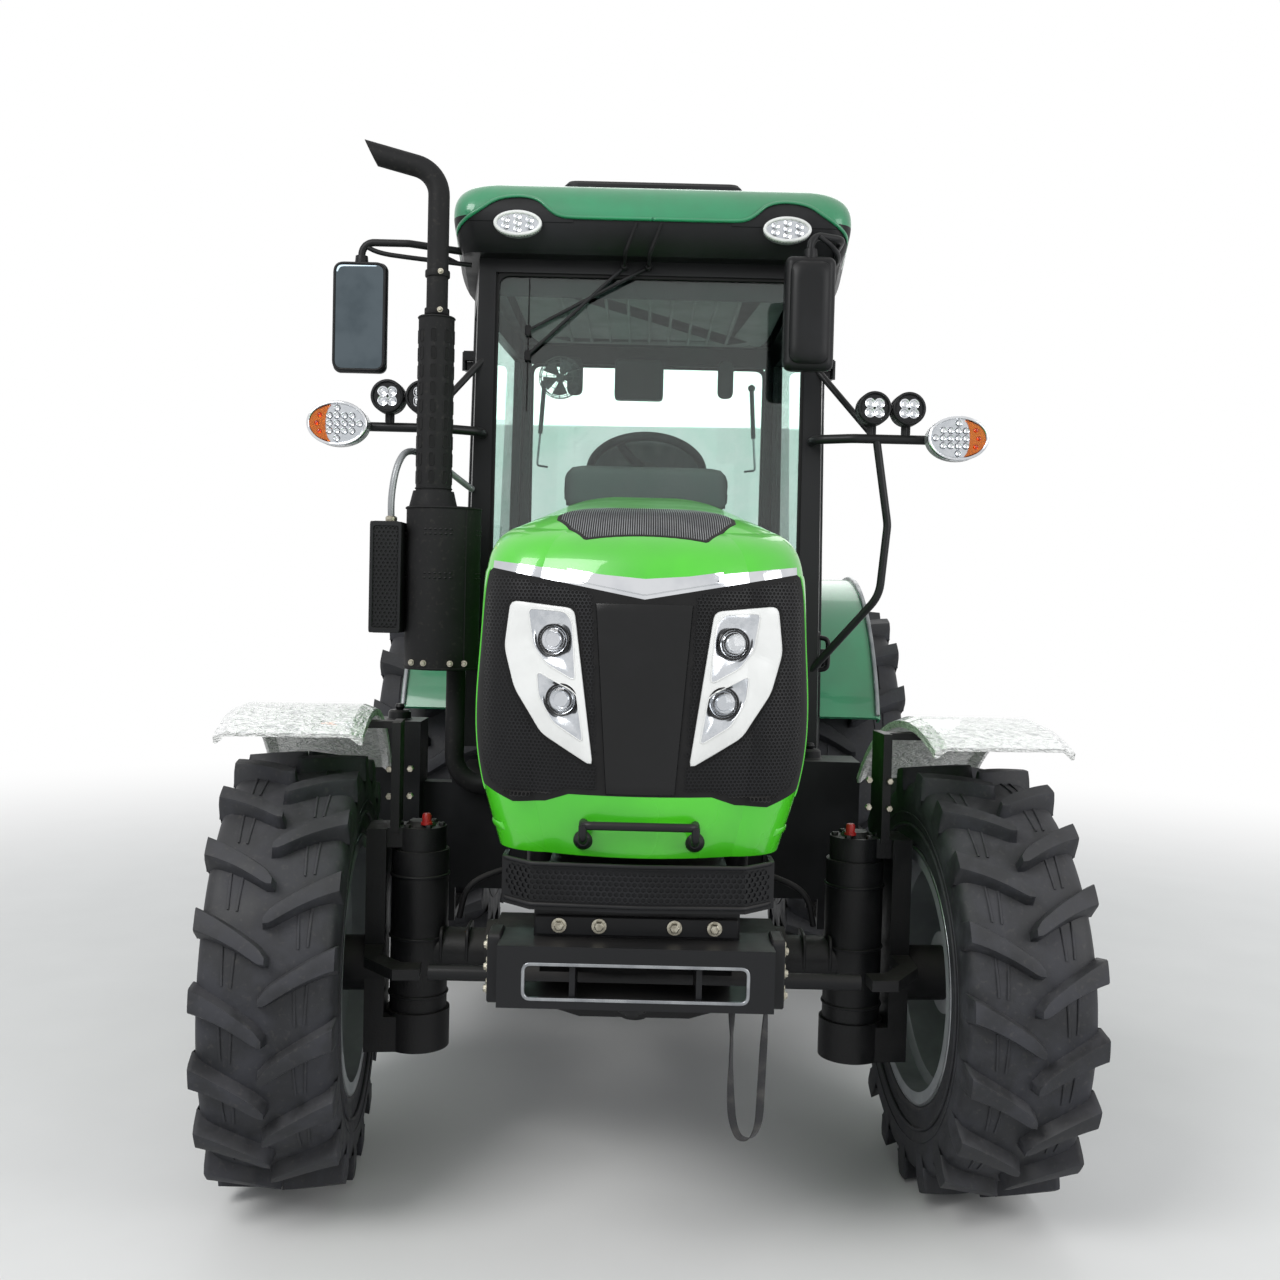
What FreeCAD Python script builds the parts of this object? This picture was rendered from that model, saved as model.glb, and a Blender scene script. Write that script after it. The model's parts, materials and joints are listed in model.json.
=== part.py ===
# Farm tractor with a cab and driven front axle. Millimetres. The tractor faces -Y and +Z is up.
# The origin is on the ground, midway between the front carrier's face and the ends of the lower links.
# "left" and "right" are the driver's, so left is +X.
import FreeCAD
import Part
import math
import os
import re
import Sketcher
from FreeCAD import Placement, Rotation, Vector

doc = FreeCAD.newDocument("tractor")

# Driving dimensions
SIZES = [
    # alias, value in mm (degrees where it ends in _deg), meaning
    ("front_overhang", 700, "front axle to the carrier's face"),
    ("wheelbase", 2300, "front axle to rear axle"),
    ("rear_overhang", 1100, "rear axle to the lower links' ends"),
    ("front_tyre_r", 545, "front tyre to its lug tips"),
    ("front_tyre_w", 315, "front tyre section"),
    ("front_track", 1730, "between front tread centres"),
    ("front_rim_r", 305, "front bead seat"),
    ("front_rim_w", 290, "front rim over its flanges"),
    ("rear_tyre_r", 738, "rear tyre to its lug tips"),
    ("rear_tyre_w", 430, "rear tyre section"),
    ("rear_track", 1640, "between rear tread centres"),
    ("rear_rim_r", 381, "rear bead seat"),
    ("rear_rim_w", 400, "rear rim over its flanges"),
    ("flange_rise", 25, "rim flange above the bead seat"),
    ("rim_wall", 8, "rim and disc plate"),
    ("lug_rise", 30, "lug above the carcass"),
    ("steer_rest_deg", 5, "the wheels as parked, towards the driver's left"),
    ("kingpin_x", 565, "kingpin from the middle"),
    ("kingpin_r", 36, "kingpin"),
    ("kingpin_top", 905, "top of the upper knuckle cap"),
    ("kingpin_foot", 330, "underside of the lower knuckle housing"),
    ("sleeve_r", 74, "axle end sleeve"),
    ("beam_z", 580, "axle beam centre"),
    ("beam_r", 58, "axle beam tube"),
    ("steer_arm", 260, "kingpin to the steering rod eye, ahead of it"),
    ("cylinder_z", 596, "steering cylinder"),
    ("cylinder_r", 40, "steering cylinder"),
    ("cylinder_x", 330, "steering cylinder's end from the middle"),
    ("cylinder_rod_r", 19, "steering cylinder's rod"),
    ("cylinder_rod_x", 520, "half of the rod"),
    ("cylinder_shift", 22.7, "the rod as parked, towards the driver's left"),
    ("run_gap", 0.3, "running clearance"),
    ("carrier_w", 576, "front carrier"),
    ("carrier_depth", 150, "front carrier, front to back"),
    ("carrier_z", 656, "underside of the front carrier"),
    ("carrier_rise", 130, "front carrier height"),
    ("carrier_plate", 12, "front carrier plates"),
    ("slot_w", 466, "slot in the carrier's face"),
    ("slot_rise", 72, "slot in the carrier's face"),
    ("frame_w", 420, "front frame over its side plates"),
    ("frame_plate", 30, "front frame side plates"),
    ("frame_z", 690, "underside of the front frame"),
    ("frame_rise", 190, "front frame height"),
    ("lug_count", 19, "lugs on each side of a tyre"),
    ("front_lug_depth", 36, "front tyre's lugs"),
    ("rear_lug_depth", 46, "rear tyre's lugs"),
    ("strap_w", 18, "webbing strap"),
    ("engine_w", 460, "engine block"),
    ("engine_length", 751, "engine block"),
    ("engine_z", 620, "engine block underside"),
    ("engine_rise", 640, "engine block height"),
    ("gearbox_w", 380, "clutch and gearbox housing"),
    ("trumpet_r", 100, "rear axle trumpet"),
    ("trumpet_x", 640, "rear axle trumpet's end from the middle"),
    ("hood_low", 965, "bonnet's lower edge"),
    ("hood_wall", 8, "bonnet shell"),
    ("hood_rear_y", -450, "bonnet's rear edge"),
    ("hood_front_y", -2020, "bonnet's foremost point"),
    ("hood_bulge", 45, "bow of the bonnet's front in plan"),
    ("hood_hinge_z", 1752, "bonnet hinge axis"),
    ("cab_front_y", -420, "cab front at the sill"),
    ("cab_door_y", 190, "widest line of the cab"),
    ("cab_rear_y", 1230, "cab rear at the sill"),
    ("cab_front_x", 585, "half width at the front"),
    ("cab_door_x", 680, "half width at the door's rear"),
    ("cab_rear_x", 620, "half width at the rear"),
    ("cab_z", 1000, "cab sill"),
    ("cab_top", 2620, "top of the cab walls"),
    ("cab_wall", 45, "cab wall and door"),
    ("side_lean", 25, "inward lean of each side"),
    ("front_lean", 70, "rearward lean of the front"),
    ("rear_lean", 30, "forward lean of the rear"),
    ("floor_plate", 30, "cab floor"),
    ("glass_in", 18, "glass behind the outer face"),
    ("glass_wall", 6, "glass"),
    ("door_gap", 6, "gap round a door"),
    ("hinge_x", 684, "door hinge axis"),
    ("hinge_y", 152, "door hinge axis"),
    ("door_rail", 42, "door frame beside its glass"),
    ("roof_split", 2726, "joint between the roof cap and its band"),
    ("roof_top", 2855, "crown of the roof"),
    ("hatch_w", 620, "roof hatch"),
    ("hatch_length", 480, "roof hatch"),
    ("hatch_wall", 34, "roof hatch"),
    ("hatch_hinge_out", 14, "roof hatch's hinge axis behind its rear edge"),
    ("hatch_hinge_rise", 14, "roof hatch's hinge axis above the roof"),
    ("fender_gap", 100, "rear tyre to fender"),
    ("fender_wall", 22, "rear fender"),
    ("fender_in_x", 575, "rear fender's inner wall"),
    ("fender_out_x", 905, "rear fender's outer edge"),
    ("guard_gap", 115, "front tyre to its mudguard"),
    ("guard_wall", 10, "front mudguard"),
    ("guard_w", 350, "front mudguard"),
    ("exhaust_x", -626, "exhaust drum's middle"),
    ("exhaust_y", -660, "exhaust line"),
    ("stack_out", 34, "the pipe's line outside the drum's"),
    ("drum_r", 115, "exhaust drum"),
    ("drum_z", 1270, "exhaust drum's foot"),
    ("drum_rise", 500, "exhaust drum"),
    ("shield_r", 55, "perforated shield"),
    ("shield_top", 2356, "perforated shield's top"),
    ("pipe_r", 33, "exhaust pipe"),
    ("pipe_top", 2799, "exhaust pipe's bend"),
    ("bar_z", 2035, "lamp bar"),
    ("bar_r", 15, "lamp bar and grab rail tube"),
    ("bar_y", -500, "lamp bar"),
    ("lamp_x", 985, "turn lamp centre from the middle"),
    ("link_pivot_x", 300, "lower link's front eye from the middle"),
    ("link_pivot_y", 1100, "lower link's front eye"),
    ("link_pivot_z", 560, "lower link's front eye"),
    ("link_end_x", 410, "lower link's rear eye from the middle"),
    ("link_end_z", 500, "lower link's rear eye"),
    ("link_eye_r", 34, "outside of a lower link's eye"),
    ("link_hole_r", 14.35, "hole of a lower link's rear eye, category 2"),
    ("arm_pivot_y", 1135, "lift shaft"),
    ("arm_pivot_z", 880, "lift shaft"),
    ("arm_length", 340, "lift arm, eye to eye"),
    ("lift_x", 262, "lift arm from the middle"),
    ("top_link_z", 790, "top link's front pin"),
    ("draw_hole_r", 16, "drawbar pin hole"),
    ("pto_r", 17.5, "power take-off shaft"),
]

# Places worked out from the driving dimensions
PLACES = {
    "overall_length": "(front_overhang+wheelbase+rear_overhang)",
    "front_end": "(-overall_length/2)",
    "rear_end": "(overall_length/2)",
    "front_axle_y": "(front_end+front_overhang)",
    "rear_axle_y": "(front_axle_y+wheelbase)",
    "front_wheel_x": "(front_track/2)",
    "rear_wheel_x": "(rear_track/2)",
    "fender_r": "(rear_tyre_r+fender_gap+fender_wall)",
    "carrier_back": "(front_end+carrier_depth)",
    "engine_front": "(front_axle_y+150)",
    "engine_back": "(engine_front+engine_length)",
}

sheet = doc.addObject("Spreadsheet::Sheet", "Sizes")
for row, (alias, value, meaning) in enumerate(SIZES, 1):
    sheet.set(f"A{row}", alias)
    sheet.set(f"B{row}", str(value))
    sheet.set(f"C{row}", meaning)
    sheet.setAlias(f"B{row}", alias)
doc.recompute()

WORD = re.compile(r"[a-z][a-z_]{3,}")


def spell(text):
    """Writes out the named places in an expression until only driving dimensions are left."""
    while any(word in PLACES for word in WORD.findall(text)):
        text = WORD.sub(lambda m: PLACES.get(m.group(0), m.group(0)), text)
    return text


def ex(text):
    """The expression that a property is bound to."""
    return WORD.sub(lambda m: "Sizes." + m.group(0), spell(str(text)))


def num(text):
    """The expression's value now."""
    cells = WORD.sub(lambda m: repr(float(sheet.get(m.group(0)))), spell(str(text)))
    total = FreeCAD.Units.Quantity(cells.replace("--", "+"))
    return float(total.Value)


def bind(obj, prop, text):
    obj.setExpression(prop, ex(text))


def place(obj, spot):
    for axis, text in zip("xyz", spot):
        bind(obj, f"Placement.Base.{axis}", text)
    return obj


def block(label, size, corner):
    """A box, its sizes and its lowest corner given as expressions."""
    obj = doc.addObject("Part::Box", label)
    for prop, text in zip(("Length", "Width", "Height"), size):
        bind(obj, prop, text)
    return place(obj, corner)


TURNS = {
    "x": Rotation(Vector(0, 1, 0), 90),
    "y": Rotation(Vector(1, 0, 0), -90),
    "z": Rotation(),
}


def round_bar(label, axis, radius, length, start):
    """A cylinder along an axis from its start point."""
    obj = doc.addObject("Part::Cylinder", label)
    bind(obj, "Radius", radius)
    bind(obj, "Height", length)
    obj.Placement = Placement(Vector(), TURNS[axis])
    return place(obj, start)


def taper(label, radius_low, radius_high, length, start):
    """An upright cone."""
    obj = doc.addObject("Part::Cone", label)
    bind(obj, "Radius1", radius_low)
    bind(obj, "Radius2", radius_high)
    bind(obj, "Height", length)
    return place(obj, start)


def fuse(label, *shapes):
    obj = doc.addObject("Part::MultiFuse", label)
    obj.Shapes = list(shapes)
    return obj


def cut(label, base, *tools):
    obj = doc.addObject("Part::Cut", label)
    obj.Base = base
    obj.Tool = tools[0] if len(tools) == 1 else fuse(label + "_tools", *tools)
    return obj


def common(label, first, second):
    obj = doc.addObject("Part::Common", label)
    obj.Base = first
    obj.Tool = second
    return obj


def group(label, *shapes):
    obj = doc.addObject("Part::Compound", label)
    obj.Links = list(shapes)
    return obj


def mirrored(label, source):
    obj = doc.addObject("Part::Mirroring", label)
    obj.Source = source
    obj.Normal = Vector(1, 0, 0)
    return obj


def both_sides(label, source):
    return group(label, source, mirrored(label + "_other", source))


def solid(label, shape):
    """A piece made by Part's own functions."""
    obj = doc.addObject("Part::Feature", label)
    obj.Shape = shape
    return obj


def outline_sketch(body, name, plane, outline):
    """A closed outline whose every corner is held by two dimensions bound to the sheet."""
    sketch = body.newObject("Sketcher::SketchObject", name)
    planes = [f for f in body.Origin.OriginFeatures if f.Role == plane]
    sketch.AttachmentSupport = [(planes[0], "")]
    sketch.MapMode = "FlatFace"
    corners = [Vector(num(a), num(b), 0) for a, b in outline]
    count = len(corners)
    for i in range(count):
        sketch.addGeometry(Part.LineSegment(corners[i], corners[(i + 1) % count]), False)
    for i in range(count):
        sketch.addConstraint(Sketcher.Constraint("Coincident", i, 2, (i + 1) % count, 1))
    for i, (corner, texts) in enumerate(zip(corners, outline)):
        for kind, value, text in zip(("DistanceX", "DistanceY"), corner, texts):
            held = sketch.addConstraint(Sketcher.Constraint(kind, -1, 1, i, 1, value))
            if WORD.search(str(text)):
                sketch.setExpression(f"Constraints[{held}]", ex(text))
    return sketch


def plate(label, plane, outline, thickness, spot=(0, 0, 0), windows=()):
    """A flat piece: its outline in a plane, padded to both sides of it, with windows cut through."""
    body = doc.addObject("PartDesign::Body", label)
    pad = body.newObject("PartDesign::Pad", label + "_pad")
    pad.Profile = outline_sketch(body, label + "_outline", plane, outline)
    pad.Midplane = True
    bind(pad, "Length", thickness)
    for k, window in enumerate(windows):
        pocket = body.newObject("PartDesign::Pocket", f"{label}_window_{k}")
        pocket.Profile = outline_sketch(body, f"{label}_window_outline_{k}", plane, window)
        pocket.Type = 1
        pocket.Midplane = True
    return place(body, spot)


def turned(label, outline, spot, plane="XZ_Plane", axis="H_Axis"):
    """A turned piece: half its section, spun about the sketch's own axis."""
    body = doc.addObject("PartDesign::Body", label)
    spin = body.newObject("PartDesign::Revolution", label + "_turn")
    sketch = outline_sketch(body, label + "_section", plane, outline)
    spin.Profile = sketch
    spin.ReferenceAxis = (sketch, [axis])
    spin.Angle = 360
    return place(body, spot)


def bent_path(points, bend=None):
    """Straight runs joined by tangent arcs of one radius, or each as large as its shorter run allows."""
    points = [Vector(*p) for p in points]
    edges, start = [], points[0]
    for before, corner, after in zip(points, points[1:], points[2:]):
        a = (before - corner).normalize()
        b = (after - corner).normalize()
        half = a.getAngle(b) / 2
        if bend:
            radius, reach = bend, bend / math.tan(half)
        else:
            reach = 0.45 * min(before.distanceToPoint(corner), after.distanceToPoint(corner))
            radius = reach * math.tan(half)
            print(f"arc radius {radius:.1f}")
        middle = corner + (a + b).normalize() * (radius / math.sin(half) - radius)
        edges.append(Part.makeLine(start, corner + a * reach))
        edges.append(Part.Arc(corner + a * reach, middle, corner + b * reach).toShape())
        start = corner + b * reach
    edges.append(Part.makeLine(start, points[-1]))
    return Part.Wire(edges)


def tube(points, radius, bend):
    """A round bar swept along a bent path."""
    path = bent_path(points, bend)
    first = path.Edges[0]
    ring = Part.Circle(Vector(*points[0]), first.tangentAt(first.FirstParameter), radius)
    return path.makePipeShell([Part.Wire(ring.toShape())], True, True)


def strut(start, end, radius):
    """A straight round bar between two points."""
    start, end = Vector(*start), Vector(*end)
    return Part.makeCylinder(radius, (end - start).Length, start, end - start)


def prism(points, direction):
    return Part.Face(Part.makePolygon([Vector(*p) for p in points + points[:1]])).extrude(Vector(*direction))


def join(shapes):
    return shapes[0].multiFuse(shapes[1:]) if len(shapes) > 1 else shapes[0]


# Front axle: a cast middle with a tube to each end sleeve, which the kingpin runs in
def beam():
    """The axle casting with its two end sleeves, the steering cylinder and the pin that it rocks on."""
    middle = plate(
        "beam_middle",
        "XZ_Plane",
        [
            ("-360", "-75"),
            ("-140", "-140"),
            ("140", "-140"),
            ("360", "-75"),
            ("360", "80"),
            ("-360", "80"),
        ],
        "170",
        ("0", "front_axle_y", "beam_z"),
    )
    tubes = round_bar(
        "beam_tubes", "x", "beam_r", "2*kingpin_x", ("-kingpin_x", "front_axle_y", "beam_z")
    )
    flange = round_bar("beam_flange", "x", "beam_r+22", "26", ("360", "front_axle_y", "beam_z"))
    sleeve = round_bar(
        "beam_sleeve",
        "z",
        "sleeve_r",
        "kingpin_top-kingpin_foot-160",
        ("kingpin_x", "front_axle_y", "kingpin_foot+100"),
    )
    end = fuse("beam_end", sleeve, flange)
    barrel = round_bar(
        "beam_cylinder",
        "x",
        "cylinder_r",
        "2*cylinder_x",
        ("-cylinder_x", "front_axle_y-steer_arm", "cylinder_z"),
    )
    clamp = block(
        "beam_clamp",
        ("36", "steer_arm-85+10", "60"),
        ("cylinder_x-90", "front_axle_y-steer_arm", "cylinder_z-30"),
    )
    drain = taper("beam_drain", "34", "52", "26", ("0", "front_axle_y", "beam_z-140-24"))
    pin = round_bar("beam_pin", "y", "35", "170+2*61", ("0", "front_axle_y-85-61", "beam_z"))
    whole = fuse(
        "beam_whole",
        middle,
        tubes,
        end,
        mirrored("beam_end_other", end),
        barrel,
        clamp,
        mirrored("beam_clamp_other", clamp),
        drain,
        pin,
    )
    rod_bore = round_bar(
        "beam_rod_bore",
        "x",
        "cylinder_rod_r+run_gap",
        "2*cylinder_x+20",
        ("-cylinder_x-10", "front_axle_y-steer_arm", "cylinder_z"),
    )
    bore = round_bar(
        "beam_bore",
        "z",
        "kingpin_r+run_gap",
        "kingpin_top-kingpin_foot",
        ("kingpin_x", "front_axle_y", "kingpin_foot"),
    )
    return cut("front_axle_beam", whole, bore, mirrored("beam_bore_other", bore), rod_bore)


def knuckle():
    """The driver's left knuckle, straight ahead: caps above and below the sleeve, the web and the spindle."""
    x, y = "kingpin_x", "front_axle_y"
    low = round_bar("knuckle_low", "z", "82", "100-run_gap", (x, y, "kingpin_foot"))
    pin = round_bar("knuckle_pin", "z", "kingpin_r", "kingpin_top-kingpin_foot-20", (x, y, "kingpin_foot+10"))
    cap = round_bar("knuckle_cap", "z", "66", "60-run_gap", (x, y, "kingpin_top-60+run_gap"))
    web = block(
        "knuckle_web",
        ("50", "130", "kingpin_top-kingpin_foot"),
        ("kingpin_x+sleeve_r+8", "front_axle_y-65", "kingpin_foot"),
    )
    low_arm = block("knuckle_low_arm", ("sleeve_r+20", "130", "90"), (x, "front_axle_y-65", "kingpin_foot"))
    cap_arm = block(
        "knuckle_cap_arm", ("sleeve_r+20", "100", "50"), (x, "front_axle_y-50", "kingpin_top-50")
    )
    spindle = round_bar(
        "knuckle_spindle",
        "x",
        "70",
        "front_wheel_x-kingpin_x-sleeve_r-70-run_gap",
        ("kingpin_x+sleeve_r+10", y, "front_tyre_r"),
    )
    arm = plate(
        "knuckle_arm",
        "XY_Plane",
        [
            ("sleeve_r+8", "-60"),
            ("sleeve_r+8", "-150"),
            ("24", "35-steer_arm"),
            ("-24", "35-steer_arm"),
            ("-24", "-30-steer_arm"),
            ("40", "-30-steer_arm"),
            ("sleeve_r+46", "-180"),
            ("sleeve_r+58", "-60"),
        ],
        "26",
        (x, y, "cylinder_z"),
    )
    post = block(
        "knuckle_post",
        ("22", "110", "2*front_tyre_r+guard_gap-kingpin_top-20"),
        ("kingpin_x+52", "front_axle_y-55", "kingpin_top-10"),
    )
    bar = block(
        "knuckle_guard_bar",
        ("300", "40", "18"),
        ("kingpin_x+52", "front_axle_y-20", "2*front_tyre_r+guard_gap-48"),
    )
    pad = block(
        "knuckle_guard_pad",
        ("170", "40", "34-run_gap-0.4"),
        ("kingpin_x+172", "front_axle_y-20", "2*front_tyre_r+guard_gap-34"),
    )
    return fuse("knuckle_source", low, pin, cap, web, low_arm, cap_arm, spindle, arm, post, bar, pad)


def ring_sector(profile, centre_y, centre_z, first_deg, sweep_deg):
    """A section, given as (x, radius), swung about a wheel's axis; angles run rearwards from straight up."""
    start = math.radians(first_deg)
    corners = [
        Vector(x, centre_y + r * math.sin(start), centre_z + r * math.cos(start)) for x, r in profile
    ]
    face = Part.Face(Part.makePolygon(corners + corners[:1]))
    return face.revolve(Vector(0, centre_y, centre_z), Vector(-1, 0, 0), sweep_deg)


def front_guard():
    """The driver's left mudguard, straight ahead, with its bracket."""
    middle, half = num("front_wheel_x"), num("guard_w") / 2
    inner = num("front_tyre_r+guard_gap")
    outer = inner + num("guard_wall")
    profile = [
        (middle - half, inner - 20),
        (middle - half, outer - 12),
        (middle - half + 30, outer),
        (middle + half - 30, outer),
        (middle + half, outer - 12),
        (middle + half, inner - 20),
        (middle + half - 8, inner - 20),
        (middle + half - 30, inner),
        (middle - half + 30, inner),
        (middle - half + 8, inner - 20),
    ]
    return ring_sector(profile, num("front_axle_y"), num("front_tyre_r"), -22, 70)


def steered(label, source, side):
    """A steered piece as parked: mirrored if it is the right one, then turned about its kingpin."""
    if side < 0:
        source = mirrored(label + "_straight", source)
    obj = group(label, source)
    pin = Vector(side * num("kingpin_x"), num("front_axle_y"), 0)
    obj.Placement = Placement(Vector(), Rotation(Vector(0, 0, 1), num("steer_rest_deg")), pin)
    return obj


def wheel(label, x, y, end, hub_r, hub_in, disc_x):
    """Rim, dished disc and hub as one turned piece, its outer side towards +X."""
    half, seat, wall = f"{end}_rim_w/2", f"{end}_rim_r", "rim_wall"
    outline = [
        (f"-{half}", f"{seat}+flange_rise"),
        (f"-{half}+{wall}", f"{seat}+flange_rise"),
        (f"-{half}+{wall}", seat),
        (f"-{half}+60", seat),
        (f"-{half}+72", f"{seat}-22"),
        (f"{half}-72", f"{seat}-22"),
        (f"{half}-60", seat),
        (f"{half}-{wall}", seat),
        (f"{half}-{wall}", f"{seat}+flange_rise"),
        (half, f"{seat}+flange_rise"),
        (half, f"{seat}-{wall}"),
        (f"{half}-56", f"{seat}-{wall}"),
        (f"{half}-68", f"{seat}-22-{wall}"),
        (f"{disc_x}+{wall}", f"{seat}-22-{wall}"),
        (f"{disc_x}-20+{wall}", f"{seat}-90"),
        (f"{disc_x}+30", f"{hub_r}+30"),
        (f"{disc_x}+30", f"{hub_r}*0.75"),
        (f"{disc_x}+60", f"{hub_r}*0.55"),
        (f"{disc_x}+60", "0"),
        (hub_in, "0"),
        (hub_in, hub_r),
        (f"{disc_x}+16", hub_r),
        (f"{disc_x}+16", f"{hub_r}+34"),
        (f"{disc_x}-20-{wall}", f"{seat}-90"),
        (f"{disc_x}-{wall}", f"{seat}-22-{wall}"),
        (f"-{half}+68", f"{seat}-22-{wall}"),
        (f"-{half}+56", f"{seat}-{wall}"),
        (f"-{half}", f"{seat}-{wall}"),
    ]
    return turned(label, outline, (x, y, f"{end}_tyre_r"))


LUG_PLAN = [
    # share of the half width from the middle, place round the tyre and half the lug's width as shares of it
    (-0.03, -0.30, 0.11),
    (0.50, 0.06, 0.13),
    (0.985, 0.30, 0.16),
]
LUG_FALL = 0.07
LUG_SINK = 16
LUG_SLOPE = 0.25


def flat_faced(rows):
    """A solid with flat faces, each given by its corners."""
    shell = Part.makeShell([Part.Face(Part.makePolygon(row + row[:1])) for row in rows])
    shell.sewShape()
    body = Part.makeSolid(shell)
    if body.Volume < 0:
        body.reverse()
    return body


def faceted_ring(section, sides):
    """A ring of flat facets round the X axis, from its closed (x, radius) section."""
    rows = []
    for (x0, r0), (x1, r1) in zip(section, section[1:] + section[:1]):
        for k in range(sides):
            ends = [2 * math.pi * step / sides for step in (k, k + 1)]
            spots = [(x0, r0, ends[0]), (x1, r1, ends[0]), (x1, r1, ends[1]), (x0, r0, ends[1])]
            rows.append([Vector(x, r * math.cos(turn), r * math.sin(turn)) for x, r, turn in spots])
    return flat_faced(rows)


def lug(side, turn, half, crown, depth):
    """One tread lug: a bent six-sided plan that stands on the carcass and falls towards the shoulder."""
    out = Vector(0, math.cos(turn), math.sin(turn))
    along = Vector(0, math.sin(turn), -math.cos(turn))

    def corner(row, edge, is_top):
        share, place_share, width_share = LUG_PLAN[row]
        height = crown - LUG_FALL * half * share
        if not is_top:
            height = crown - depth - LUG_SINK - LUG_SLOPE * half * share
        offset = (place_share + edge * width_share) * half
        return Vector(side * share * half, 0, 0) + out * height + along * offset

    round_plan = [(0, -1), (1, -1), (2, -1), (2, 1), (1, 1), (0, 1)]
    top = [corner(row, edge, True) for row, edge in round_plan]
    foot = [corner(row, edge, False) for row, edge in round_plan]
    rows = [top, foot[::-1]]
    for k in range(len(top)):
        after = (k + 1) % len(top)
        rows.append([foot[k], foot[after], top[after], top[k]])
    return flat_faced(rows)


def tyre(label, x, y, end):
    """A flat-faceted carcass with a row of lugs on each side, the second row half a step round."""
    half, seat, tip, depth = (num(f"{end}_{name}") for name in ("tyre_w/2", "rim_r", "tyre_r", "lug_depth"))
    count = int(num("lug_count"))
    bead = num(f"{end}_rim_w/2-rim_wall-run_gap")
    bore = (seat + num("run_gap")) / math.cos(math.pi / (2 * count))
    right = [
        (bead, seat + num("flange_rise") + 6),
        (half, (seat + tip) / 2),
        (half - 8, tip - depth - 0.12 * half),
    ]
    left = [(-a, r) for a, r in right]
    section = [(-bead, bore)] + left + [(0, tip - depth)] + right[::-1] + [(bead, bore)]
    nose = (LUG_PLAN[0][1] - LUG_PLAN[0][2]) * half
    crown = math.sqrt(tip * tip - nose * nose)
    lowest = -math.pi / 2 - math.atan2(-nose, crown)
    lugs = []
    for side, shift in ((1, 0), (-1, 0.5)):
        for k in range(count):
            lugs.append(lug(side, lowest + 2 * math.pi * (k + shift) / count, half, crown, depth))
    whole = faceted_ring(section, 2 * count).multiFuse(lugs)
    whole.translate(Vector(num(x), num(y), tip))
    return solid(label, whole)


# Front carrier: a plate box with a slot in its face and open at the back
def carrier():
    low = ("-carrier_w/2", "front_end", "carrier_z")
    box = block("carrier_box", ("carrier_w", "carrier_depth", "carrier_rise"), low)
    hollow = block(
        "carrier_hollow",
        ("carrier_w-2*carrier_plate", "carrier_depth", "carrier_rise-2*carrier_plate"),
        ("-carrier_w/2+carrier_plate", "front_end+carrier_plate", "carrier_z+carrier_plate"),
    )
    slot = block(
        "carrier_slot",
        ("slot_w", "3*carrier_plate", "slot_rise"),
        ("-slot_w/2", "front_end-carrier_plate", "carrier_z+20"),
    )
    shell = cut("carrier_shell", box, hollow, slot)
    rib = block(
        "carrier_rib",
        ("carrier_plate", "carrier_depth-carrier_plate", "carrier_rise-carrier_plate"),
        ("126", "front_end+carrier_plate", "carrier_z+carrier_plate/2"),
    )
    return fuse("front_carrier", shell, rib, mirrored("carrier_rib_other", rib))


def front_frame():
    side = block(
        "frame_side",
        ("frame_plate", "engine_front-carrier_back", "frame_rise"),
        ("frame_w/2-frame_plate", "carrier_back", "frame_z"),
    )
    face = block(
        "frame_face", ("frame_w", "20", "frame_rise+10"), ("-frame_w/2", "carrier_back", "frame_z")
    )
    deck = block(
        "frame_deck",
        ("frame_w", "engine_front-carrier_back", "20"),
        ("-frame_w/2", "carrier_back", "frame_z+frame_rise-20"),
    )
    pedestals = []
    for name, y in (("front", "front_axle_y-85-1-60"), ("rear", "front_axle_y+85+1")):
        pedestals.append(
            block(
                f"pivot_{name}",
                ("frame_w", "60", "frame_z-beam_z+70"),
                ("-frame_w/2", y, "beam_z-50"),
            )
        )
    nose = block(
        "frame_nose",
        ("frame_w+18", "66", "frame_z+frame_rise+10-carrier_z-carrier_rise"),
        ("-frame_w/2-9", "carrier_back-65", "carrier_z+carrier_rise"),
    )
    whole = fuse("frame_whole", side, mirrored("frame_side_other", side), face, deck, nose, *pedestals)
    room = round_bar("pivot_room", "y", "35+run_gap", "170+2*70", ("0", "front_axle_y-85-70", "beam_z"))
    return cut("front_frame", whole, room)


def nose_skirt():
    """The mesh panel under the bonnet, wrapped round the frame's nose and standing on it."""
    top = "(hood_low-10)"
    low = "(frame_z+frame_rise-24)"
    outline = [
        ("-290", "carrier_back+10"),
        ("-290", "front_end+90"),
        ("-225", "front_end+28"),
        ("0", "front_end+16"),
        ("225", "front_end+28"),
        ("290", "front_end+90"),
        ("290", "carrier_back+10"),
    ]
    inner = [
        ("-280", "carrier_back+20"),
        ("-280", "front_end+94"),
        ("-221", "front_end+38"),
        ("0", "front_end+26"),
        ("221", "front_end+38"),
        ("280", "front_end+94"),
        ("280", "carrier_back+20"),
    ]
    rise = f"{top}-{low}"
    wall = plate("skirt_wall", "XY_Plane", outline, rise, ("0", "0", f"({top}+{low})/2"), [inner])
    floor = plate("skirt_floor", "XY_Plane", outline, "6", ("0", "0", "frame_z+frame_rise+10+3"))
    return fuse("nose_skirt", wall, floor)


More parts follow.
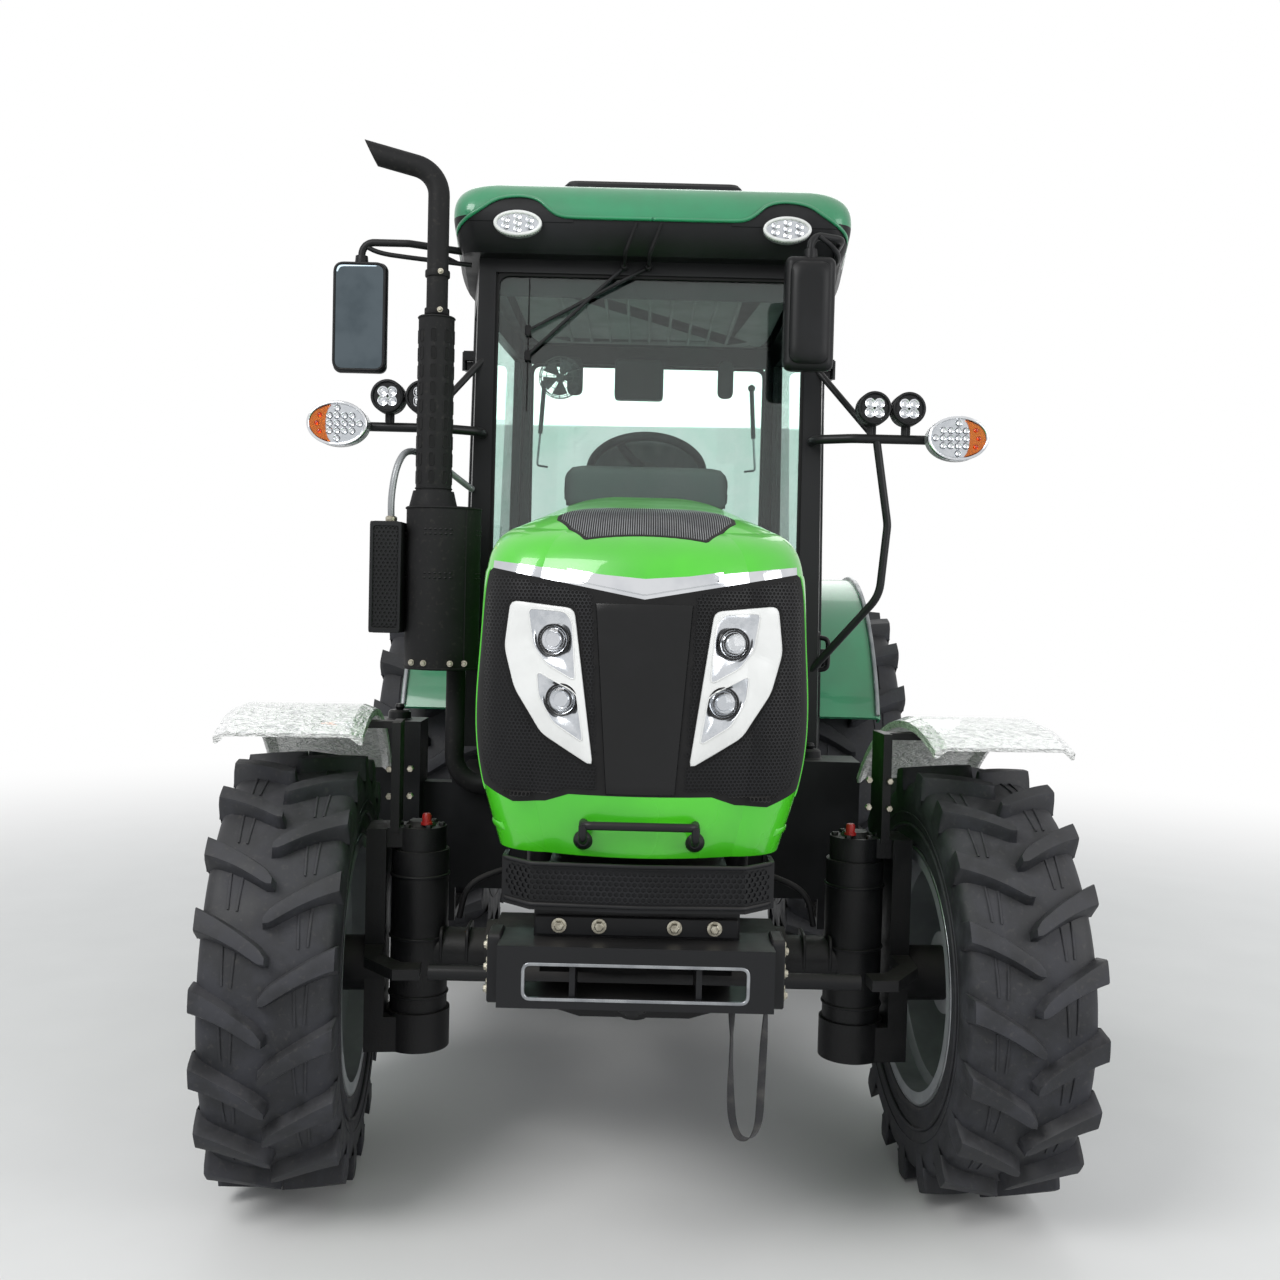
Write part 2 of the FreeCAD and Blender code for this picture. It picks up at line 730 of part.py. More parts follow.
# Bonnet: a hollow shell lofted through level sections, whose upper ones rise towards the rear
HOOD_SECTIONS = [
    # height at the front, rise to the rear, half width, set back, corner radius
    (965, 0, 306, 14, 110),
    (1100, 0, 345, 0, 120),
    (1330, 10, 362, 6, 130),
    (1540, 60, 352, 26, 130),
    (1612, 110, 335, 58, 130),
    (1652, 130, 285, 120, 120),
]
# The domed crown on top, in the same terms
CROWN_SECTIONS = [
    (1652, 130, 285, 120, 120),
    (1675, 130, 236, 158, 112),
    (1692, 130, 176, 204, 96),
    (1702, 130, 100, 262, 70),
]


def hood_section(level, rise, half, back, corner, rear):
    front = num("hood_front_y") + back
    shoulder = front + num("hood_bulge")

    def at(x, y):
        return Vector(x, y, level + rise * (y - front) / (rear - front))

    lean = corner * (1 - math.sqrt(0.5))
    right = [at(half, rear), at(half, shoulder + corner), at(half - corner, shoulder)]
    left = [Vector(-p.x, p.y, p.z) for p in right]
    bend = at(half - lean, shoulder + lean)
    return Part.Wire(
        [
            Part.makeLine(left[0], right[0]),
            Part.makeLine(right[0], right[1]),
            Part.Arc(right[1], bend, right[2]).toShape(),
            Part.Arc(right[2], at(0, front), left[2]).toShape(),
            Part.Arc(left[2], Vector(-bend.x, bend.y, bend.z), left[1]).toShape(),
            Part.makeLine(left[1], left[0]),
        ]
    )


def hood_skin(inset, drop, rear):
    """The bonnet's outside and its crown, drawn in by a distance and let down at the foot."""

    def loft(rows, foot):
        wires = []
        for k, (level, rise, half, back, corner) in enumerate(rows):
            level -= foot if k == 0 else inset
            wires.append(hood_section(level, rise, half - inset, back + inset, corner - inset, rear))
        return Part.makeLoft(wires, True, False)

    return loft(HOOD_SECTIONS, drop).fuse(loft(CROWN_SECTIONS, inset))


# Face of the bonnet, seen from the front: (x, z) of the right half
GRILLE = [(0, 1507), (330, 1568), (420, 1500), (420, 1130), (270, 1072), (200, 1078), (150, 1096), (0, 1096)]
CHROME = [(0, 1507), (330, 1568), (330, 1584), (150, 1562), (0, 1550)]


def front_prism(points, depth):
    """A half outline, mirrored to a whole and run along Y from the bonnet's front."""
    front = num("hood_front_y") - 20
    full = [(x, front, z) for x, z in points] + [(-x, front, z) for x, z in reversed(points) if x]
    return prism(full, (0, depth, 0))


def hood():
    rear = num("hood_rear_y")
    wall = num("hood_wall")
    shell = hood_skin(0, 0, rear).cut(hood_skin(wall, 20, rear + 20))
    nose = front_prism(GRILLE, 235)
    strip = front_prism(CHROME, 235)
    level = num("hood_hinge_z")
    ear = Part.makeBox(30, 30, 90, Vector(180, rear - 27, level - 14)).common(hood_skin(1, 0, rear + 20))
    ear = ear.cut(Part.makeCylinder(8.3, 60, Vector(170, rear - 12, level), Vector(1, 0, 0)))
    ears = ear.fuse(ear.mirror(Vector(), Vector(1, 0, 0)))
    body = shell.cut(nose).cut(strip).fuse(ears)
    return body, shell.common(nose), shell.common(strip)


# Headlamp seen from the front: (x, z) of its outline, then its two lamps
HEADLAMP = [(147, 1485), (285, 1499), (296, 1400), (272, 1315), (212, 1222), (100, 1156)]
LENS_R = 36
HEADLAMP_LENSES = [(190, 1418), (170, 1294)]


def headlamps():
    """A raised surround on the grille with two round lamps let into it."""
    front = num("hood_front_y")
    skin = hood_skin(-7, 0, num("hood_rear_y")).cut(hood_outside)
    plate_part = prism([(x, front - 40, z) for x, z in HEADLAMP], (0, 200, 0)).common(skin)
    lenses = []
    for x, z in HEADLAMP_LENSES:
        lenses.append(Part.makeCylinder(LENS_R, 200, Vector(x, front - 40, z), Vector(0, 1, 0)))
    thin = hood_skin(-3, 0, num("hood_rear_y")).cut(hood_outside)
    bowl = join(lenses)
    return pair(plate_part.cut(bowl).fuse(bowl.common(thin)))


def hood_handle():
    front = num("hood_front_y")
    bar_y = front - 18
    x, z = 117, 1037
    bar = tube([(-x, front + 60, z), (-x, bar_y, z), (x, bar_y, z), (x, front + 60, z)], 9, 18)
    return bar.cut(hood_outside)


def bulkhead():
    """The plate behind the engine, with the pins that the bonnet hinges on."""
    y, level = num("hood_rear_y"), num("hood_hinge_z")
    sheet_part = span_box(-285, y + 1, 945, 285, y + 9, level - 40)
    ear = span_box(140, y - 24, level - 52, 176, y, level + 11)
    foot = span_box(140, y - 24, level - 52, 176, y + 9, level - 24)
    pin = Part.makeCylinder(8, 70, Vector(142, y - 12, level), Vector(1, 0, 0))
    lug = join([ear, foot, pin])
    return sheet_part.fuse(lug).fuse(mirror_x(lug))


# Cab: walls lofted between a sill outline and a roof outline, split into frame, doors and glass
def cab_ring(inset, at_top):
    lean = num("side_lean") if at_top else 0
    front = num("cab_front_y") + (num("front_lean") if at_top else 0)
    rear = num("cab_rear_y") - (num("rear_lean") if at_top else 0)
    middle = num("cab_door_y")
    wide = num("cab_door_x")

    def side(y, end_y, end_x):
        slope = (num(end_x) - wide) / (num(end_y) - middle)
        return wide + slope * (y - middle) - lean

    half = [
        (side(front, "cab_front_y", "cab_front_x"), front),
        (wide - lean, middle),
        (side(rear, "cab_rear_y", "cab_rear_x"), rear),
    ]
    level = num("cab_top") if at_top else num("cab_z")
    corners = [Vector(x, y, level) for x, y in half]
    corners += [Vector(-x, y, level) for x, y in reversed(half)]
    wire = Part.makePolygon(corners + corners[:1])
    return wire.makeOffset2D(-inset, 2) if inset else wire


def cab_body(inset):
    return Part.makeLoft([cab_ring(inset, False), cab_ring(inset, True)], True, True)


def span_box(x_low, y_low, z_low, x_high, y_high, z_high):
    return Part.makeBox(x_high - x_low, y_high - y_low, z_high - z_low, Vector(x_low, y_low, z_low))


def side_opening(outline, inset):
    """A hole through the driver's left cab wall: its (y, z) outline, drawn in by a margin."""
    wire = Part.makePolygon([Vector(480, y, z) for y, z in outline + outline[:1]])
    if inset:
        wire = wire.makeOffset2D(-inset, 2)
    return Part.Face(wire).extrude(Vector(340, 0, 0))


def mirror_x(shape):
    return shape.mirror(Vector(), Vector(1, 0, 0))


def fender_room():
    """The space over the rear tyres, up to the fenders' outside."""
    middle = Vector(num("fender_in_x"), num("rear_axle_y"), num("rear_tyre_r"))
    room = Part.makeCylinder(num("fender_r+run_gap"), 1000, middle, Vector(1, 0, 0))
    return room.fuse(mirror_x(room))


def hinge_leaves():
    """Hinges on the outside of the left door's rear edge: the pillar's halves, then the door's."""
    x, y = num("hinge_x"), num("hinge_y")
    pillar, door = [], []
    for level in (1260, 2330):
        for leaves, low, y_low, y_high in ((pillar, level, y, y + 30), (door, level + 34.3, y - 32, y)):
            leaves.append(span_box(x - 50, y_low, low, x, y_high, low + 34))
            leaves.append(Part.makeCylinder(9, 34, Vector(x, y, low)))
    return join(pillar), join(door)


def cab():
    outer = cab_body(0)
    wall = outer.cut(cab_body(num("cab_wall")))
    pane = cab_body(num("glass_in")).cut(cab_body(num("glass_in+glass_wall")))
    sill, top = num("cab_z"), num("cab_top")
    front, middle, back = num("cab_front_y"), num("cab_door_y"), num("cab_rear_y")
    door_outline = [
        (front + 68, sill + 30),
        (middle - 35, sill + 30),
        (middle - 35, top - 60),
        (front + 68 + num("front_lean"), top - 60),
    ]
    door_way = side_opening(door_outline, 0)
    foot, head = 1640, top - 80
    quarter_outline = [(middle + 35, foot), (back - 80, foot), (back - 105, head), (middle + 35, head)]
    quarter = side_opening(quarter_outline, 0)
    windscreen = span_box(-515, num("cab_front_y") - 50, 1090, 515, num("cab_front_y") + 110, top - 45)
    rear = span_box(-525, num("cab_rear_y") - 110, 1330, 525, num("cab_rear_y") + 50, top - 80)
    floor = cab_body(num("cab_wall")).common(
        span_box(-700, -600, sill, 700, 1400, sill + num("floor_plate"))
    )
    sides = quarter.fuse(mirror_x(quarter))
    frame = wall.cut(door_way.fuse(mirror_x(door_way))).cut(sides).cut(windscreen).cut(rear)
    frame = frame.fuse(floor).cut(fender_room())
    door_room = side_opening(door_outline, num("door_gap"))
    door = wall.common(door_room)
    window = side_opening(door_outline, num("door_gap+door_rail"))
    panes = [pane.common(room) for room in (windscreen, quarter, mirror_x(quarter), rear)]
    frame_leaves, door_leaves = hinge_leaves()
    frame = frame.fuse(frame_leaves).fuse(mirror_x(frame_leaves))
    front_half = span_box(-900, front - 100, sill - 100, 900, middle, top + 100)
    halves = (frame.common(front_half), frame.cut(front_half))
    return halves, door.cut(window).fuse(door_leaves), pane.common(window), panes


def rear_fender():
    """The driver's left rear fender: an arch over the tyre and the inner wall that closes the cab."""
    inner_x, outer_x, wall = num("fender_in_x"), num("fender_out_x"), num("fender_wall")
    radius = num("fender_r")
    profile = [
        (inner_x, radius),
        (outer_x - 20, radius),
        (outer_x, radius - 20),
        (outer_x, radius - 60),
        (outer_x - 8, radius - 60),
        (outer_x - 8, radius - wall),
        (inner_x + 8, radius - wall),
        (inner_x + 8, 520),
        (inner_x, 520),
    ]
    return ring_sector(profile, num("rear_axle_y"), num("rear_tyre_r"), -67, 129)


# Lamp blocks on the rear fenders: low corner, high corner and the rounding of the rear edges
REAR_LAMP = (690, 1560, 1290), (870, 1665, 1400), 14


def rear_lamps():
    """Lamp blocks seated on the rear slopes of the fenders."""
    (x, y, z), (far_x, far_y, far_z), round_r = REAR_LAMP
    middle = Vector(0, num("rear_axle_y"), num("rear_tyre_r"))
    arch = Part.makeCylinder(num("fender_r+run_gap"), 1200, middle, Vector(1, 0, 0))
    lamp = span_box(x, y, z, far_x, far_y, far_z)
    lamp = lamp.makeFillet(round_r, [e for e in lamp.Edges if e.BoundBox.YMin > far_y - 1])
    return pair(lamp.cut(arch))


# Roof: level sections of a six-sided plan with rounded corners
ROOF_SECTIONS = [
    # height, half width at the front, at the door line and at the rear, front, rear, corner radius
    ("cab_top", 618, 676, 620, -420, 1285, 50),
    ("roof_top-155", 640, 706, 650, -470, 1325, 70),
    ("roof_top-65", 636, 700, 644, -462, 1318, 80),
    ("roof_top-23", 610, 670, 616, -425, 1285, 90),
    ("roof_top", 545, 600, 550, -340, 1205, 90),
]


def roof_section(height, front_x, door_x, rear_x, front, rear, corner):
    level, middle = num(height), num("cab_door_y")
    half = [(front_x, front), (door_x, middle), (rear_x, rear)]
    corners = [Vector(x, y, level) for x, y in half]
    corners += [Vector(-x, y, level) for x, y in reversed(half)]
    wire = Part.makePolygon(corners + corners[:1])
    return wire.makeOffset2D(-corner, 2).makeOffset2D(corner, 0)


def roof():
    """The roof cap, the dark band under it, the whole that they are split from, and the hatch."""
    whole = Part.makeLoft([roof_section(*row) for row in ROOF_SECTIONS], True, False)
    top, split = num("roof_top"), num("roof_split")
    half, front = num("hatch_w") / 2, -150
    rear = front + num("hatch_length")
    hollow = span_box(-540, -250, 2500, 540, 1080, top - 70)
    opening = span_box(-half + 30, front + 30, 2500, half - 30, rear - 30, top + 100)
    axis_y, axis_z, barrel = rear + num("hatch_hinge_out"), top + num("hatch_hinge_rise"), 10
    posts, leaves = [], []
    for x in (-190, 150):
        posts.append(span_box(x, axis_y - barrel, top - 20, x + 40, axis_y + barrel, axis_z))
        posts.append(Part.makeCylinder(barrel, 40, Vector(x, axis_y, axis_z), Vector(1, 0, 0)))
    for x in (-144, 105):
        leaves.append(span_box(x, rear - 20, axis_z - 6, x + 39, axis_y, axis_z + 6))
        leaves.append(Part.makeCylinder(barrel - 1, 39, Vector(x, axis_y, axis_z), Vector(1, 0, 0)))
    open_roof = whole.cut(hollow).cut(opening).fuse(posts)
    low = span_box(-900, -900, 2500, 900, 1600, split)
    lid_top = top + num("hatch_wall")
    lid = Part.makeBox(2 * half, rear - front, lid_top - top - 0.5, Vector(-half, front, top + 0.5))
    lid = lid.makeChamfer(12, [e for e in lid.Edges if e.BoundBox.ZMin > lid_top - 1]).fuse(leaves)
    return open_roof.cut(low), open_roof.common(low), whole, lid


# Exhaust: drum, cone, perforated shield and the bent pipe
# Exhaust tip: middle of the mouth from the bend, slant of the lip, and where its upper lip ends
TIP = (-250, -20, 59)
LIP_LEAN, LIP = -27, (-208, 0, 50)
INLET_Z = 905


def exhaust():
    """Drum, cone, shield and bent pipe, with the inlet from the engine and the box beside the drum."""
    x, y, stack = "exhaust_x", "exhaust_y", "exhaust_x-stack_out"
    drum = round_bar("exhaust_drum", "z", "drum_r", "drum_rise", (x, y, "drum_z"))
    cone = taper("exhaust_cone", "drum_r-stack_out-6", "shield_r+8", "50", (stack, y, "drum_z+drum_rise"))
    shield = round_bar(
        "exhaust_shield", "z", "shield_r", "shield_top-drum_z-drum_rise-50", (stack, y, "drum_z+drum_rise+50")
    )
    px, py, top = num(stack), num(y), num("pipe_top")
    bend = Vector(px, py, top)
    tip = bend + Vector(*TIP)
    way = (tip - bend).normalize()
    pipe = tube([(px, py, num("shield_top") - 20), tuple(bend), tuple(tip)], num("pipe_r"), 90)
    # the mouth is hollow and cut off at a slant, its upper lip foremost
    pipe = pipe.cut(Part.makeCylinder(num("pipe_r") - 4, 200, tip - way * 130, way))
    lip = Part.makeBox(200, 200, 200, Vector(-200, -100, -100))
    lip.rotate(Vector(), Vector(0, 1, 0), LIP_LEAN)
    lip.translate(bend + Vector(*LIP))
    pipe = solid("exhaust_pipe", pipe.cut(lip))
    px, py = num(x) + 40, py + 45
    route = [(px, py, num("drum_z") + 5), (px, py, INLET_Z), (-num("engine_w/2"), py, INLET_Z)]
    inlet = solid("exhaust_inlet", tube(route, 30, 90))
    box = block("exhaust_box", ("90", "190", "337"), ("exhaust_x-drum_r-90-run_gap", "exhaust_y-95", "1382"))
    tail = fuse("exhaust_tail", drum, cone, shield, pipe, inlet)
    return group("exhaust", tail, box)


def ellipse_bar(x, z, half_x, half_z, y_low, y_high):
    """An oval bar along Y."""
    if half_x >= half_z:
        ring = Part.Ellipse(Vector(x + half_x, y_low, z), Vector(x, y_low, z + half_z), Vector(x, y_low, z))
    else:
        ring = Part.Ellipse(Vector(x, y_low, z + half_z), Vector(x + half_x, y_low, z), Vector(x, y_low, z))
    return Part.Face(Part.Wire(ring.toShape())).extrude(Vector(0, y_high - y_low, 0))


def pair(shape):
    return Part.makeCompound([shape, mirror_x(shape)])


# Lamp bars: a tube from each front pillar with a brace, posts for the work lamps and a disc for the turn lamp
WORK_LAMPS = [720, 830]
WORK_LAMP_R = 52


def lamp_bar(side):
    level, y = num("bar_z"), num("bar_y")
    radius = num("bar_r")
    end = num("lamp_x")
    pieces = [
        tube([(545, -340, level), (545, y + 60, level), (660, y, level), (end, y, level)], radius, 60),
        strut((735, y, level), (548, -350, 2290), 11),
        Part.makeCylinder(32, 12, Vector(end, y - 20, level), Vector(0, 1, 0)),
    ]
    for x in WORK_LAMPS:
        pieces.append(strut((x, y, level), (x, y, level + 92 - WORK_LAMP_R - 0.3), 9))
    if side > 0:
        rail = [(738, y, level), (782, y, 1760), (762, y, 1530), (560, -395, 1275)]
        pieces.append(tube(rail, 13, 120))
    bar = join(pieces).cut(cab_body(0))
    return bar if side > 0 else mirror_x(bar)


def side_lamps():
    """Both sides' turn lamps and round work lamps, all facing forward."""
    level, y = num("bar_z"), num("bar_y")
    lamps = [ellipse_bar(num("lamp_x"), level, 97, 71, y - 68, y - 20.3)]
    for x in WORK_LAMPS:
        lamps.append(Part.makeCylinder(WORK_LAMP_R, 60, Vector(x, y - 52, level + 92), Vector(0, 1, 0)))
    return Part.makeCompound(lamps + [mirror_x(lamp) for lamp in lamps])


def roof_lamps(roof_whole):
    lamp = ellipse_bar(434, 2700, 78, 41, -484, -440).cut(roof_whole)
    return pair(lamp)


MIRRORS = [
    # head: x, y, z of its centre; width, depth, height; arm points
    (
        (-955, -385, 2404),
        (176, 56, 360),
        [(-600, -330, 2640), (-800, -385, 2652), (-955, -385, 2652), (-955, -385, 2578)],
    ),
    (
        (495, -612, 2404),
        (158, 56, 354),
        [(600, -330, 2650), (600, -560, 2650), (495, -612, 2650), (495, -612, 2575)],
    ),
]


def mirrors(roof_whole):
    shapes = []
    for (x, y, z), (wide, deep, high), path in MIRRORS:
        head = Part.makeBox(wide, deep, high, Vector(x - wide / 2, y - deep / 2, z - high / 2))
        head = head.makeFillet(24, head.Edges)
        shapes.append(head.fuse(tube(path, 12, 40)).cut(roof_whole).cut(cab_body(0)))
    return Part.makeCompound(shapes)


def glass_y(z, ahead):
    """The windscreen's outer face at a height, less a distance in front of it."""
    lean = num("front_lean") / (num("cab_top") - num("cab_z"))
    return num("cab_front_y") + num("glass_in") + lean * (z - num("cab_z")) - ahead


def wiper():
    """Two parallel arms from spindles under the roof's front and an upright blade."""
    blade = strut((-405, glass_y(2123, 9), 2123), (-405, glass_y(2562, 9), 2562), 8)
    arms = []
    for x, z, end in ((-10, 2600, 2383), (-90, 2600, 2300)):
        arms.append(strut((x, glass_y(z, 26), z), (-405, glass_y(end, 14), end), 6))
        arms.append(Part.makeCylinder(10, 26, Vector(x, glass_y(z, 26) - 6, z), Vector(0, 1, 0)))
    return join([blade] + arms).cut(cab_body(0).cut(cab_body(num("glass_in"))))


# Cab inside
def seat():
    base = block("seat_base", ("360", "380", "300"), ("-180", "250", "cab_z+floor_plate"))
    cushion = block("seat_cushion", ("500", "520", "120"), ("-250", "180", "cab_z+floor_plate+300"))
    back = plate(
        "seat_back",
        "YZ_Plane",
        [("570", "1390"), ("700", "1390"), ("800", "2085"), ("765", "2120"), ("720", "2105")],
        "480",
    )
    return fuse("seat", base, cushion, back)


def console():
    column = plate(
        "console_column",
        "YZ_Plane",
        [("-345", "1030"), ("-120", "1030"), ("-150", "1830"), ("-325", "1830")],
        "300",
    )
    cowl = plate(
        "console_cowl",
        "YZ_Plane",
        [("-338", "1800"), ("-110", "1800"), ("-130", "1880"), ("-200", "1946"), ("-330", "1946")],
        "552",
    )
    hub = Vector(0, 20, 1955)
    along = Vector(0, -0.55, -0.835)
    shaft = Part.makeCylinder(24, 230, hub, along)
    rim = Part.makeTorus(205, 15, hub, along)
    spokes = [shaft, rim, Part.makeCylinder(50, 40, hub - along * 10, along)]
    across = Vector(1, 0, 0)
    down = along.cross(across)
    for turn in (90, 210, 330):
        way = across * math.sin(math.radians(turn)) + down * math.cos(math.radians(turn))
        spokes.append(Part.makeCylinder(12, 205, hub, way))
    return fuse("console", column, cowl, solid("console_wheel", join(spokes)))


def side_tanks():
    """Fuel tank on the driver's left and battery box on the right, each with its steps."""
    shapes = []
    for name, side, length in (("tank", 1, "700"), ("battery", -1, "420")):
        body = block(f"{name}_body", ("370", length, "360"), ("engine_w/2", "-560", "560"))
        pieces = [body]
        if side > 0:
            pieces.append(block("tank_nose", ("300", "170", "440"), ("engine_w/2+170", "-600", "560")))
        else:
            pieces.append(block("filler_box", ("155", "150", "490"), ("engine_w/2+460", "-640", "610")))
            pieces.append(block("filler_arm", ("110", "60", "280"), ("engine_w/2+360", "-560", "620")))
        for k, low in enumerate(("430", "700")):
            pieces.append(block(f"{name}_tread_{k}", ("180", "300", "24"), ("engine_w/2+370", "-470", low)))
        for k, y in enumerate(("-470", "-182")):
            pieces.append(block(f"{name}_riser_{k}", ("40", "12", "330"), ("engine_w/2+366", y, "430")))
        whole = fuse(f"{name}_whole", *pieces)
        shapes.append(whole if side > 0 else mirrored(f"{name}_other", whole))
    return group("side_tanks", *shapes)


# Webbing strap that hangs in a loop from the carrier's underside, as (x, y, z)
STRAP_ROUTE = [
    (207, -1960, 655.2),
    (209, -1961, 590),
    (208, -1963, 500),
    (211, -1962, 425),
    (217, -1960, 386),
    (230, -1958, 355),
    (258, -1957, 354),
    (272, -1958, 386),
    (274, -1961, 440),
    (276, -1963, 520),
    (279, -1962, 600),
    (281, -1960, 655.2),
]


def strap():
    return tube(STRAP_ROUTE, num("strap_w/2"), None)


# Hitch at the rear
def link_bar(side):
    """A lower link: a flat bar from its front eye to its rear eye."""
    front = Vector(num("link_pivot_x"), num("link_pivot_y"), num("link_pivot_z"))
    rear = Vector(num("link_end_x"), num("rear_end-link_eye_r"), num("link_end_z"))
    half, eye = 11, num("link_eye_r")
    profile = [
        Vector(front.x - half, front.y, front.z - 30),
        Vector(front.x - half, front.y, front.z + 30),
        Vector(rear.x - half, rear.y, rear.z + 30),
        Vector(rear.x - half, rear.y, rear.z - 30),
    ]
    bar = Part.Face(Part.makePolygon(profile + profile[:1]))
    bar = bar.extrude(Vector(2 * half, 0, 0))
    across = Vector(1, 0, 0)
    ends = [
        Part.makeCylinder(38, 44, front - across * 22, across),
        Part.makeCylinder(eye, 46, rear - across * 23, across),
    ]
    holes = [
        Part.makeCylinder(14 + num("run_gap"), 100, front - across * 50, across),
        Part.makeCylinder(num("link_hole_r"), 100, rear - across * 50, across),
    ]
    middle = front + (rear - front) * 0.5
    stud = Part.makeCylinder(16, 50, Vector(num("lift_x") + 45, middle.y, middle.z), across)
    link = join([bar, stud] + ends).cut(join(holes))
    return link if side > 0 else mirror_x(link)


def lower_links():
    return Part.makeCompound([link_bar(1), link_bar(-1)])


ARM_REST = -5


def arm_end():
    reach = num("arm_length")
    angle = math.radians(ARM_REST)
    return num("arm_pivot_y") + reach * math.cos(angle), num("arm_pivot_z") + reach * math.sin(angle)


def lift_arms():
    """The lift shaft across the rear casing with an arm at each end."""
    y, z = num("arm_pivot_y"), num("arm_pivot_z")
    end_y, end_z = arm_end()
    x = num("lift_x")
    across = Vector(1, 0, 0)
    shaft = Part.makeCylinder(34, 2 * x, Vector(-x, y, z), across)
    pieces = [shaft]
    for side in (-1, 1):
        low = side * x - 14
        pieces.append(Part.makeCylinder(52, 28, Vector(low, y, z), across))
        pieces.append(Part.makeCylinder(28, 28, Vector(low, end_y, end_z), across))
        low_x = side * (x + 5) - (0 if side > 0 else 34)
        pieces.append(Part.makeCylinder(11, 34, Vector(low_x, end_y, end_z), across))
        web = [(low, y, z + 44), (low, end_y, end_z + 22), (low, end_y, end_z - 22), (low, y, z - 44)]
        pieces.append(prism(web, (28, 0, 0)))
    return join(pieces)


def lift_rods():
    """A rod from each lift arm's end down to the middle of the lower link."""
    end_y, end_z = arm_end()
    front_y, front_z = num("link_pivot_y"), num("link_pivot_z")
    low_y = front_y + (num("rear_end-link_eye_r") - front_y) * 0.5
    low_z = front_z + (num("link_end_z") - front_z) * 0.5
    x = num("lift_x") + 30
    across = Vector(1, 0, 0)
    top, foot = Vector(x, end_y, end_z), Vector(x, low_y, low_z)
    rod = [
        strut(top, foot, 14),
        strut(top + (foot - top) * 0.3, top + (foot - top) * 0.7, 22),
        Part.makeCylinder(25, 24, top - across * 12, across),
        Part.makeCylinder(25, 24, foot - across * 12, across),
    ]
    rod = join(rod).cut(Part.makeCylinder(11 + num("run_gap"), 80, top - across * 40, across))
    return pair(rod)


def top_link():
    z = num("top_link_z")
    start, end = Vector(0, 1235, z), Vector(0, 1860, z + 40)
    across = Vector(1, 0, 0)
    pieces = [strut(start, end, 16), strut(start + (end - start) * 0.25, start + (end - start) * 0.7, 25)]
    for eye in (start, end):
        pieces.append(Part.makeCylinder(30, 50, eye - across * 25, across))
    holes = [Part.makeCylinder(12.85, 80, eye - across * 40, across) for eye in (start, end)]
    return join(pieces).cut(join(holes))


def drawbar():
    bar = Part.makeBox(80, 900, 32, Vector(-40, 700, 430))
    bar = bar.fuse(Part.makeBox(150, 60, 58, Vector(-75, 1110, 462)))
    bar = bar.fuse(Part.makeBox(150, 60, 58, Vector(-75, 760, 462)))
    return bar.cut(Part.makeCylinder(num("draw_hole_r"), 80, Vector(0, 1560, 400)))


engine = fuse(
    "engine_block",
    block(
        "engine_main",
        ("engine_w", "engine_length", "engine_rise"),
        ("-engine_w/2", "engine_front", "engine_z"),
    ),
    block(
        "engine_sump",
        ("engine_w-120", "engine_length-120", "100"),
        ("-engine_w/2+60", "engine_front+60", "engine_z-100"),
    ),
)

gearbox = fuse(
    "gearbox_housing",
    block(
        "gearbox_bell",
        ("engine_w", "160", "engine_rise-260"),
        ("-engine_w/2", "engine_back", "engine_z-60"),
    ),
    block(
        "gearbox_case",
        ("gearbox_w", "rear_axle_y-engine_back-160", "340"),
        ("-gearbox_w/2", "engine_back+160", "560"),
    ),
    block(
        "gearbox_rear",
        ("gearbox_w+40", "470", "440"),
        ("-gearbox_w/2-20", "rear_axle_y-240", "520"),
    ),
    round_bar(
        "gearbox_trumpets", "x", "trumpet_r", "2*trumpet_x", ("-trumpet_x", "rear_axle_y", "rear_tyre_r")
    ),
    round_bar("gearbox_pto", "y", "pto_r", "100", ("0", "rear_axle_y+230-10", "640")),
    both_sides(
        "gearbox_links",
        round_bar(
            "gearbox_link_pin",
            "x",
            "14",
            "link_pivot_x+40-gearbox_w/2",
            ("gearbox_w/2", "link_pivot_y", "link_pivot_z"),
        ),
    ),
    both_sides(
        "gearbox_top_ears",
        block("gearbox_top_ear", ("22", "100", "90"), ("30", "rear_axle_y+225", "top_link_z-45")),
    ),
    round_bar("gearbox_top_pin", "x", "12.5", "90", ("-45", "rear_axle_y+285", "top_link_z")),
    both_sides(
        "gearbox_cab_front",
        block(
            "gearbox_cab_mount",
            ("170", "130", "70"),
            ("engine_w/2-50", "engine_back+10", "cab_z-70"),
        ),
    ),
    both_sides(
        "gearbox_cab_rear",
        block(
            "gearbox_cab_post",
            ("110", "110", "cab_z-rear_tyre_r-60"),
            ("gearbox_w/2+190", "rear_axle_y-55", "rear_tyre_r+60"),
        ),
    ),
    both_sides(
        "gearbox_tank_arms",
        block(
            "gearbox_tank_arm",
            ("engine_w/2-gearbox_w/2+10", "220", "90"),
            ("gearbox_w/2-10", "-230", "620"),
        ),
    ),
)
arm_room = round_bar("lift_room", "x", "34+run_gap", "700", ("-350", "arm_pivot_y", "arm_pivot_z"))
gearbox = cut("gearbox_housing", gearbox, arm_room)
gearbox.Base.Label = "gearbox_whole"
gearbox.Label = "gearbox_housing"

steering_rod = round_bar(
    "steering_rod",
    "x",
    "cylinder_rod_r",
    "2*cylinder_rod_x",
    ("cylinder_shift-cylinder_rod_x", "front_axle_y-steer_arm", "cylinder_z"),
)

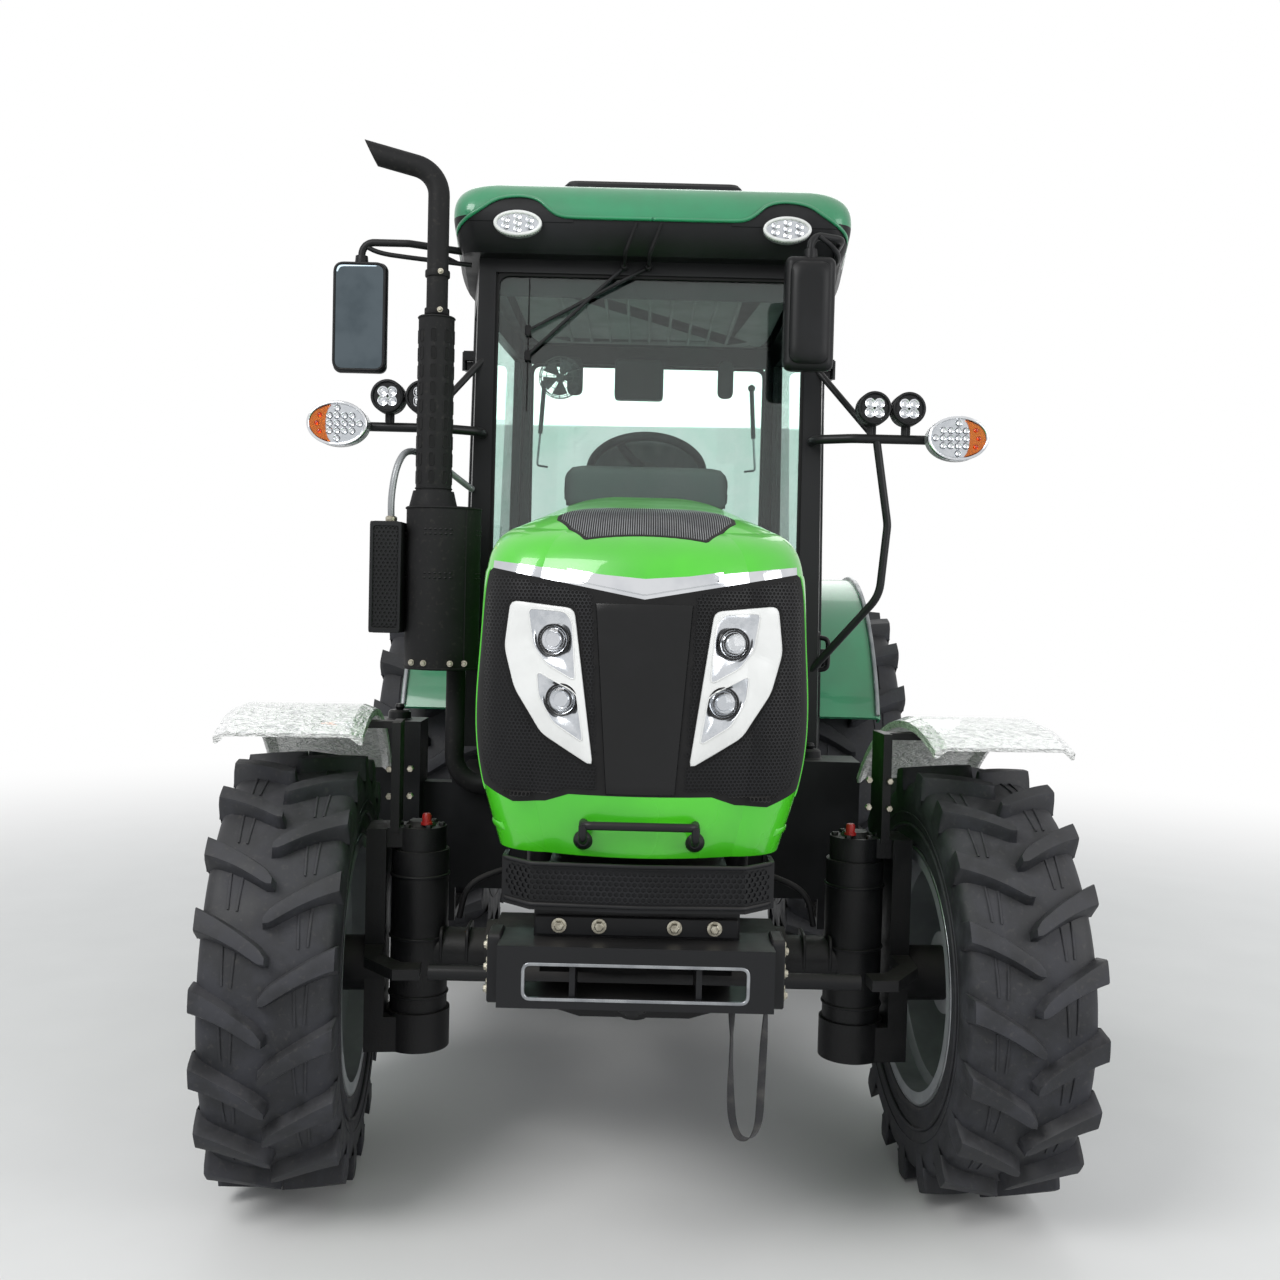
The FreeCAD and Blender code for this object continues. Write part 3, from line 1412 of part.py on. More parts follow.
knuckle_source = knuckle()
guard_source = solid("guard_source", front_guard())
front_wheel = wheel("front_wheel_source", "front_wheel_x", "front_axle_y", "front", "105", "-60", "40")
front_tyre = tyre("front_tyre_source", "front_wheel_x", "front_axle_y", "front")
rear_wheel = wheel(
    "rear_wheel_left", "rear_wheel_x", "rear_axle_y", "rear", "120", "-(rear_wheel_x-trumpet_x-run_gap)", "-40"
)
rear_tyre = tyre("rear_tyre_left", "rear_wheel_x", "rear_axle_y", "rear")

hood_body, hood_nose, hood_strip = hood()
(cab_frame, cab_rear), door, door_glass, panes = cab()
roof_cap, roof_band, roof_whole, hatch_lid = roof()
hood_outside = hood_skin(-0.3, 0, num("hood_rear_y"))
fender = solid("fender_source", rear_fender())

PARTS = [
    engine,
    gearbox,
    front_frame(),
    beam(),
    carrier(),
    nose_skirt(),
    steering_rod,
    solid("hood_shell", hood_body),
    solid("hood_grille", hood_nose),
    solid("hood_trim", hood_strip),
    solid("headlamps", headlamps()),
    solid("hood_handle", hood_handle()),
    solid("cab_frame", cab_frame),
    solid("cab_rear", cab_rear),
    solid("door_left", door),
    solid("door_glass_left", door_glass),
    solid("door_right", mirror_x(door)),
    solid("door_glass_right", mirror_x(door_glass)),
    solid("cab_glass", Part.makeCompound(panes)),
    solid("cab_roof", roof_cap),
    solid("roof_band", roof_band),
    solid("roof_hatch", hatch_lid),
    solid("roof_lamps", roof_lamps(roof_whole)),
    solid("mirrors", mirrors(roof_whole)),
    solid("lamp_bars", Part.makeCompound([lamp_bar(1), lamp_bar(-1)])),
    solid("side_lamps", side_lamps()),
    solid("rear_lamps", rear_lamps()),
    solid("wiper", wiper()),
    seat(),
    console(),
    side_tanks(),
    solid("lower_links", lower_links()),
    solid("lift_arms", lift_arms()),
    solid("lift_rods", lift_rods()),
    solid("top_link", top_link()),
    solid("drawbar", drawbar()),
    solid("strap", strap()),
    solid("bulkhead", bulkhead()),
    both_sides("rear_fenders", fender),
    exhaust(),
    steered("knuckle_left", knuckle_source, 1),
    steered("knuckle_right", knuckle_source, -1),
    steered("mudguard_left", guard_source, 1),
    steered("mudguard_right", guard_source, -1),
    steered("front_wheel_left", front_wheel, 1),
    steered("front_wheel_right", front_wheel, -1),
    steered("front_tyre_left", front_tyre, 1),
    steered("front_tyre_right", front_tyre, -1),
    rear_wheel,
    mirrored("rear_wheel_right", rear_wheel),
    rear_tyre,
    mirrored("rear_tyre_right", rear_tyre),
]

doc.recompute()
bad = [obj.Label for obj in doc.Objects if {"Invalid", "Error"} & set(obj.State)]
if bad:
    raise RuntimeError(f"these objects failed: {bad}")
os.makedirs("parts", exist_ok=True)
for part in PARTS:
    shape = part.Shape
    if shape.isNull() or not shape.isValid() or not shape.Solids:
        raise RuntimeError(f"{part.Label} has no valid shape")
for part in PARTS:
    part.Shape.exportStep(f"parts/{part.Label}.step")
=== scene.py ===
"""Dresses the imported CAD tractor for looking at: tyres with lugs, mesh and lamps, cab fittings and finishes.

It is laid out as a Blender add-on and is run as a script. All sizes are in metres, in the CAD frame:
X to the tractor's left, Y to its rear, Z up, with the tyres standing on Z = 0.
"""

import json
import math

import bmesh
import bpy
import numpy as np
from mathutils import Matrix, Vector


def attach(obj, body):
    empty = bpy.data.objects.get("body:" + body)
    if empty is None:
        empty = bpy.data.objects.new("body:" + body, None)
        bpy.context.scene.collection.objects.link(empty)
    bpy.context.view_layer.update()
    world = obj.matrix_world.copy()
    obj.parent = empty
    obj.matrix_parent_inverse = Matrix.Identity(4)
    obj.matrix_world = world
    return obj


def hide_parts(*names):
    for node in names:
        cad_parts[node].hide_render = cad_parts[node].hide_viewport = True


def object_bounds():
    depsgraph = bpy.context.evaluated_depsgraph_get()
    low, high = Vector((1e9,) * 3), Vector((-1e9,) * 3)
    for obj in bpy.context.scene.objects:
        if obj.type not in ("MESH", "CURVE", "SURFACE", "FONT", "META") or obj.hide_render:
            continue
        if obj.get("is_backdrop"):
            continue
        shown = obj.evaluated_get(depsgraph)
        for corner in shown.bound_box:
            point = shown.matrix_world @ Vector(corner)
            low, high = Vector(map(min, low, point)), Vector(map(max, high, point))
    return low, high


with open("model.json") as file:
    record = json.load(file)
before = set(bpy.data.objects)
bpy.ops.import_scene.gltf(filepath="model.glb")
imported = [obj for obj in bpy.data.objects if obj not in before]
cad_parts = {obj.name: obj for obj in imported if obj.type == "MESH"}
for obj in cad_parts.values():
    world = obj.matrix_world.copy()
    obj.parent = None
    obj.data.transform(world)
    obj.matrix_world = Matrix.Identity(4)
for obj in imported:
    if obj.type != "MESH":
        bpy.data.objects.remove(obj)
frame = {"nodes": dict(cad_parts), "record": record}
CAD_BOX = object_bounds()

bl_info = {
    "name": "Farm Tractor Dresser",
    "version": (1, 0, 0),
    "blender": (4, 5, 0),
    "location": "View3D > Sidebar > Tractor",
    "description": "Builds the visible pieces and finishes of a farm tractor round its CAD frame",
    "category": "Add Mesh",
}


# Shapes


def grid(points, wrap_rows=False, wrap_columns=False, caps=False):
    """Quads between neighbouring points of an array of rows by columns by 3.
    caps closes the first and the last row with one face each."""
    rows, columns = points.shape[:2]
    r, c = np.meshgrid(
        np.arange(rows if wrap_rows else rows - 1),
        np.arange(columns if wrap_columns else columns - 1),
        indexing="ij",
    )
    down, right = (r + 1) % rows, (c + 1) % columns
    corners = (r * columns + c, r * columns + right, down * columns + right, down * columns + c)
    faces = [np.stack(corners, -1).reshape(-1, 4)]
    if caps:
        ring = np.arange(columns)[None]
        faces += [ring[:, ::-1], ring + (rows - 1) * columns]
    return points.reshape(-1, 3), faces


def raised(line, height):
    """A flat line of (x, y) points at one height."""
    return np.c_[line, np.full(len(line), height)]


def joined(*parts):
    """Several shapes as one list of points and faces."""
    starts = np.cumsum([0] + [len(points) for points, _ in parts])
    faces = [face + start for (_, group), start in zip(parts, starts) for face in group]
    return np.concatenate([points for points, _ in parts]), faces


def copies(part, shifts, turns=None):
    """The shape once for each shift, each turned by its own 3 by 3 matrix: turn times point plus shift."""
    points, faces = part
    shifts = np.asarray(shifts, float)
    turns = np.broadcast_to(np.eye(3) if turns is None else turns, (len(shifts), 3, 3))
    moved = np.einsum("nij,pj->npi", turns, points) + shifts[:, None]
    steps = np.arange(len(shifts))[:, None, None] * len(points)
    return moved.reshape(-1, 3), [(face[None] + steps).reshape(-1, face.shape[1]) for face in faces]


def placed(part, origin, across=(1, 0, 0), up=(0, 0, 1)):
    """The shape's own x along across, its y along up, its z along their cross product, from origin."""
    x = np.array(across, float)
    x /= np.linalg.norm(x)
    z = np.cross(x, np.array(up, float))
    z /= np.linalg.norm(z)
    return copies(part, [origin], np.stack([x, np.cross(z, x), z], 1))


def turns_about(axis, angles):
    """For each angle the 3 by 3 matrix of a turn about one axis, from its cosine and sine."""
    angles = np.atleast_1d(angles)
    first, second = (axis + 1) % 3, (axis + 2) % 3
    turns = np.zeros((len(angles), 3, 3))
    turns[:, axis, axis] = 1
    turns[:, first, first] = turns[:, second, second] = np.cos(angles)
    turns[:, first, second], turns[:, second, first] = -np.sin(angles), np.sin(angles)
    return turns


def flipped(part, axis=0):
    """The mirror image of a shape, with one axis reversed and its faces turned back outwards."""
    points, faces = part
    return points * np.where(np.arange(3) == axis, -1, 1), [face[:, ::-1] for face in faces]


def mirrored(part):
    """The shape and its mirror image across X = 0."""
    return joined(part, flipped(part))


def circle(radius, count, start=0.0):
    """Points of a circle, counterclockwise: radius times cosine and sine of equal steps."""
    angle = start + np.arange(count) * 2 * math.pi / count
    return radius * np.stack([np.cos(angle), np.sin(angle)], 1)


def rounded(corners, radius, steps=5, closed=True):
    """A line with each corner rounded: the quadratic Bezier curve from radius before the corner,
    or half way to the next one, to radius after it."""
    p = np.asarray(corners, float)
    back, ahead = np.roll(p, 1, 0) - p, np.roll(p, -1, 0) - p
    reach = np.broadcast_to(np.asarray(radius, float).reshape(-1, 1), (len(p), 1))

    def toward(way):
        length = np.linalg.norm(way, axis=1, keepdims=True)
        return p + way / length * np.minimum(reach, length * 0.499)

    t = np.linspace(0, 1, steps)[None, :, None]
    curve = (1 - t) ** 2 * toward(back)[:, None] + 2 * t * (1 - t) * p[:, None]
    curve = curve + t**2 * toward(ahead)[:, None]
    if closed:
        return curve.reshape(-1, p.shape[1])
    return np.concatenate([p[:1], curve[1:-1].reshape(-1, p.shape[1]), p[-1:]])


def box_outline(width, height, radius, steps=5, middle=(0, 0)):
    """A rectangle with rounded corners, counterclockwise."""
    w, h = width / 2, height / 2
    return rounded([(-w, -h), (w, -h), (w, h), (-w, h)], radius, steps) + np.array(middle)


def inset(outline, distance):
    """A counterclockwise outline moved inwards: each point along the mitre of its two edges."""
    step = np.roll(outline, -1, 0) - outline
    normal = np.stack([-step[:, 1], step[:, 0]], 1)
    normal /= np.maximum(np.linalg.norm(normal, axis=1, keepdims=True), 1e-9)
    before = np.roll(normal, 1, 0)
    mitre = (before + normal) / np.maximum(1 + (before * normal).sum(1, keepdims=True), 0.35)
    return outline + mitre * distance


def slab(outline, levels):
    """A plate from an outline: one ring for each (inset, height), closed by flat ends."""
    rings = [raised(inset(outline, depth), height) for depth, height in levels]
    return grid(np.stack(rings), wrap_columns=True, caps=True)


def edged(outline, low, high, edge):
    """A plate whose upper and lower edges are rounded off by one bevel."""
    return slab(outline, [(edge, low), (0, low + edge), (0, high - edge), (edge, high)])


def rim(outer, inner, low, high, edge):
    """A flat ring between two outlines of the same count, its front edges bevelled."""
    rings = [(outer, 0, low), (outer, 0, high - edge), (outer, edge, high)]
    rings += [(inner, -edge, high), (inner, 0, high - edge), (inner, 0, low)]
    stack = [raised(inset(line, depth), height) for line, depth, height in rings]
    return grid(np.stack(stack), wrap_rows=True, wrap_columns=True)


def lathe(profile, count, wrap=False):
    """A profile of (radius, height) turned about the shape's own z: radius times cosine and sine."""
    profile = np.asarray(profile, float)
    turn = circle(1, count)
    flat = profile[:, 0, None, None] * turn[None]
    height = np.broadcast_to(profile[:, 1, None, None], flat.shape[:2] + (1,))
    return grid(np.concatenate([flat, height], 2), wrap_rows=wrap, wrap_columns=True)


def swept(path, section, up=(0, 0, 1), scale=None, loop=False):
    """A closed section carried along a path. Its x goes sideways, which is the path's direction
    crossed with up, and its y goes along the cross product of the sideways and the direction."""
    path = np.asarray(path, float)
    if loop:
        way = np.roll(path, -1, 0) - np.roll(path, 1, 0)
    else:
        way = np.gradient(path, axis=0)
    way /= np.linalg.norm(way, axis=1, keepdims=True)
    side = np.cross(way, np.asarray(up, float))
    side /= np.maximum(np.linalg.norm(side, axis=1, keepdims=True), 1e-9)
    top = np.cross(side, way)
    size = np.ones((len(path), 1, 1)) if scale is None else np.asarray(scale, float).reshape(-1, 1, 1)
    points = path[:, None] + size * (
        section[None, :, :1] * side[:, None] + section[None, :, 1:] * top[:, None]
    )
    return grid(points, wrap_rows=loop, wrap_columns=True, caps=not loop)


def tube(corners, radius, bend, count=14, steps=7, up=(0, 0, 1), scale=None):
    """A round bar along straight runs whose corners are rounded."""
    path = rounded(corners, bend, steps, closed=False) if len(corners) > 2 else np.asarray(corners, float)
    return swept(path, circle(radius, count), up, scale)


def pierced(cell, hole, centres, depth):
    """A sheet of cells with a hole each, in the shape's own x and y: a flat ring from the cell's outline
    to the hole's, which has as many points, and the hole's wall going depth inwards."""
    levels = [raised(cell, 0.0), raised(hole, 0.0), raised(hole, -depth)]
    return copies(grid(np.stack(levels), wrap_columns=True), raised(centres, 0.0))


def inside(points, outline):
    """Which points lie inside an outline: an odd number of its edges lie to their right."""
    x, y = points[:, :1], points[:, 1:]
    x0, y0 = outline.T[:, None]
    x1, y1 = np.roll(outline, -1, 0).T[:, None]
    rising = (y0 > y) != (y1 > y)
    span = np.where(y1 == y0, 1, y1 - y0)
    return ((rising & (x < x0 + (y - y0) * (x1 - x0) / span)).sum(1) % 2) == 1


def lattice(outline, pitch, margin=0.0, row=math.sqrt(0.75)):
    """Centres of a honeycomb inside an outline: rows a share of the pitch apart, every second one
    shifted by half a pitch."""
    low, high = outline.min(0), outline.max(0)
    rows = np.arange(math.ceil((high[1] - low[1]) / (pitch * row)) + 1)
    columns = np.arange(math.ceil((high[0] - low[0]) / pitch) + 1)
    r, c = np.meshgrid(rows, columns, indexing="ij")
    points = np.stack([low[0] + (c + (r % 2) / 2) * pitch, low[1] + r * pitch * row], -1).reshape(-1, 2)
    return points[inside(points, inset(outline, margin))]


def honeycomb(outline, pitch, bar, depth, margin=0.0):
    """A mesh of six-sided holes that fills an outline: bar is the width between two holes."""
    cell = circle(pitch / math.sqrt(3), 6, math.pi / 6)
    hole = circle((pitch - bar) / math.sqrt(3), 6, math.pi / 6)
    return pierced(cell, hole, lattice(outline, pitch, margin), depth)


def piece(name, part, body, finish, slot=None, replaces=(), sharp=38, turned_right=False):
    """Puts a shape into an object at the origin that rides on a CAD body, its faces outwards."""
    points, faces = part
    mesh = bpy.data.meshes.new(name)
    mesh.from_pydata(points.tolist(), [], [face for group in faces for face in group.tolist()])
    work = bmesh.new()
    work.from_mesh(mesh)
    bmesh.ops.remove_doubles(work, verts=work.verts, dist=1e-6)
    if not turned_right:
        bmesh.ops.recalc_face_normals(work, faces=work.faces)
    work.to_mesh(mesh)
    work.free()
    mesh.polygons.foreach_set("use_smooth", np.ones(len(mesh.polygons), bool))
    mesh.set_sharp_from_angle(angle=math.radians(sharp))
    mesh.materials.append(bpy.data.materials[finish])
    obj = bpy.data.objects.new(name, mesh)
    bpy.context.scene.collection.objects.link(obj)
    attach(obj, body)
    if replaces:
        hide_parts(*replaces)
    return obj


def pair(name, part, family, finish, **settings):
    """Puts a shape on the left one of two like bodies and its mirror image on the right one."""
    piece(f"{name}_left", part, f"{family}_left", finish, **settings)
    piece(f"{name}_right", flipped(part), f"{family}_right", finish, **settings)


# Finishes


def linear(code):
    """An sRGB hex colour as linear values with an alpha of 1."""
    parts = [int(code[i : i + 2], 16) / 255 for i in (0, 2, 4)]
    return tuple(p / 12.92 if p <= 0.04045 else ((p + 0.055) / 1.055) ** 2.4 for p in parts) + (1.0,)


def connect(material, node, inputs):
    """Gives each of a node's inputs a value or another node's socket."""
    for key, value in inputs.items():
        if isinstance(value, bpy.types.NodeSocket):
            material.node_tree.links.new(value, node.inputs[key])
        else:
            node.inputs[key].default_value = value


def add(material, kind, inputs=(), **settings):
    """Adds a node: settings are its own values, and inputs takes a value or another node's socket
    for each input."""
    node = material.node_tree.nodes.new(kind)
    for name, value in settings.items():
        setattr(node, name, value)
    connect(material, node, dict(inputs))
    return node


def begin(name):
    """A new material with an empty tree, its shader and the object's coordinates."""
    material = bpy.data.materials.new(name)
    material.use_nodes = True
    material.node_tree.nodes.clear()
    output = add(material, "ShaderNodeOutputMaterial")
    shader = add(material, "ShaderNodeBsdfPrincipled")
    connect(material, output, {0: shader.outputs[0]})
    place = add(material, "ShaderNodeTexCoord").outputs["Object"]
    return material, shader, place


def blended(material, factor, first, second):
    """The colour between two colours or sockets at a factor."""
    return add(material, "ShaderNodeMix", {0: factor, 6: first, 7: second}, data_type="RGBA").outputs[2]


def ramp(material, value, low, high, out_low=0.0, out_high=1.0):
    """A value carried from one range to another, held at the ends."""
    settings = {0: value, 1: low, 2: high, 3: out_low, 4: out_high}
    return add(material, "ShaderNodeMapRange", settings, interpolation_type="SMOOTHSTEP").outputs[0]


def surface(
    name,
    colour,
    second,
    roughness,
    spread=0.08,
    patch=0.22,
    grain=0.0015,
    relief=0.00005,
    cells=False,
    metallic=0.0,
    coat=0.0,
    dust=0.0,
    dust_colour="A79F92",
    speckle=0.0,
    specular=0.5,
):
    """A solid finish: two tones in patches, a fine grain in relief, varied roughness, and dust
    that settles on what faces up. patch, grain and relief are real sizes in metres."""
    material, shader, place = begin(name)
    patches = add(
        material, "ShaderNodeTexNoise", {
            "Vector": place, "Scale": 1 / patch, "Detail": 4.0, "Roughness": 0.6
        }
    ).outputs[0]
    kind = "ShaderNodeTexVoronoi" if cells else "ShaderNodeTexNoise"
    fine = add(material, kind, {"Vector": place, "Scale": 1 / grain}).outputs[0]
    tone = blended(material, ramp(material, patches, 0.38, 0.66), colour, linear(second))
    rough = ramp(material, patches, 0.35, 0.7, max(roughness - spread, 0.02), roughness + spread)
    if speckle:
        grit = add(
            material, "ShaderNodeTexNoise", {"Vector": place, "Scale": 1 / 0.012, "Detail": 6.0}
        ).outputs[0]
        tone = blended(material, ramp(material, grit, 0.56, 0.74, 0, speckle), tone, linear(dust_colour))
    if dust:
        facing = add(
            material, "ShaderNodeSeparateXYZ", {0: add(material, "ShaderNodeNewGeometry").outputs["Normal"]}
        )
        settled = add(
            material,
            "ShaderNodeMath",
            {
                0: ramp(material, facing.outputs[2], -0.1, 0.95, 0.12, 1.0),
                1: ramp(material, patches, 0.3, 0.75, 0.35, 1.0),
            },
            operation="MULTIPLY",
        ).outputs[0]
        amount = add(material, "ShaderNodeMath", {0: settled, 1: dust}, operation="MULTIPLY").outputs[0]
        tone = blended(material, amount, tone, linear(dust_colour))
        rough = add(
            material, "ShaderNodeMath", {0: rough, 1: amount}, operation="ADD", use_clamp=True
        ).outputs[0]
    bump = add(material, "ShaderNodeBump", {"Height": fine, "Distance": relief, "Strength": 1.0})
    connect(material, shader, {"Base Color": tone, "Roughness": rough, "Normal": bump.outputs[0]})
    connect(material, shader, {"Metallic": metallic, "Specular IOR Level": specular})
    connect(material, shader, {"Coat Weight": coat, "Coat Roughness": 0.05})


def clear(name, colour, through, roughness=0.01, ior=1.5):
    """Glass or clear plastic, faintly smeared: lamps shine through it, tinted, so that what it
    shuts in is lit."""
    material, shader, place = begin(name)
    film = add(
        material, "ShaderNodeTexNoise", {"Vector": place, "Scale": 1 / 0.16, "Detail": 5.0}
    ).outputs[0]
    rough = ramp(material, film, 0.4, 0.75, roughness, roughness + 0.02)
    tone = blended(material, ramp(material, film, 0.4, 0.7), linear(colour), linear(through))
    connect(material, shader, {"Base Color": tone, "Roughness": rough})
    connect(material, shader, {"IOR": ior, "Transmission Weight": 1.0})
    shadow = add(material, "ShaderNodeLightPath").outputs["Is Shadow Ray"]
    open_way = add(material, "ShaderNodeBsdfTransparent", {0: linear(through)}).outputs[0]
    both = add(material, "ShaderNodeMixShader", {0: shadow, 1: shader.outputs[0], 2: open_way})
    connect(material, material.node_tree.nodes["Material Output"], {0: both.outputs[0]})


def woven(name, warp, weft, thread, relief):
    """Cloth or webbing: two sets of threads at right angles, thread metres apart, by sine waves whose
    product gives the over and under of a plain weave. It reads the piece's own UV map, in metres."""
    material, shader, _ = begin(name)
    place = add(material, "ShaderNodeUVMap").outputs[0]
    waves = []
    for turn in (0, math.pi / 2):
        along = add(material, "ShaderNodeMapping", {"Vector": place, "Rotation": (0, 0, turn)}).outputs[0]
        waves.append(
            add(
                material, "ShaderNodeTexWave", {"Vector": along, "Scale": 0.314 / thread, "Distortion": 0.4}
            ).outputs[1]
        )
    over = add(material, "ShaderNodeMath", {0: waves[0], 1: waves[1]}, operation="MULTIPLY").outputs[0]
    patches = add(
        material, "ShaderNodeTexNoise", {"Vector": place, "Scale": 22.0, "Detail": 5.0}
    ).outputs[0]
    tone = blended(material, over, linear(warp), linear(weft))
    worn = blended(material, ramp(material, patches, 0.45, 0.8, 0, 0.35), tone, linear("6E6A64"))
    bump = add(material, "ShaderNodeBump", {"Height": over, "Distance": relief})
    connect(material, shader, {"Base Color": worn, "Normal": bump.outputs[0]})
    connect(material, shader, {"Roughness": 0.85, "Sheen Weight": 0.2})


# Spacing of a ground metal's hairlines
HAIRLINE = 0.0012


def brushed(name, colour, second, roughness):
    """Metal with a drawn or ground surface: hairlines, which are noise stretched upwards."""
    material, shader, place = begin(name)
    way = add(material, "ShaderNodeMapping", {"Vector": place, "Scale": (1.0, 1.0, 0.04)}).outputs[0]
    lines = add(
        material, "ShaderNodeTexNoise", {"Vector": way, "Scale": 1 / HAIRLINE, "Detail": 3.0}
    ).outputs[0]
    patches = add(
        material, "ShaderNodeTexNoise", {"Vector": place, "Scale": 1 / 0.05, "Detail": 4.0}
    ).outputs[0]
    tone = blended(material, ramp(material, patches, 0.35, 0.7), linear(colour), linear(second))
    rough = ramp(material, lines, 0.3, 0.7, roughness - 0.06, roughness + 0.08)
    bump = add(material, "ShaderNodeBump", {"Height": lines, "Distance": 0.00003})
    connect(
        material,
        shader,
        {"Base Color": tone, "Roughness": rough, "Normal": bump.outputs[0], "Metallic": 1.0},
    )


def crinkled(name, colour):
    """Stretch film wound round a part: sharp creases from stretched cells, with a painted highlight that takes
    the raised crease ridges towards near-white.
    """
    material, shader, place = begin(name)
    way = add(
        material,
        "ShaderNodeMapping",
        {"Vector": place, "Rotation": (0.2, 0.5, 0.3), "Scale": (1.0, 1.0, 3.2)},
    )
    warp = add(
        material, "ShaderNodeTexNoise", {"Vector": way.outputs[0], "Scale": 9.0, "Detail": 3.0}
    ).outputs[1]
    cells = add(material, "ShaderNodeTexVoronoi", {"Vector": warp, "Scale": 14.0}, feature="F2").outputs[0]
    folds = add(
        material, "ShaderNodeTexNoise", {"Vector": way.outputs[0], "Scale": 34.0, "Detail": 6.0}
    ).outputs[0]
    height = add(material, "ShaderNodeMath", {0: cells, 1: folds}, operation="ADD").outputs[0]
    # painted highlight: where the creases rise, the colour goes towards near-white
    tone = blended(material, ramp(material, height, 0.7, 1.2), colour, linear("FBFBF9"))
    bump = add(material, "ShaderNodeBump", {"Height": height, "Distance": 0.012, "Strength": 0.9})
    connect(material, shader, {"Base Color": tone, "Normal": bump.outputs[0]})
    connect(material, shader, {"Roughness": 0.22, "Coat Weight": 0.6})


class TractorFinishes(bpy.types.PropertyGroup):
    """The colours that a user would change."""

    bonnet: bpy.props.FloatVectorProperty(
        name="Bonnet", description="Lime enamel of the bonnet", subtype="COLOR", size=4, default=linear(
            "46C41C"
        )
    )
    roof: bpy.props.FloatVectorProperty(
        name="Roof",
        description="Teal green of the roof and fenders",
        subtype="COLOR",
        size=4,
        default=linear("1F8A5C"),
    )
    chassis: bpy.props.FloatVectorProperty(
        name="Chassis",
        description="Black of the chassis and cab frame",
        subtype="COLOR",
        size=4,
        default=linear("17181A"),
    )
    rims: bpy.props.FloatVectorProperty(
        name="Rims", description="Silver enamel of the wheel rims", subtype="COLOR", size=4, default=linear(
            "9FA3A6"
        )
    )
    rubber: bpy.props.FloatVectorProperty(
        name="Tyres", description="Rubber of the tyres", subtype="COLOR", size=4, default=linear("26272A")
    )
    film: bpy.props.FloatVectorProperty(
        name="Film", description="Stretch film on the mudguards", subtype="COLOR", size=4, default=linear(
            "C9CBCB"
        )
    )


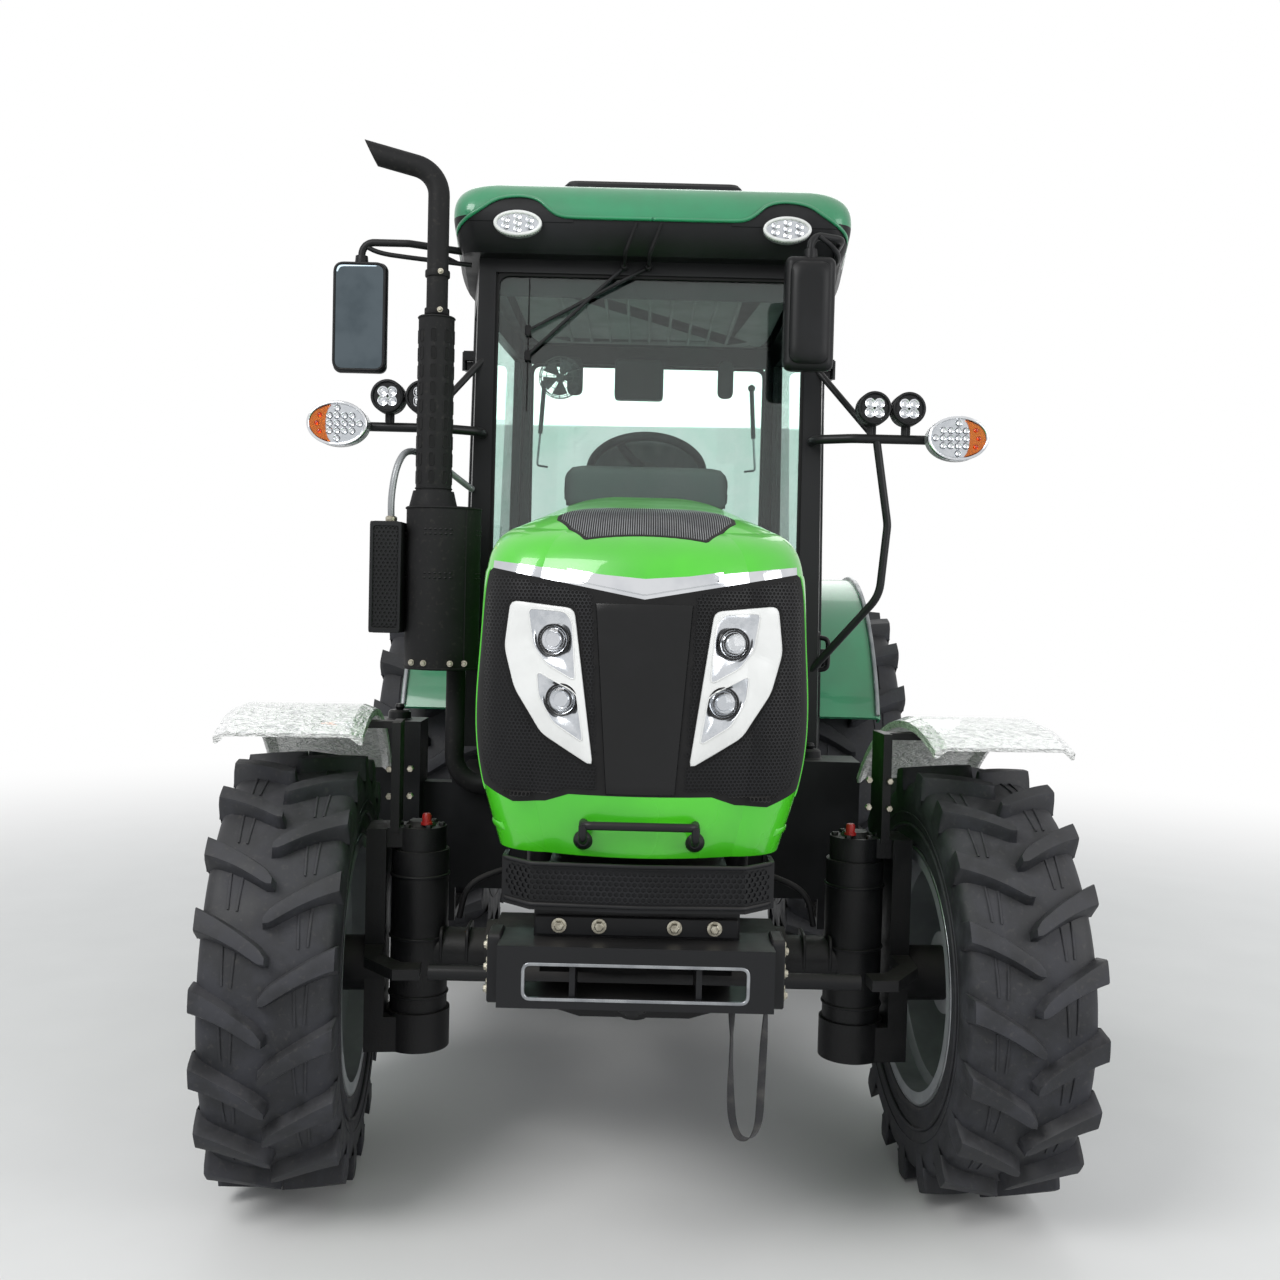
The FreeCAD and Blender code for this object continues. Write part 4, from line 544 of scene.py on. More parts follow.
class TRACTOR_OT_finishes(bpy.types.Operator):
    """Makes every finish and gives each CAD node the one of its material slot"""

    bl_idname = "tractor.finishes"
    bl_label = "Finishes"

    def execute(self, context):
        colours = context.scene.tractor_finishes
        # Two-pack enamel, sprayed and baked: glossy, with a fine orange peel and a clear film on top
        surface(
            "Bonnet enamel", colours.bonnet, "38B016", 0.3, 0.06, 0.5, 0.003, 0.00004, coat=0.6, dust=0.1
        )
        surface("Roof enamel", colours.roof, "18774E", 0.33, 0.07, 0.5, 0.003, 0.00004, coat=0.5, dust=0.14)
        # Powder coat on steel: satin black, slightly pebbled
        surface(
            "Powder coat",
            colours.chassis,
            "16171A",
            0.4,
            0.1,
            0.3,
            0.002,
            0.00008,
            dust=0.05,
            specular=0.22,
        )
        # Painted cast iron: the sand mould's grain shows through the paint
        surface(
            "Painted casting",
            linear("131416"),
            "1B1B1D",
            0.46,
            0.12,
            0.16,
            0.004,
            0.0005,
            dust=0.07,
            specular=0.22,
        )
        # Moulded polypropylene: grey-black with a leather grain of small cells
        surface(
            "Moulded plastic",
            linear("101113"),
            "17181B",
            0.48,
            0.08,
            0.25,
            0.0016,
            0.0001,
            cells=True,
            dust=0.04,
            specular=0.22,
        )
        # Moulded acrylic cover: smooth, with a dull gloss and faint wipe marks
        surface(
            "Gloss acrylic", linear("060708"), "0A0B0D", 0.25, 0.05, 0.2, 0.02, 0.00002,
            coat=0.15, dust=0.01, specular=0.25,
        )
        # Heat-resistant silicone paint: dead matt, powdery, greyer where it has been hot
        surface(
            "Heat paint",
            linear("121213"),
            "1B1B1C",
            0.7,
            0.1,
            0.14,
            0.001,
            0.0001,
            speckle=0.03,
            specular=0.22,
        )
        # Painted shade: a near-black dead matt finish that stands for the shade in the depth of a slot, behind
        # the vent mesh and in the grille
        surface("Slot shadow", linear("040405"), "070708", 0.95, 0.03, 0.05, 0.001, 0.00005)
        surface(
            "Rim enamel",
            colours.rims,
            "8C9094",
            0.38,
            0.1,
            0.2,
            0.002,
            0.00005,
            metallic=0.35,
            coat=0.2,
            dust=0.14,
        )
        # Cured tyre rubber: soft sheen from the mould, dust in the pores
        surface(
            "Tyre rubber", colours.rubber, "34353A", 0.62, 0.12, 0.09, 0.0025, 0.00025,
            speckle=0.06, dust=0.06, dust_colour="8E887E", specular=0.3,
        )
        surface(
            "Rubber seal",
            linear("0D0D0F"),
            "141416",
            0.62,
            0.08,
            0.1,
            0.002,
            0.0001,
            dust=0.04,
            specular=0.22,
        )
        surface(
            "Mirror chrome",
            linear("D9DBDE"),
            "C6C9CE",
            0.07,
            0.04,
            0.15,
            0.02,
            0.00001,
            metallic=1.0,
            dust=0.02,
        )
        surface(
            "Mirror glass",
            linear("5B656B"),
            "4D575D",
            0.03,
            0.02,
            0.2,
            0.03,
            0.00001,
            metallic=1.0,
            dust=0.02,
        )
        # Zinc-plated and chromated bolts: pale with a faint bronze bloom
        surface(
            "Zinc plate",
            linear("B9B5A6"),
            "9C9788",
            0.34,
            0.1,
            0.01,
            0.0008,
            0.00006,
            metallic=1.0,
            dust=0.08,
        )
        surface(
            "Bright reflector", linear("C9CCD0"), "B5B9BE", 0.2, 0.06, 0.03, 0.004, 0.00008, metallic=0.9
        )
        # Moulded surround of the headlamp: satin white polycarbonate
        surface(
            "Satin white", linear("DDDEDC"), "D2D3D1", 0.34, 0.06, 0.2, 0.002, 0.00004, coat=0.25, dust=0.08
        )
        surface("Lamp grey", linear("8C8E90"), "7B7D80", 0.38, 0.08, 0.08, 0.002, 0.00006, metallic=0.3)
        surface("Headlining", linear("8D8E8C"), "7F807E", 0.85, 0.05, 0.2, 0.0012, 0.00015, cells=True)
        surface(
            "Dash plastic", linear("2B2C2F"), "343538", 0.6, 0.08, 0.2, 0.0012, 0.0001, cells=True, dust=0.1
        )
        surface("Red plastic", linear("B3201C"), "9C1A17", 0.4, 0.08, 0.1, 0.002, 0.00005)
        brushed("Turned steel", "9EA1A4", "85888C", 0.32)
        clear("Tinted glass", "DCEBE6", "D2E8E0", 0.01)
        clear("Clear lens", "F4F6F6", "FFFFFF", 0.02, 1.49)
        clear("Amber lens", "F07A10", "F58A1C", 0.08, 1.49)
        clear("Red lens", "B5120C", "C81A12", 0.08, 1.49)
        crinkled("Stretch film", colours.film)
        woven("Strap webbing", "17171A", "232327", 0.0028, 0.0006)
        woven("Cushion cloth", "26272A", "2E2F33", 0.0022, 0.0003)
        by_slot = {
            "hood_green": "Bonnet enamel",
            "cab_green": "Roof enamel",
            "black_paint": "Powder coat",
            "black_plastic": "Moulded plastic",
            "gloss_black": "Gloss acrylic",
            "casting": "Painted casting",
            "steel": "Turned steel",
            "chrome": "Mirror chrome",
            "rim_silver": "Rim enamel",
            "tyre": "Tyre rubber",
            "glass": "Tinted glass",
            "lamp": "Lamp grey",
            "film": "Stretch film",
            "seat_cloth": "Dash plastic",
            "webbing": "Strap webbing",
        }
        for row in frame["record"]["subparts"]:
            for holder in frame["nodes"][row["node"]].material_slots:
                holder.material = bpy.data.materials[by_slot[row["material_slot"]]]
        # the grille node gets the slot shadow finish: near-black painted shade that stands for the depth
        # behind the cheek mesh
        for node, finish in (
            ("exhaust", "Heat paint"), ("steering_rod", "Powder coat"), ("hood_grille", "Slot shadow")
        ):
            frame["nodes"][node].material_slots[0].material = bpy.data.materials[finish]
        return {"FINISHED"}


# Stage


def looking(holder):
    """1 for rays from the camera, from a mirror and through glass, which see the white background."""
    rays = add(holder, "ShaderNodeLightPath").outputs
    most = rays["Is Camera Ray"]
    for name in ("Is Glossy Ray", "Is Transmission Ray"):
        most = add(holder, "ShaderNodeMath", {0: most, 1: rays[name]}, operation="MAXIMUM").outputs[0]
    return most


class TRACTOR_OT_stage(bpy.types.Operator):
    """Sets the camera of the photograph, a pale floor and soft studio lamps"""

    bl_idname = "tractor.stage"
    bl_label = "Camera, floor and lamps"

    def execute(self, context):
        scene = context.scene
        scene.view_settings.view_transform = "Standard"
        data = bpy.data.cameras.new("Camera")
        data.lens, data.sensor_width, data.clip_end = 36.56, 36.0, 100.0
        camera = bpy.data.objects.new("Camera", data)
        scene.collection.objects.link(camera)
        turn = Matrix.Rotation(math.radians(87.94), 4, "X") @ Matrix.Rotation(math.radians(1.4), 4, "Z")
        camera.matrix_world = Matrix.Translation((-0.008, -4.71, 1.52)) @ turn
        scene.camera = camera

        # Studio floor: pale matt vinyl. The camera, mirrors and glass see it nearly white far away
        floor, shader, place = begin("Studio floor")
        spots = add(floor, "ShaderNodeTexNoise", {"Vector": place, "Scale": 3.0, "Detail": 5.0}).outputs[0]
        tone = blended(floor, spots, linear("D6D6D4"), linear("DEDEDC"))
        connect(floor, shader, {"Base Color": tone, "Roughness": 0.75})
        # with its distance from the middle the floor fades into the white background
        away = add(floor, "ShaderNodeVectorMath", {0: place}, operation="LENGTH").outputs["Value"]
        looked_at = looking(floor)
        fade = add(
            floor, "ShaderNodeMath", {0: ramp(floor, away, 2.2, 7.5), 1: looked_at}, operation="MULTIPLY"
        )
        glow = add(floor, "ShaderNodeEmission", {0: (1.0, 1.0, 1.0, 1.0), 1: 1.0}).outputs[0]
        both = add(floor, "ShaderNodeMixShader", {0: fade.outputs[0], 1: shader.outputs[0], 2: glow})
        connect(floor, floor.node_tree.nodes["Material Output"], {0: both.outputs[0]})
        mesh = bpy.data.meshes.new("Floor")
        half = 40.0
        corners = [(-half, -half, 0), (half, -half, 0), (half, half, 0), (-half, half, 0)]
        mesh.from_pydata(corners, [], [(0, 1, 2, 3)])
        mesh.materials.append(floor)
        ground = bpy.data.objects.new("Floor", mesh)
        scene.collection.objects.link(ground)
        ground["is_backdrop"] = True

        world = bpy.data.worlds.new("Studio")
        world.use_nodes = True
        world.node_tree.nodes.clear()
        soft = add(world, "ShaderNodeBackground", {0: (0.93, 0.96, 1.0, 1.0), 1: 0.62}).outputs[0]
        white = add(world, "ShaderNodeBackground", {0: (1.0, 1.0, 1.0, 1.0), 1: 1.0}).outputs[0]
        both = add(world, "ShaderNodeMixShader", {0: looking(world), 1: soft, 2: white}).outputs[0]
        add(world, "ShaderNodeOutputWorld", {0: both})
        scene.world = world

        # name, place, aim, size, watts: a high key from the front left, a broad fill, a rim from behind
        lamps = [
            ("Key", (-3.6, -5.4, 5.6), (0, -0.9, 1.2), 3.2, 300.0),
            ("Fill", (4.8, -4.6, 3.4), (0, -0.8, 1.1), 3.6, 150.0),
            ("Back", (0.5, 6.5, 5.2), (0, 0.8, 1.3), 5.0, 130.0),
        ]
        for name, spot, aim, size, power in lamps:
            light = bpy.data.lights.new(name, "AREA")
            light.size, light.energy = size, power
            obj = bpy.data.objects.new(name, light)
            scene.collection.objects.link(obj)
            way = Matrix.Translation(aim).to_translation() - Matrix.Translation(spot).to_translation()
            obj.matrix_world = Matrix.Translation(spot) @ way.to_track_quat("-Z", "Y").to_matrix().to_4x4()
        return {"FINISHED"}


# Shapes laid on the CAD's surfaces

# Rows are the shape's own x, y and z in the tractor's axes, for a look from each side
SIDES = {
    "front": ((1, 0, 0), (0, 0, 1), (0, -1, 0)),
    "rear": ((-1, 0, 0), (0, 0, 1), (0, 1, 0)),
    "left": ((0, 1, 0), (0, 0, 1), (1, 0, 0)),
    "right": ((0, -1, 0), (0, 0, 1), (-1, 0, 0)),
    "top": ((1, 0, 0), (0, 1, 0), (0, 0, 1)),
}


def triangles(names):
    """The corners of the named CAD nodes' triangles: triangles by 3 by 3."""
    groups = []
    for name in names:
        mesh = frame["nodes"][name].data
        mesh.calc_loop_triangles()
        index = np.empty(len(mesh.loop_triangles) * 3, np.int32)
        mesh.loop_triangles.foreach_get("vertices", index)
        place = np.empty(len(mesh.vertices) * 3, np.float32)
        mesh.vertices.foreach_get("co", place)
        groups.append(place.reshape(-1, 3)[index].reshape(-1, 3, 3).astype(float))
    return np.concatenate(groups)


def relief(names, side, low, high, step=0.008):
    """Returns a function that lays a shape on CAD nodes as seen from one side. Each row of a table cuts
    the nodes' triangles with a plane, each column takes the outermost of the cut lines that cross it,
    and a shape's points are raised by the table, interpolated between its four nearest entries."""
    turn = np.array(SIDES[side], float)
    corners = triangles(names) @ turn.T
    us = np.arange(low[0], high[0] + step, step)
    vs = np.arange(low[1], high[1] + step, step)
    table = np.full((len(vs), len(us)), np.nan)
    for row, level in enumerate(vs + 1e-6):
        a = corners[(corners[..., 1].min(1) < level) & (corners[..., 1].max(1) > level)]
        b = np.roll(a, -1, 1)
        rise = b[..., 1] - a[..., 1]
        share = (level - a[..., 1]) / np.where(rise == 0, 1, rise)
        hit = (rise != 0) & (share >= 0) & (share <= 1)
        cut = a + share[..., None] * (b - a)
        ends = np.take_along_axis(cut, np.argsort(~hit, 1)[:, :2, None], 1)
        first, last = ends[:, :1], ends[:, 1:]
        spread = last[..., 0] - first[..., 0]
        t = (us[None] - first[..., 0]) / np.where(spread == 0, 1, spread)
        height = first[..., 2] + t * (last[..., 2] - first[..., 2])
        height = np.where((t >= 0) & (t <= 1), height, -np.inf).max(0, initial=-np.inf)
        known = np.isfinite(height)
        if known.any():
            table[row] = np.interp(us, us[known], height[known])
    filled = ~np.isnan(table[:, 0])
    nearest = np.abs(np.arange(len(vs))[:, None] - np.flatnonzero(filled)[None]).argmin(1)
    table = table[filled][nearest]

    def lay(part, lift=0.0):
        points, faces = part
        u = np.clip((points[:, 0] - us[0]) / step, 0, len(us) - 1.001)
        v = np.clip((points[:, 1] - vs[0]) / step, 0, len(vs) - 1.001)
        i, j = u.astype(int), v.astype(int)
        a, b = u - i, v - j
        ground = (1 - b) * ((1 - a) * table[j, i] + a * table[j, i + 1])
        ground += b * ((1 - a) * table[j + 1, i] + a * table[j + 1, i + 1])
        return np.c_[points[:, :2], points[:, 2] + ground + lift] @ turn, faces

    return lay


def seen(part, side, shift=(0, 0, 0)):
    """A shape drawn as seen from one side, moved into the tractor's axes without a surface under it."""
    points, faces = part
    return points @ np.array(SIDES[side], float) + np.array(shift, float), faces


def panel(left, right, columns, thick, edge=0.0015, back=-0.001):
    """A closed sheet between two lines of the same count: straight rows from the left line to the right
    one, thick high, with its border bevelled, and a back that is sunk a little."""
    left, right = np.asarray(left, float), np.asarray(right, float)
    share = np.linspace(0, 1, columns)
    flat = left[:, None] + share[None, :, None] * (right - left)[:, None]
    middle = flat.mean((0, 1))
    border = np.zeros(flat.shape[:2])
    border[0] = border[-1] = 1
    border[:, 0] = border[:, -1] = 1
    size = np.ptp(flat, axis=(0, 1)).min() / 2
    top = np.concatenate(
        [flat + (middle - flat) * (border * edge / size)[..., None], np.full(border.shape + (1,), thick)], 2
    )
    low = np.concatenate([flat, np.full(border.shape + (1,), back)], 2)

    def ring(p):
        return np.concatenate([p[0], p[1:, -1], p[-1, -2::-1], p[-2:0:-1, 0]])

    mid = ring(np.concatenate([flat, np.full(border.shape + (1,), thick - edge)], 2))
    wall = grid(np.stack([ring(low), mid, ring(top)]), wrap_columns=True)
    return joined(grid(top), grid(low), wall)


def bolts(centres, radius, rise, side="front", washer=1.45):
    """Hexagon heads with a chamfered top on round washers, at (x, y, z) seats, facing one side."""
    head = lathe(
        [(0.0, rise), (radius * 0.8, rise), (radius, rise * 0.82), (radius, rise * 0.3), (0.0, rise * 0.3)],
        6,
    )
    plate = lathe(
        [(0.0, rise * 0.3), (radius * washer, rise * 0.3), (radius * washer, -0.001), (0.0, -0.001)], 16
    )
    one = seen(joined(head, plate), side)
    return copies(one, centres)


def spread_line(points, count):
    """A line of points resampled to a count of equal shares of its length."""
    points = np.asarray(points, float)
    run = np.r_[0, np.cumsum(np.linalg.norm(np.diff(points, axis=0), axis=1))]
    at = np.linspace(0, run[-1], count)
    return np.stack([np.interp(at, run, points[:, k]) for k in range(points.shape[1])], 1)


def closed_line(corners, radius, steps, count):
    """A closed outline with rounded corners, resampled to a count of equal steps."""
    line = rounded(corners, radius, steps)
    return spread_line(np.vstack([line, line[:1]]), count + 1)[:-1]


# Strap

# The strap's route, as the CAD has it
STRAP_ROUTE = [
    (0.207, -1.960, 0.6552),
    (0.209, -1.961, 0.590),
    (0.208, -1.963, 0.500),
    (0.211, -1.962, 0.425),
    (0.217, -1.960, 0.386),
    (0.230, -1.958, 0.355),
    (0.258, -1.957, 0.354),
    (0.272, -1.958, 0.386),
    (0.274, -1.961, 0.440),
    (0.276, -1.963, 0.520),
    (0.279, -1.962, 0.600),
    (0.281, -1.960, 0.6552),
]


def route_points(points):
    """The points along a smooth NURBS spline that has the route's points as its control points."""
    curve = bpy.data.curves.new("Route", "CURVE")
    curve.dimensions = "3D"
    spline = curve.splines.new("NURBS")
    spline.points.add(len(points) - 1)
    spline.points.foreach_set("co", np.c_[np.array(points), np.ones(len(points))].ravel())
    spline.order_u = 3
    spline.use_endpoint_u = True
    spline.resolution_u = 10
    holder = bpy.data.objects.new("Route", curve)
    mesh = bpy.data.meshes.new_from_object(holder)
    flat = np.empty(len(mesh.vertices) * 3, np.float32)
    mesh.vertices.foreach_get("co", flat)
    bpy.data.objects.remove(holder)
    bpy.data.curves.remove(curve)
    bpy.data.meshes.remove(mesh)
    return flat.reshape(-1, 3).astype(float)


def unwrap(obj, uv):
    """Gives every corner of a mesh the UV place of its vertex."""
    mesh = obj.data
    index = np.empty(len(mesh.loops), np.int32)
    mesh.loops.foreach_get("vertex_index", index)
    layer = mesh.uv_layers.new(name="UVMap")
    layer.data.foreach_set("uv", uv[index].ravel())


class TRACTOR_OT_strap(bpy.types.Operator):
    """Webbing strap that hangs in a twisted loop from the bumper"""

    bl_idname = "tractor.strap"
    bl_label = "Strap"

    def execute(self, context):
        path = route_points(STRAP_ROUTE)
        run = np.r_[0, np.cumsum(np.linalg.norm(np.diff(path, axis=0), axis=1))]
        # the face's angle from the front at shares of the length: the webbing turns edge-on and back
        angle = np.radians(
            np.interp(
                run / run[-1], [0, 0.12, 0.22, 0.38, 0.5, 0.62, 0.85, 1], [15, 68, 60, 10, 50, 8, 22, 70]
            ),
        )
        way = np.gradient(path, axis=0)
        wide = np.stack([np.cos(angle), np.sin(angle), 0 * angle], 1)
        section = box_outline(0.018, 0.0026, 0.0011, 3)
        part = swept(path, section, up=np.cross(wide, way))
        obj = piece("Strap", part, "chassis", "Strap webbing", slot="webbing", replaces=["strap"], sharp=60)
        across = np.tile(section[:, 0], len(path))
        unwrap(obj, np.stack([across, np.repeat(run, len(section))], 1))
        return {"FINISHED"}


# Tyres and wheels

FRONT_TURN = math.radians(5)
# name, body, hub centre, steering turn, tip radius, half width, bead seat, half rim width, lug depth
WHEELS = [
    (
        "front_left",
        "wheel_front_left",
        (0.86385, -1.32385, 0.545),
        FRONT_TURN,
        0.545,
        0.1575,
        0.305,
        0.145,
        0.036,
    ),
    (
        "front_right",
        "wheel_front_right",
        (-0.86385, -1.37615, 0.545),
        FRONT_TURN,
        0.545,
        0.1575,
        0.305,
        0.145,
        0.036,
    ),
    ("rear_left", "wheel_rear_left", (0.82, 0.95, 0.738), 0.0, 0.738, 0.215, 0.381, 0.200, 0.046),
    ("rear_right", "wheel_rear_right", (-0.82, 0.95, 0.738), 0.0, 0.738, 0.215, 0.381, 0.200, 0.046),
]
LUGS = 19
# How much of a lug's length its rounded nose takes
NOSE_SHARE = 0.16


def around(part, centre, turn):
    """A shape made about the X axis, turned about Z and moved to a wheel's centre."""
    return copies(part, [centre], turns_about(2, turn))


def turned_section(section, count, centre=(0, 0, 0)):
    """A closed section of (x, radius) points turned about the X axis."""
    section = np.asarray(section, float)
    turn = circle(1, count)
    x = np.broadcast_to(section[:, 0, None, None], (len(section), count, 1))
    ring = np.concatenate([x, section[:, 1, None, None] * turn[None]], 2)
    return grid(ring + np.array(centre, float), wrap_rows=True, wrap_columns=True)


def carcass_section(tip, half, seat, rim_half, depth):
    """Half of a tyre's section without lugs, from the crown to the bead: a shallow arc over the tread,
    a rounded shoulder and a sidewall that bows out and pulls in to the rim."""
    base = tip - depth
    corners = [
        (0.0, base),
        (half * 0.55, base - 0.004),
        (half * 0.93, base - half * 0.1),
        (half * 0.995, base - half * 0.36),
        (half * 0.985, (seat + tip) / 2 - 0.01),
        (half * 0.9, seat + (tip - seat) * 0.25),
        (rim_half + 0.004, seat + 0.034),
        (rim_half - 0.008, seat + 0.024),
        (rim_half - 0.009, seat + 0.001),
    ]
    return rounded(corners, 0.6, 7, closed=False)


def through(s, nose, middle, shoulder):
    """The quadratic in s that is nose at 0, middle at a half and shoulder at 1."""
    return (1 - s) * (1 - 2 * s) * nose + 4 * s * (1 - s) * middle + s * (2 * s - 1) * shoulder


def lug_shape(side, tip, half, depth):
    """One lug at the top of the wheel, lying round the X axis. Along it runs s from the nose to the
    shoulder, across it t: its middle line is the quadratic curve through three places, its top falls a
    little towards the shoulder, its flanks slope, the nose is rounded and the shoulder end runs down
    the sidewall."""
    s = np.linspace(0, 1, 15)
    share = through(s, -0.03, 0.50, 0.985)
    place = through(s, -0.30, 0.06, 0.30)
    width = through(s, 0.11, 0.13, 0.165)
    nose = np.sqrt(np.clip(1 - ((NOSE_SHARE - s) / NOSE_SHARE) ** 2, 0, 1))
    width = width * np.where(s < NOSE_SHARE, 0.45 + 0.55 * nose, 1)
    top = tip - 0.07 * half * share
    # nine points across: foot, flank, edge, three on top, edge, flank and foot. Each has a share of the
    # width, a share of the depth by which its flank slopes, and a share of the rise
    across = np.array([-1.0, -1.0, -0.94, -0.5, 0.0, 0.5, 0.94, 1.0, 1.0])
    slope = np.array([0.3, 0.06, 0.0, 0, 0, 0, 0.0, 0.06, 0.3])
    rise = np.array([0.0, 0.88, 0.985, 1.0, 1.0, 1.0, 0.985, 0.88, 0.0])
    foot = tip - depth - 0.02 - 0.10 * half * np.clip(share, 0, 1) ** 4
    tangent = (place[:, None] + width[:, None] * across[None]) * half
    tangent = tangent + np.sign(across)[None] * slope[None] * depth
    radius = foot[:, None] + (top - foot)[:, None] * rise[None]
    x = np.broadcast_to((share * half)[:, None], tangent.shape).copy()
    # the shoulder end: three more rows that go down the sidewall and in
    low = [(1.0, 0.10), (1.006, 0.30), (0.992, 0.58)]
    x = np.concatenate([x] + [np.full((1, len(across)), half * far) for far, _ in low])
    radius = np.concatenate([radius] + [(radius[-1] - fall * half * rise)[None] for _, fall in low])
    tangent = np.concatenate([tangent] + [tangent[-1:]] * len(low))
    # a blunt nose: the first row is brought down to the foot a little further on
    tangent = np.concatenate([tangent[:1], tangent])
    x = np.concatenate([x[:1] - 0.05 * half, x])
    radius = np.concatenate([np.repeat(foot[:1], len(across))[None], radius])
    angle = math.pi / 2 - tangent / tip
    points = np.stack([side * x, radius * np.cos(angle), radius * np.sin(angle)], -1)
    return grid(points)


def tyre_shape(tip, half, seat, rim_half, depth):
    """Carcass, lugs, thin mould ribs between the lugs and raised rings on the sidewalls."""
    right = carcass_section(tip, half, seat, rim_half, depth)
    section = np.concatenate([right, (right * (-1, 1))[::-1][:-1]])
    nose = -0.41 * half
    crown = math.sqrt(tip**2 - nose**2)
    lowest = -math.pi / 2 - math.atan2(-nose, crown)
    parts = [turned_section(section[::-1], 114)]
    ribs = []
    for side, shift in ((1, 0.0), (-1, 0.5)):
        steps = lowest + 2 * math.pi * (np.arange(LUGS) + shift) / LUGS - math.pi / 2
        turns = turns_about(0, steps)
        lug = lug_shape(side, tip, half, depth)
        parts.append(copies(lug, np.zeros((LUGS, 3)), turns))
        # two thin ribs on the bare carcass between two lugs, a little askew
        for share, lean in ((0.42, 0.03), (0.60, -0.02)):
            t = np.linspace(0, 1, 9)
            angle = math.pi / 2 + (0.05 + 0.17 * t - 0.05 * share)
            x = side * half * (share + lean * t)
            base = tip - depth - 0.012 * share**2
            spine = np.stack([x, base * np.cos(angle), base * np.sin(angle)], 1)
            rib = swept(spine, circle(0.0022, 6) * (1, 1.3), up=(1, 0, 0))
            ribs.append(copies(rib, np.zeros((LUGS, 3)), turns))
    # rings round each sidewall: the rim guard and two fine lines
    for x, radius, size in (
        (half * 0.955, seat + (tip - seat) * 0.34, 0.0045),
        (half * 0.985, seat + (tip - seat) * 0.47, 0.0018),
        (half * 0.90, seat + (tip - seat) * 0.22, 0.0018),
    ):
        for side in (1, -1):
            ribs.append(turned_section(circle(size, 8) + (side * x, radius), 114))
    return joined(*parts, *ribs)


class TRACTOR_OT_tyres(bpy.types.Operator):
    """Four tyres with curved lugs in two staggered rows"""

    bl_idname = "tractor.tyres"
    bl_label = "Tyres"

    def execute(self, context):
        for name, body, centre, turn, tip, half, seat, rim_half, depth in WHEELS:
            part = around(tyre_shape(tip, half, seat, rim_half, depth), centre, turn)
            node = name.replace("_", "_tyre_")
            piece(f"Tyre_{name}", part, body, "Tyre rubber", slot="tyre", replaces=[node], sharp=50)
        return {"FINISHED"}


class TRACTOR_OT_wheels(bpy.types.Operator):
    """Rolled rim edges, wheel nuts and their studs"""

    bl_idname = "tractor.wheels"
    bl_label = "Wheel fittings"

    def execute(self, context):
        for name, body, centre, turn, tip, half, seat, rim_half, depth in WHEELS:
            rolls = [
                turned_section(circle(0.0052, 12) + (x, seat + 0.0215), 96)
                for x in (rim_half - 0.004, -rim_half + 0.004)
            ]
            piece(f"Rim_edges_{name}", around(joined(*rolls), centre, turn), body, "Turned steel", sharp=60)
            front = name.startswith("front")
            circle_r, count, nut = (0.138, 8, 0.013) if front else (0.165, 8, 0.015)
            face = (0.040 if front else -0.040) + 0.004
            seats = circle(circle_r, count, math.pi / 8)
            places = np.c_[np.full(count, face), seats]
            nuts = bolts(places, nut, 0.022, "left", 1.5)
            studs = copies(
                seen(lathe([(0, 0.033), (nut * 0.45, 0.032), (nut * 0.5, 0.0), (0, 0)], 10), "left"), places
            )
            fittings = joined(nuts, studs)
            if name.endswith("right"):
                fittings = flipped(fittings)
            piece(f"Wheel_nuts_{name}", around(fittings, centre, turn), body, "Zinc plate")
        return {"FINISHED"}


# Bonnet

FACE_NODES = ["hood_shell", "hood_grille", "hood_trim"]
# The headlamp seen from the front, on the driver's left: outer edge, counterclockwise from its tip
LAMP_OUTER = [
    (0.100, 1.156), (0.212, 1.222), (0.272, 1.315), (0.296, 1.400), (0.285, 1.499), (0.147, 1.485)
]
# The two bowls let into it, and their lamps
UPPER_BOWL = [
    (0.141, 1.333), (0.204, 1.367), (0.233, 1.405), (0.246, 1.483), (0.166, 1.478), (0.151, 1.457)
]
LOWER_BOWL = [(0.1215, 1.206), (0.187, 1.246), (0.219, 1.300), (0.224, 1.352), (0.138, 1.308)]
LAMP_EYES = [(0.190, 1.418), (0.170, 1.294)]
EYE_R = 0.0335


def bowl(outline, eye, front, floor):
    """A lamp bowl: from its edge the wall eases down to a ring round the lamp's eye by a cosine."""
    offset = outline - np.array(eye)
    ring = EYE_R * offset / np.linalg.norm(offset, axis=1, keepdims=True) + np.array(eye)
    t = np.linspace(0, 1, 9)
    depth = front + (floor - front) * (1 - np.cos(np.pi * t)) / 2
    flat = outline[None] + t[:, None, None] ** 0.8 * (ring - outline)[None]
    return grid(
        np.concatenate([flat, np.broadcast_to(depth[:, None, None], flat.shape[:2] + (1,))], 2),
        wrap_columns=True,
    )


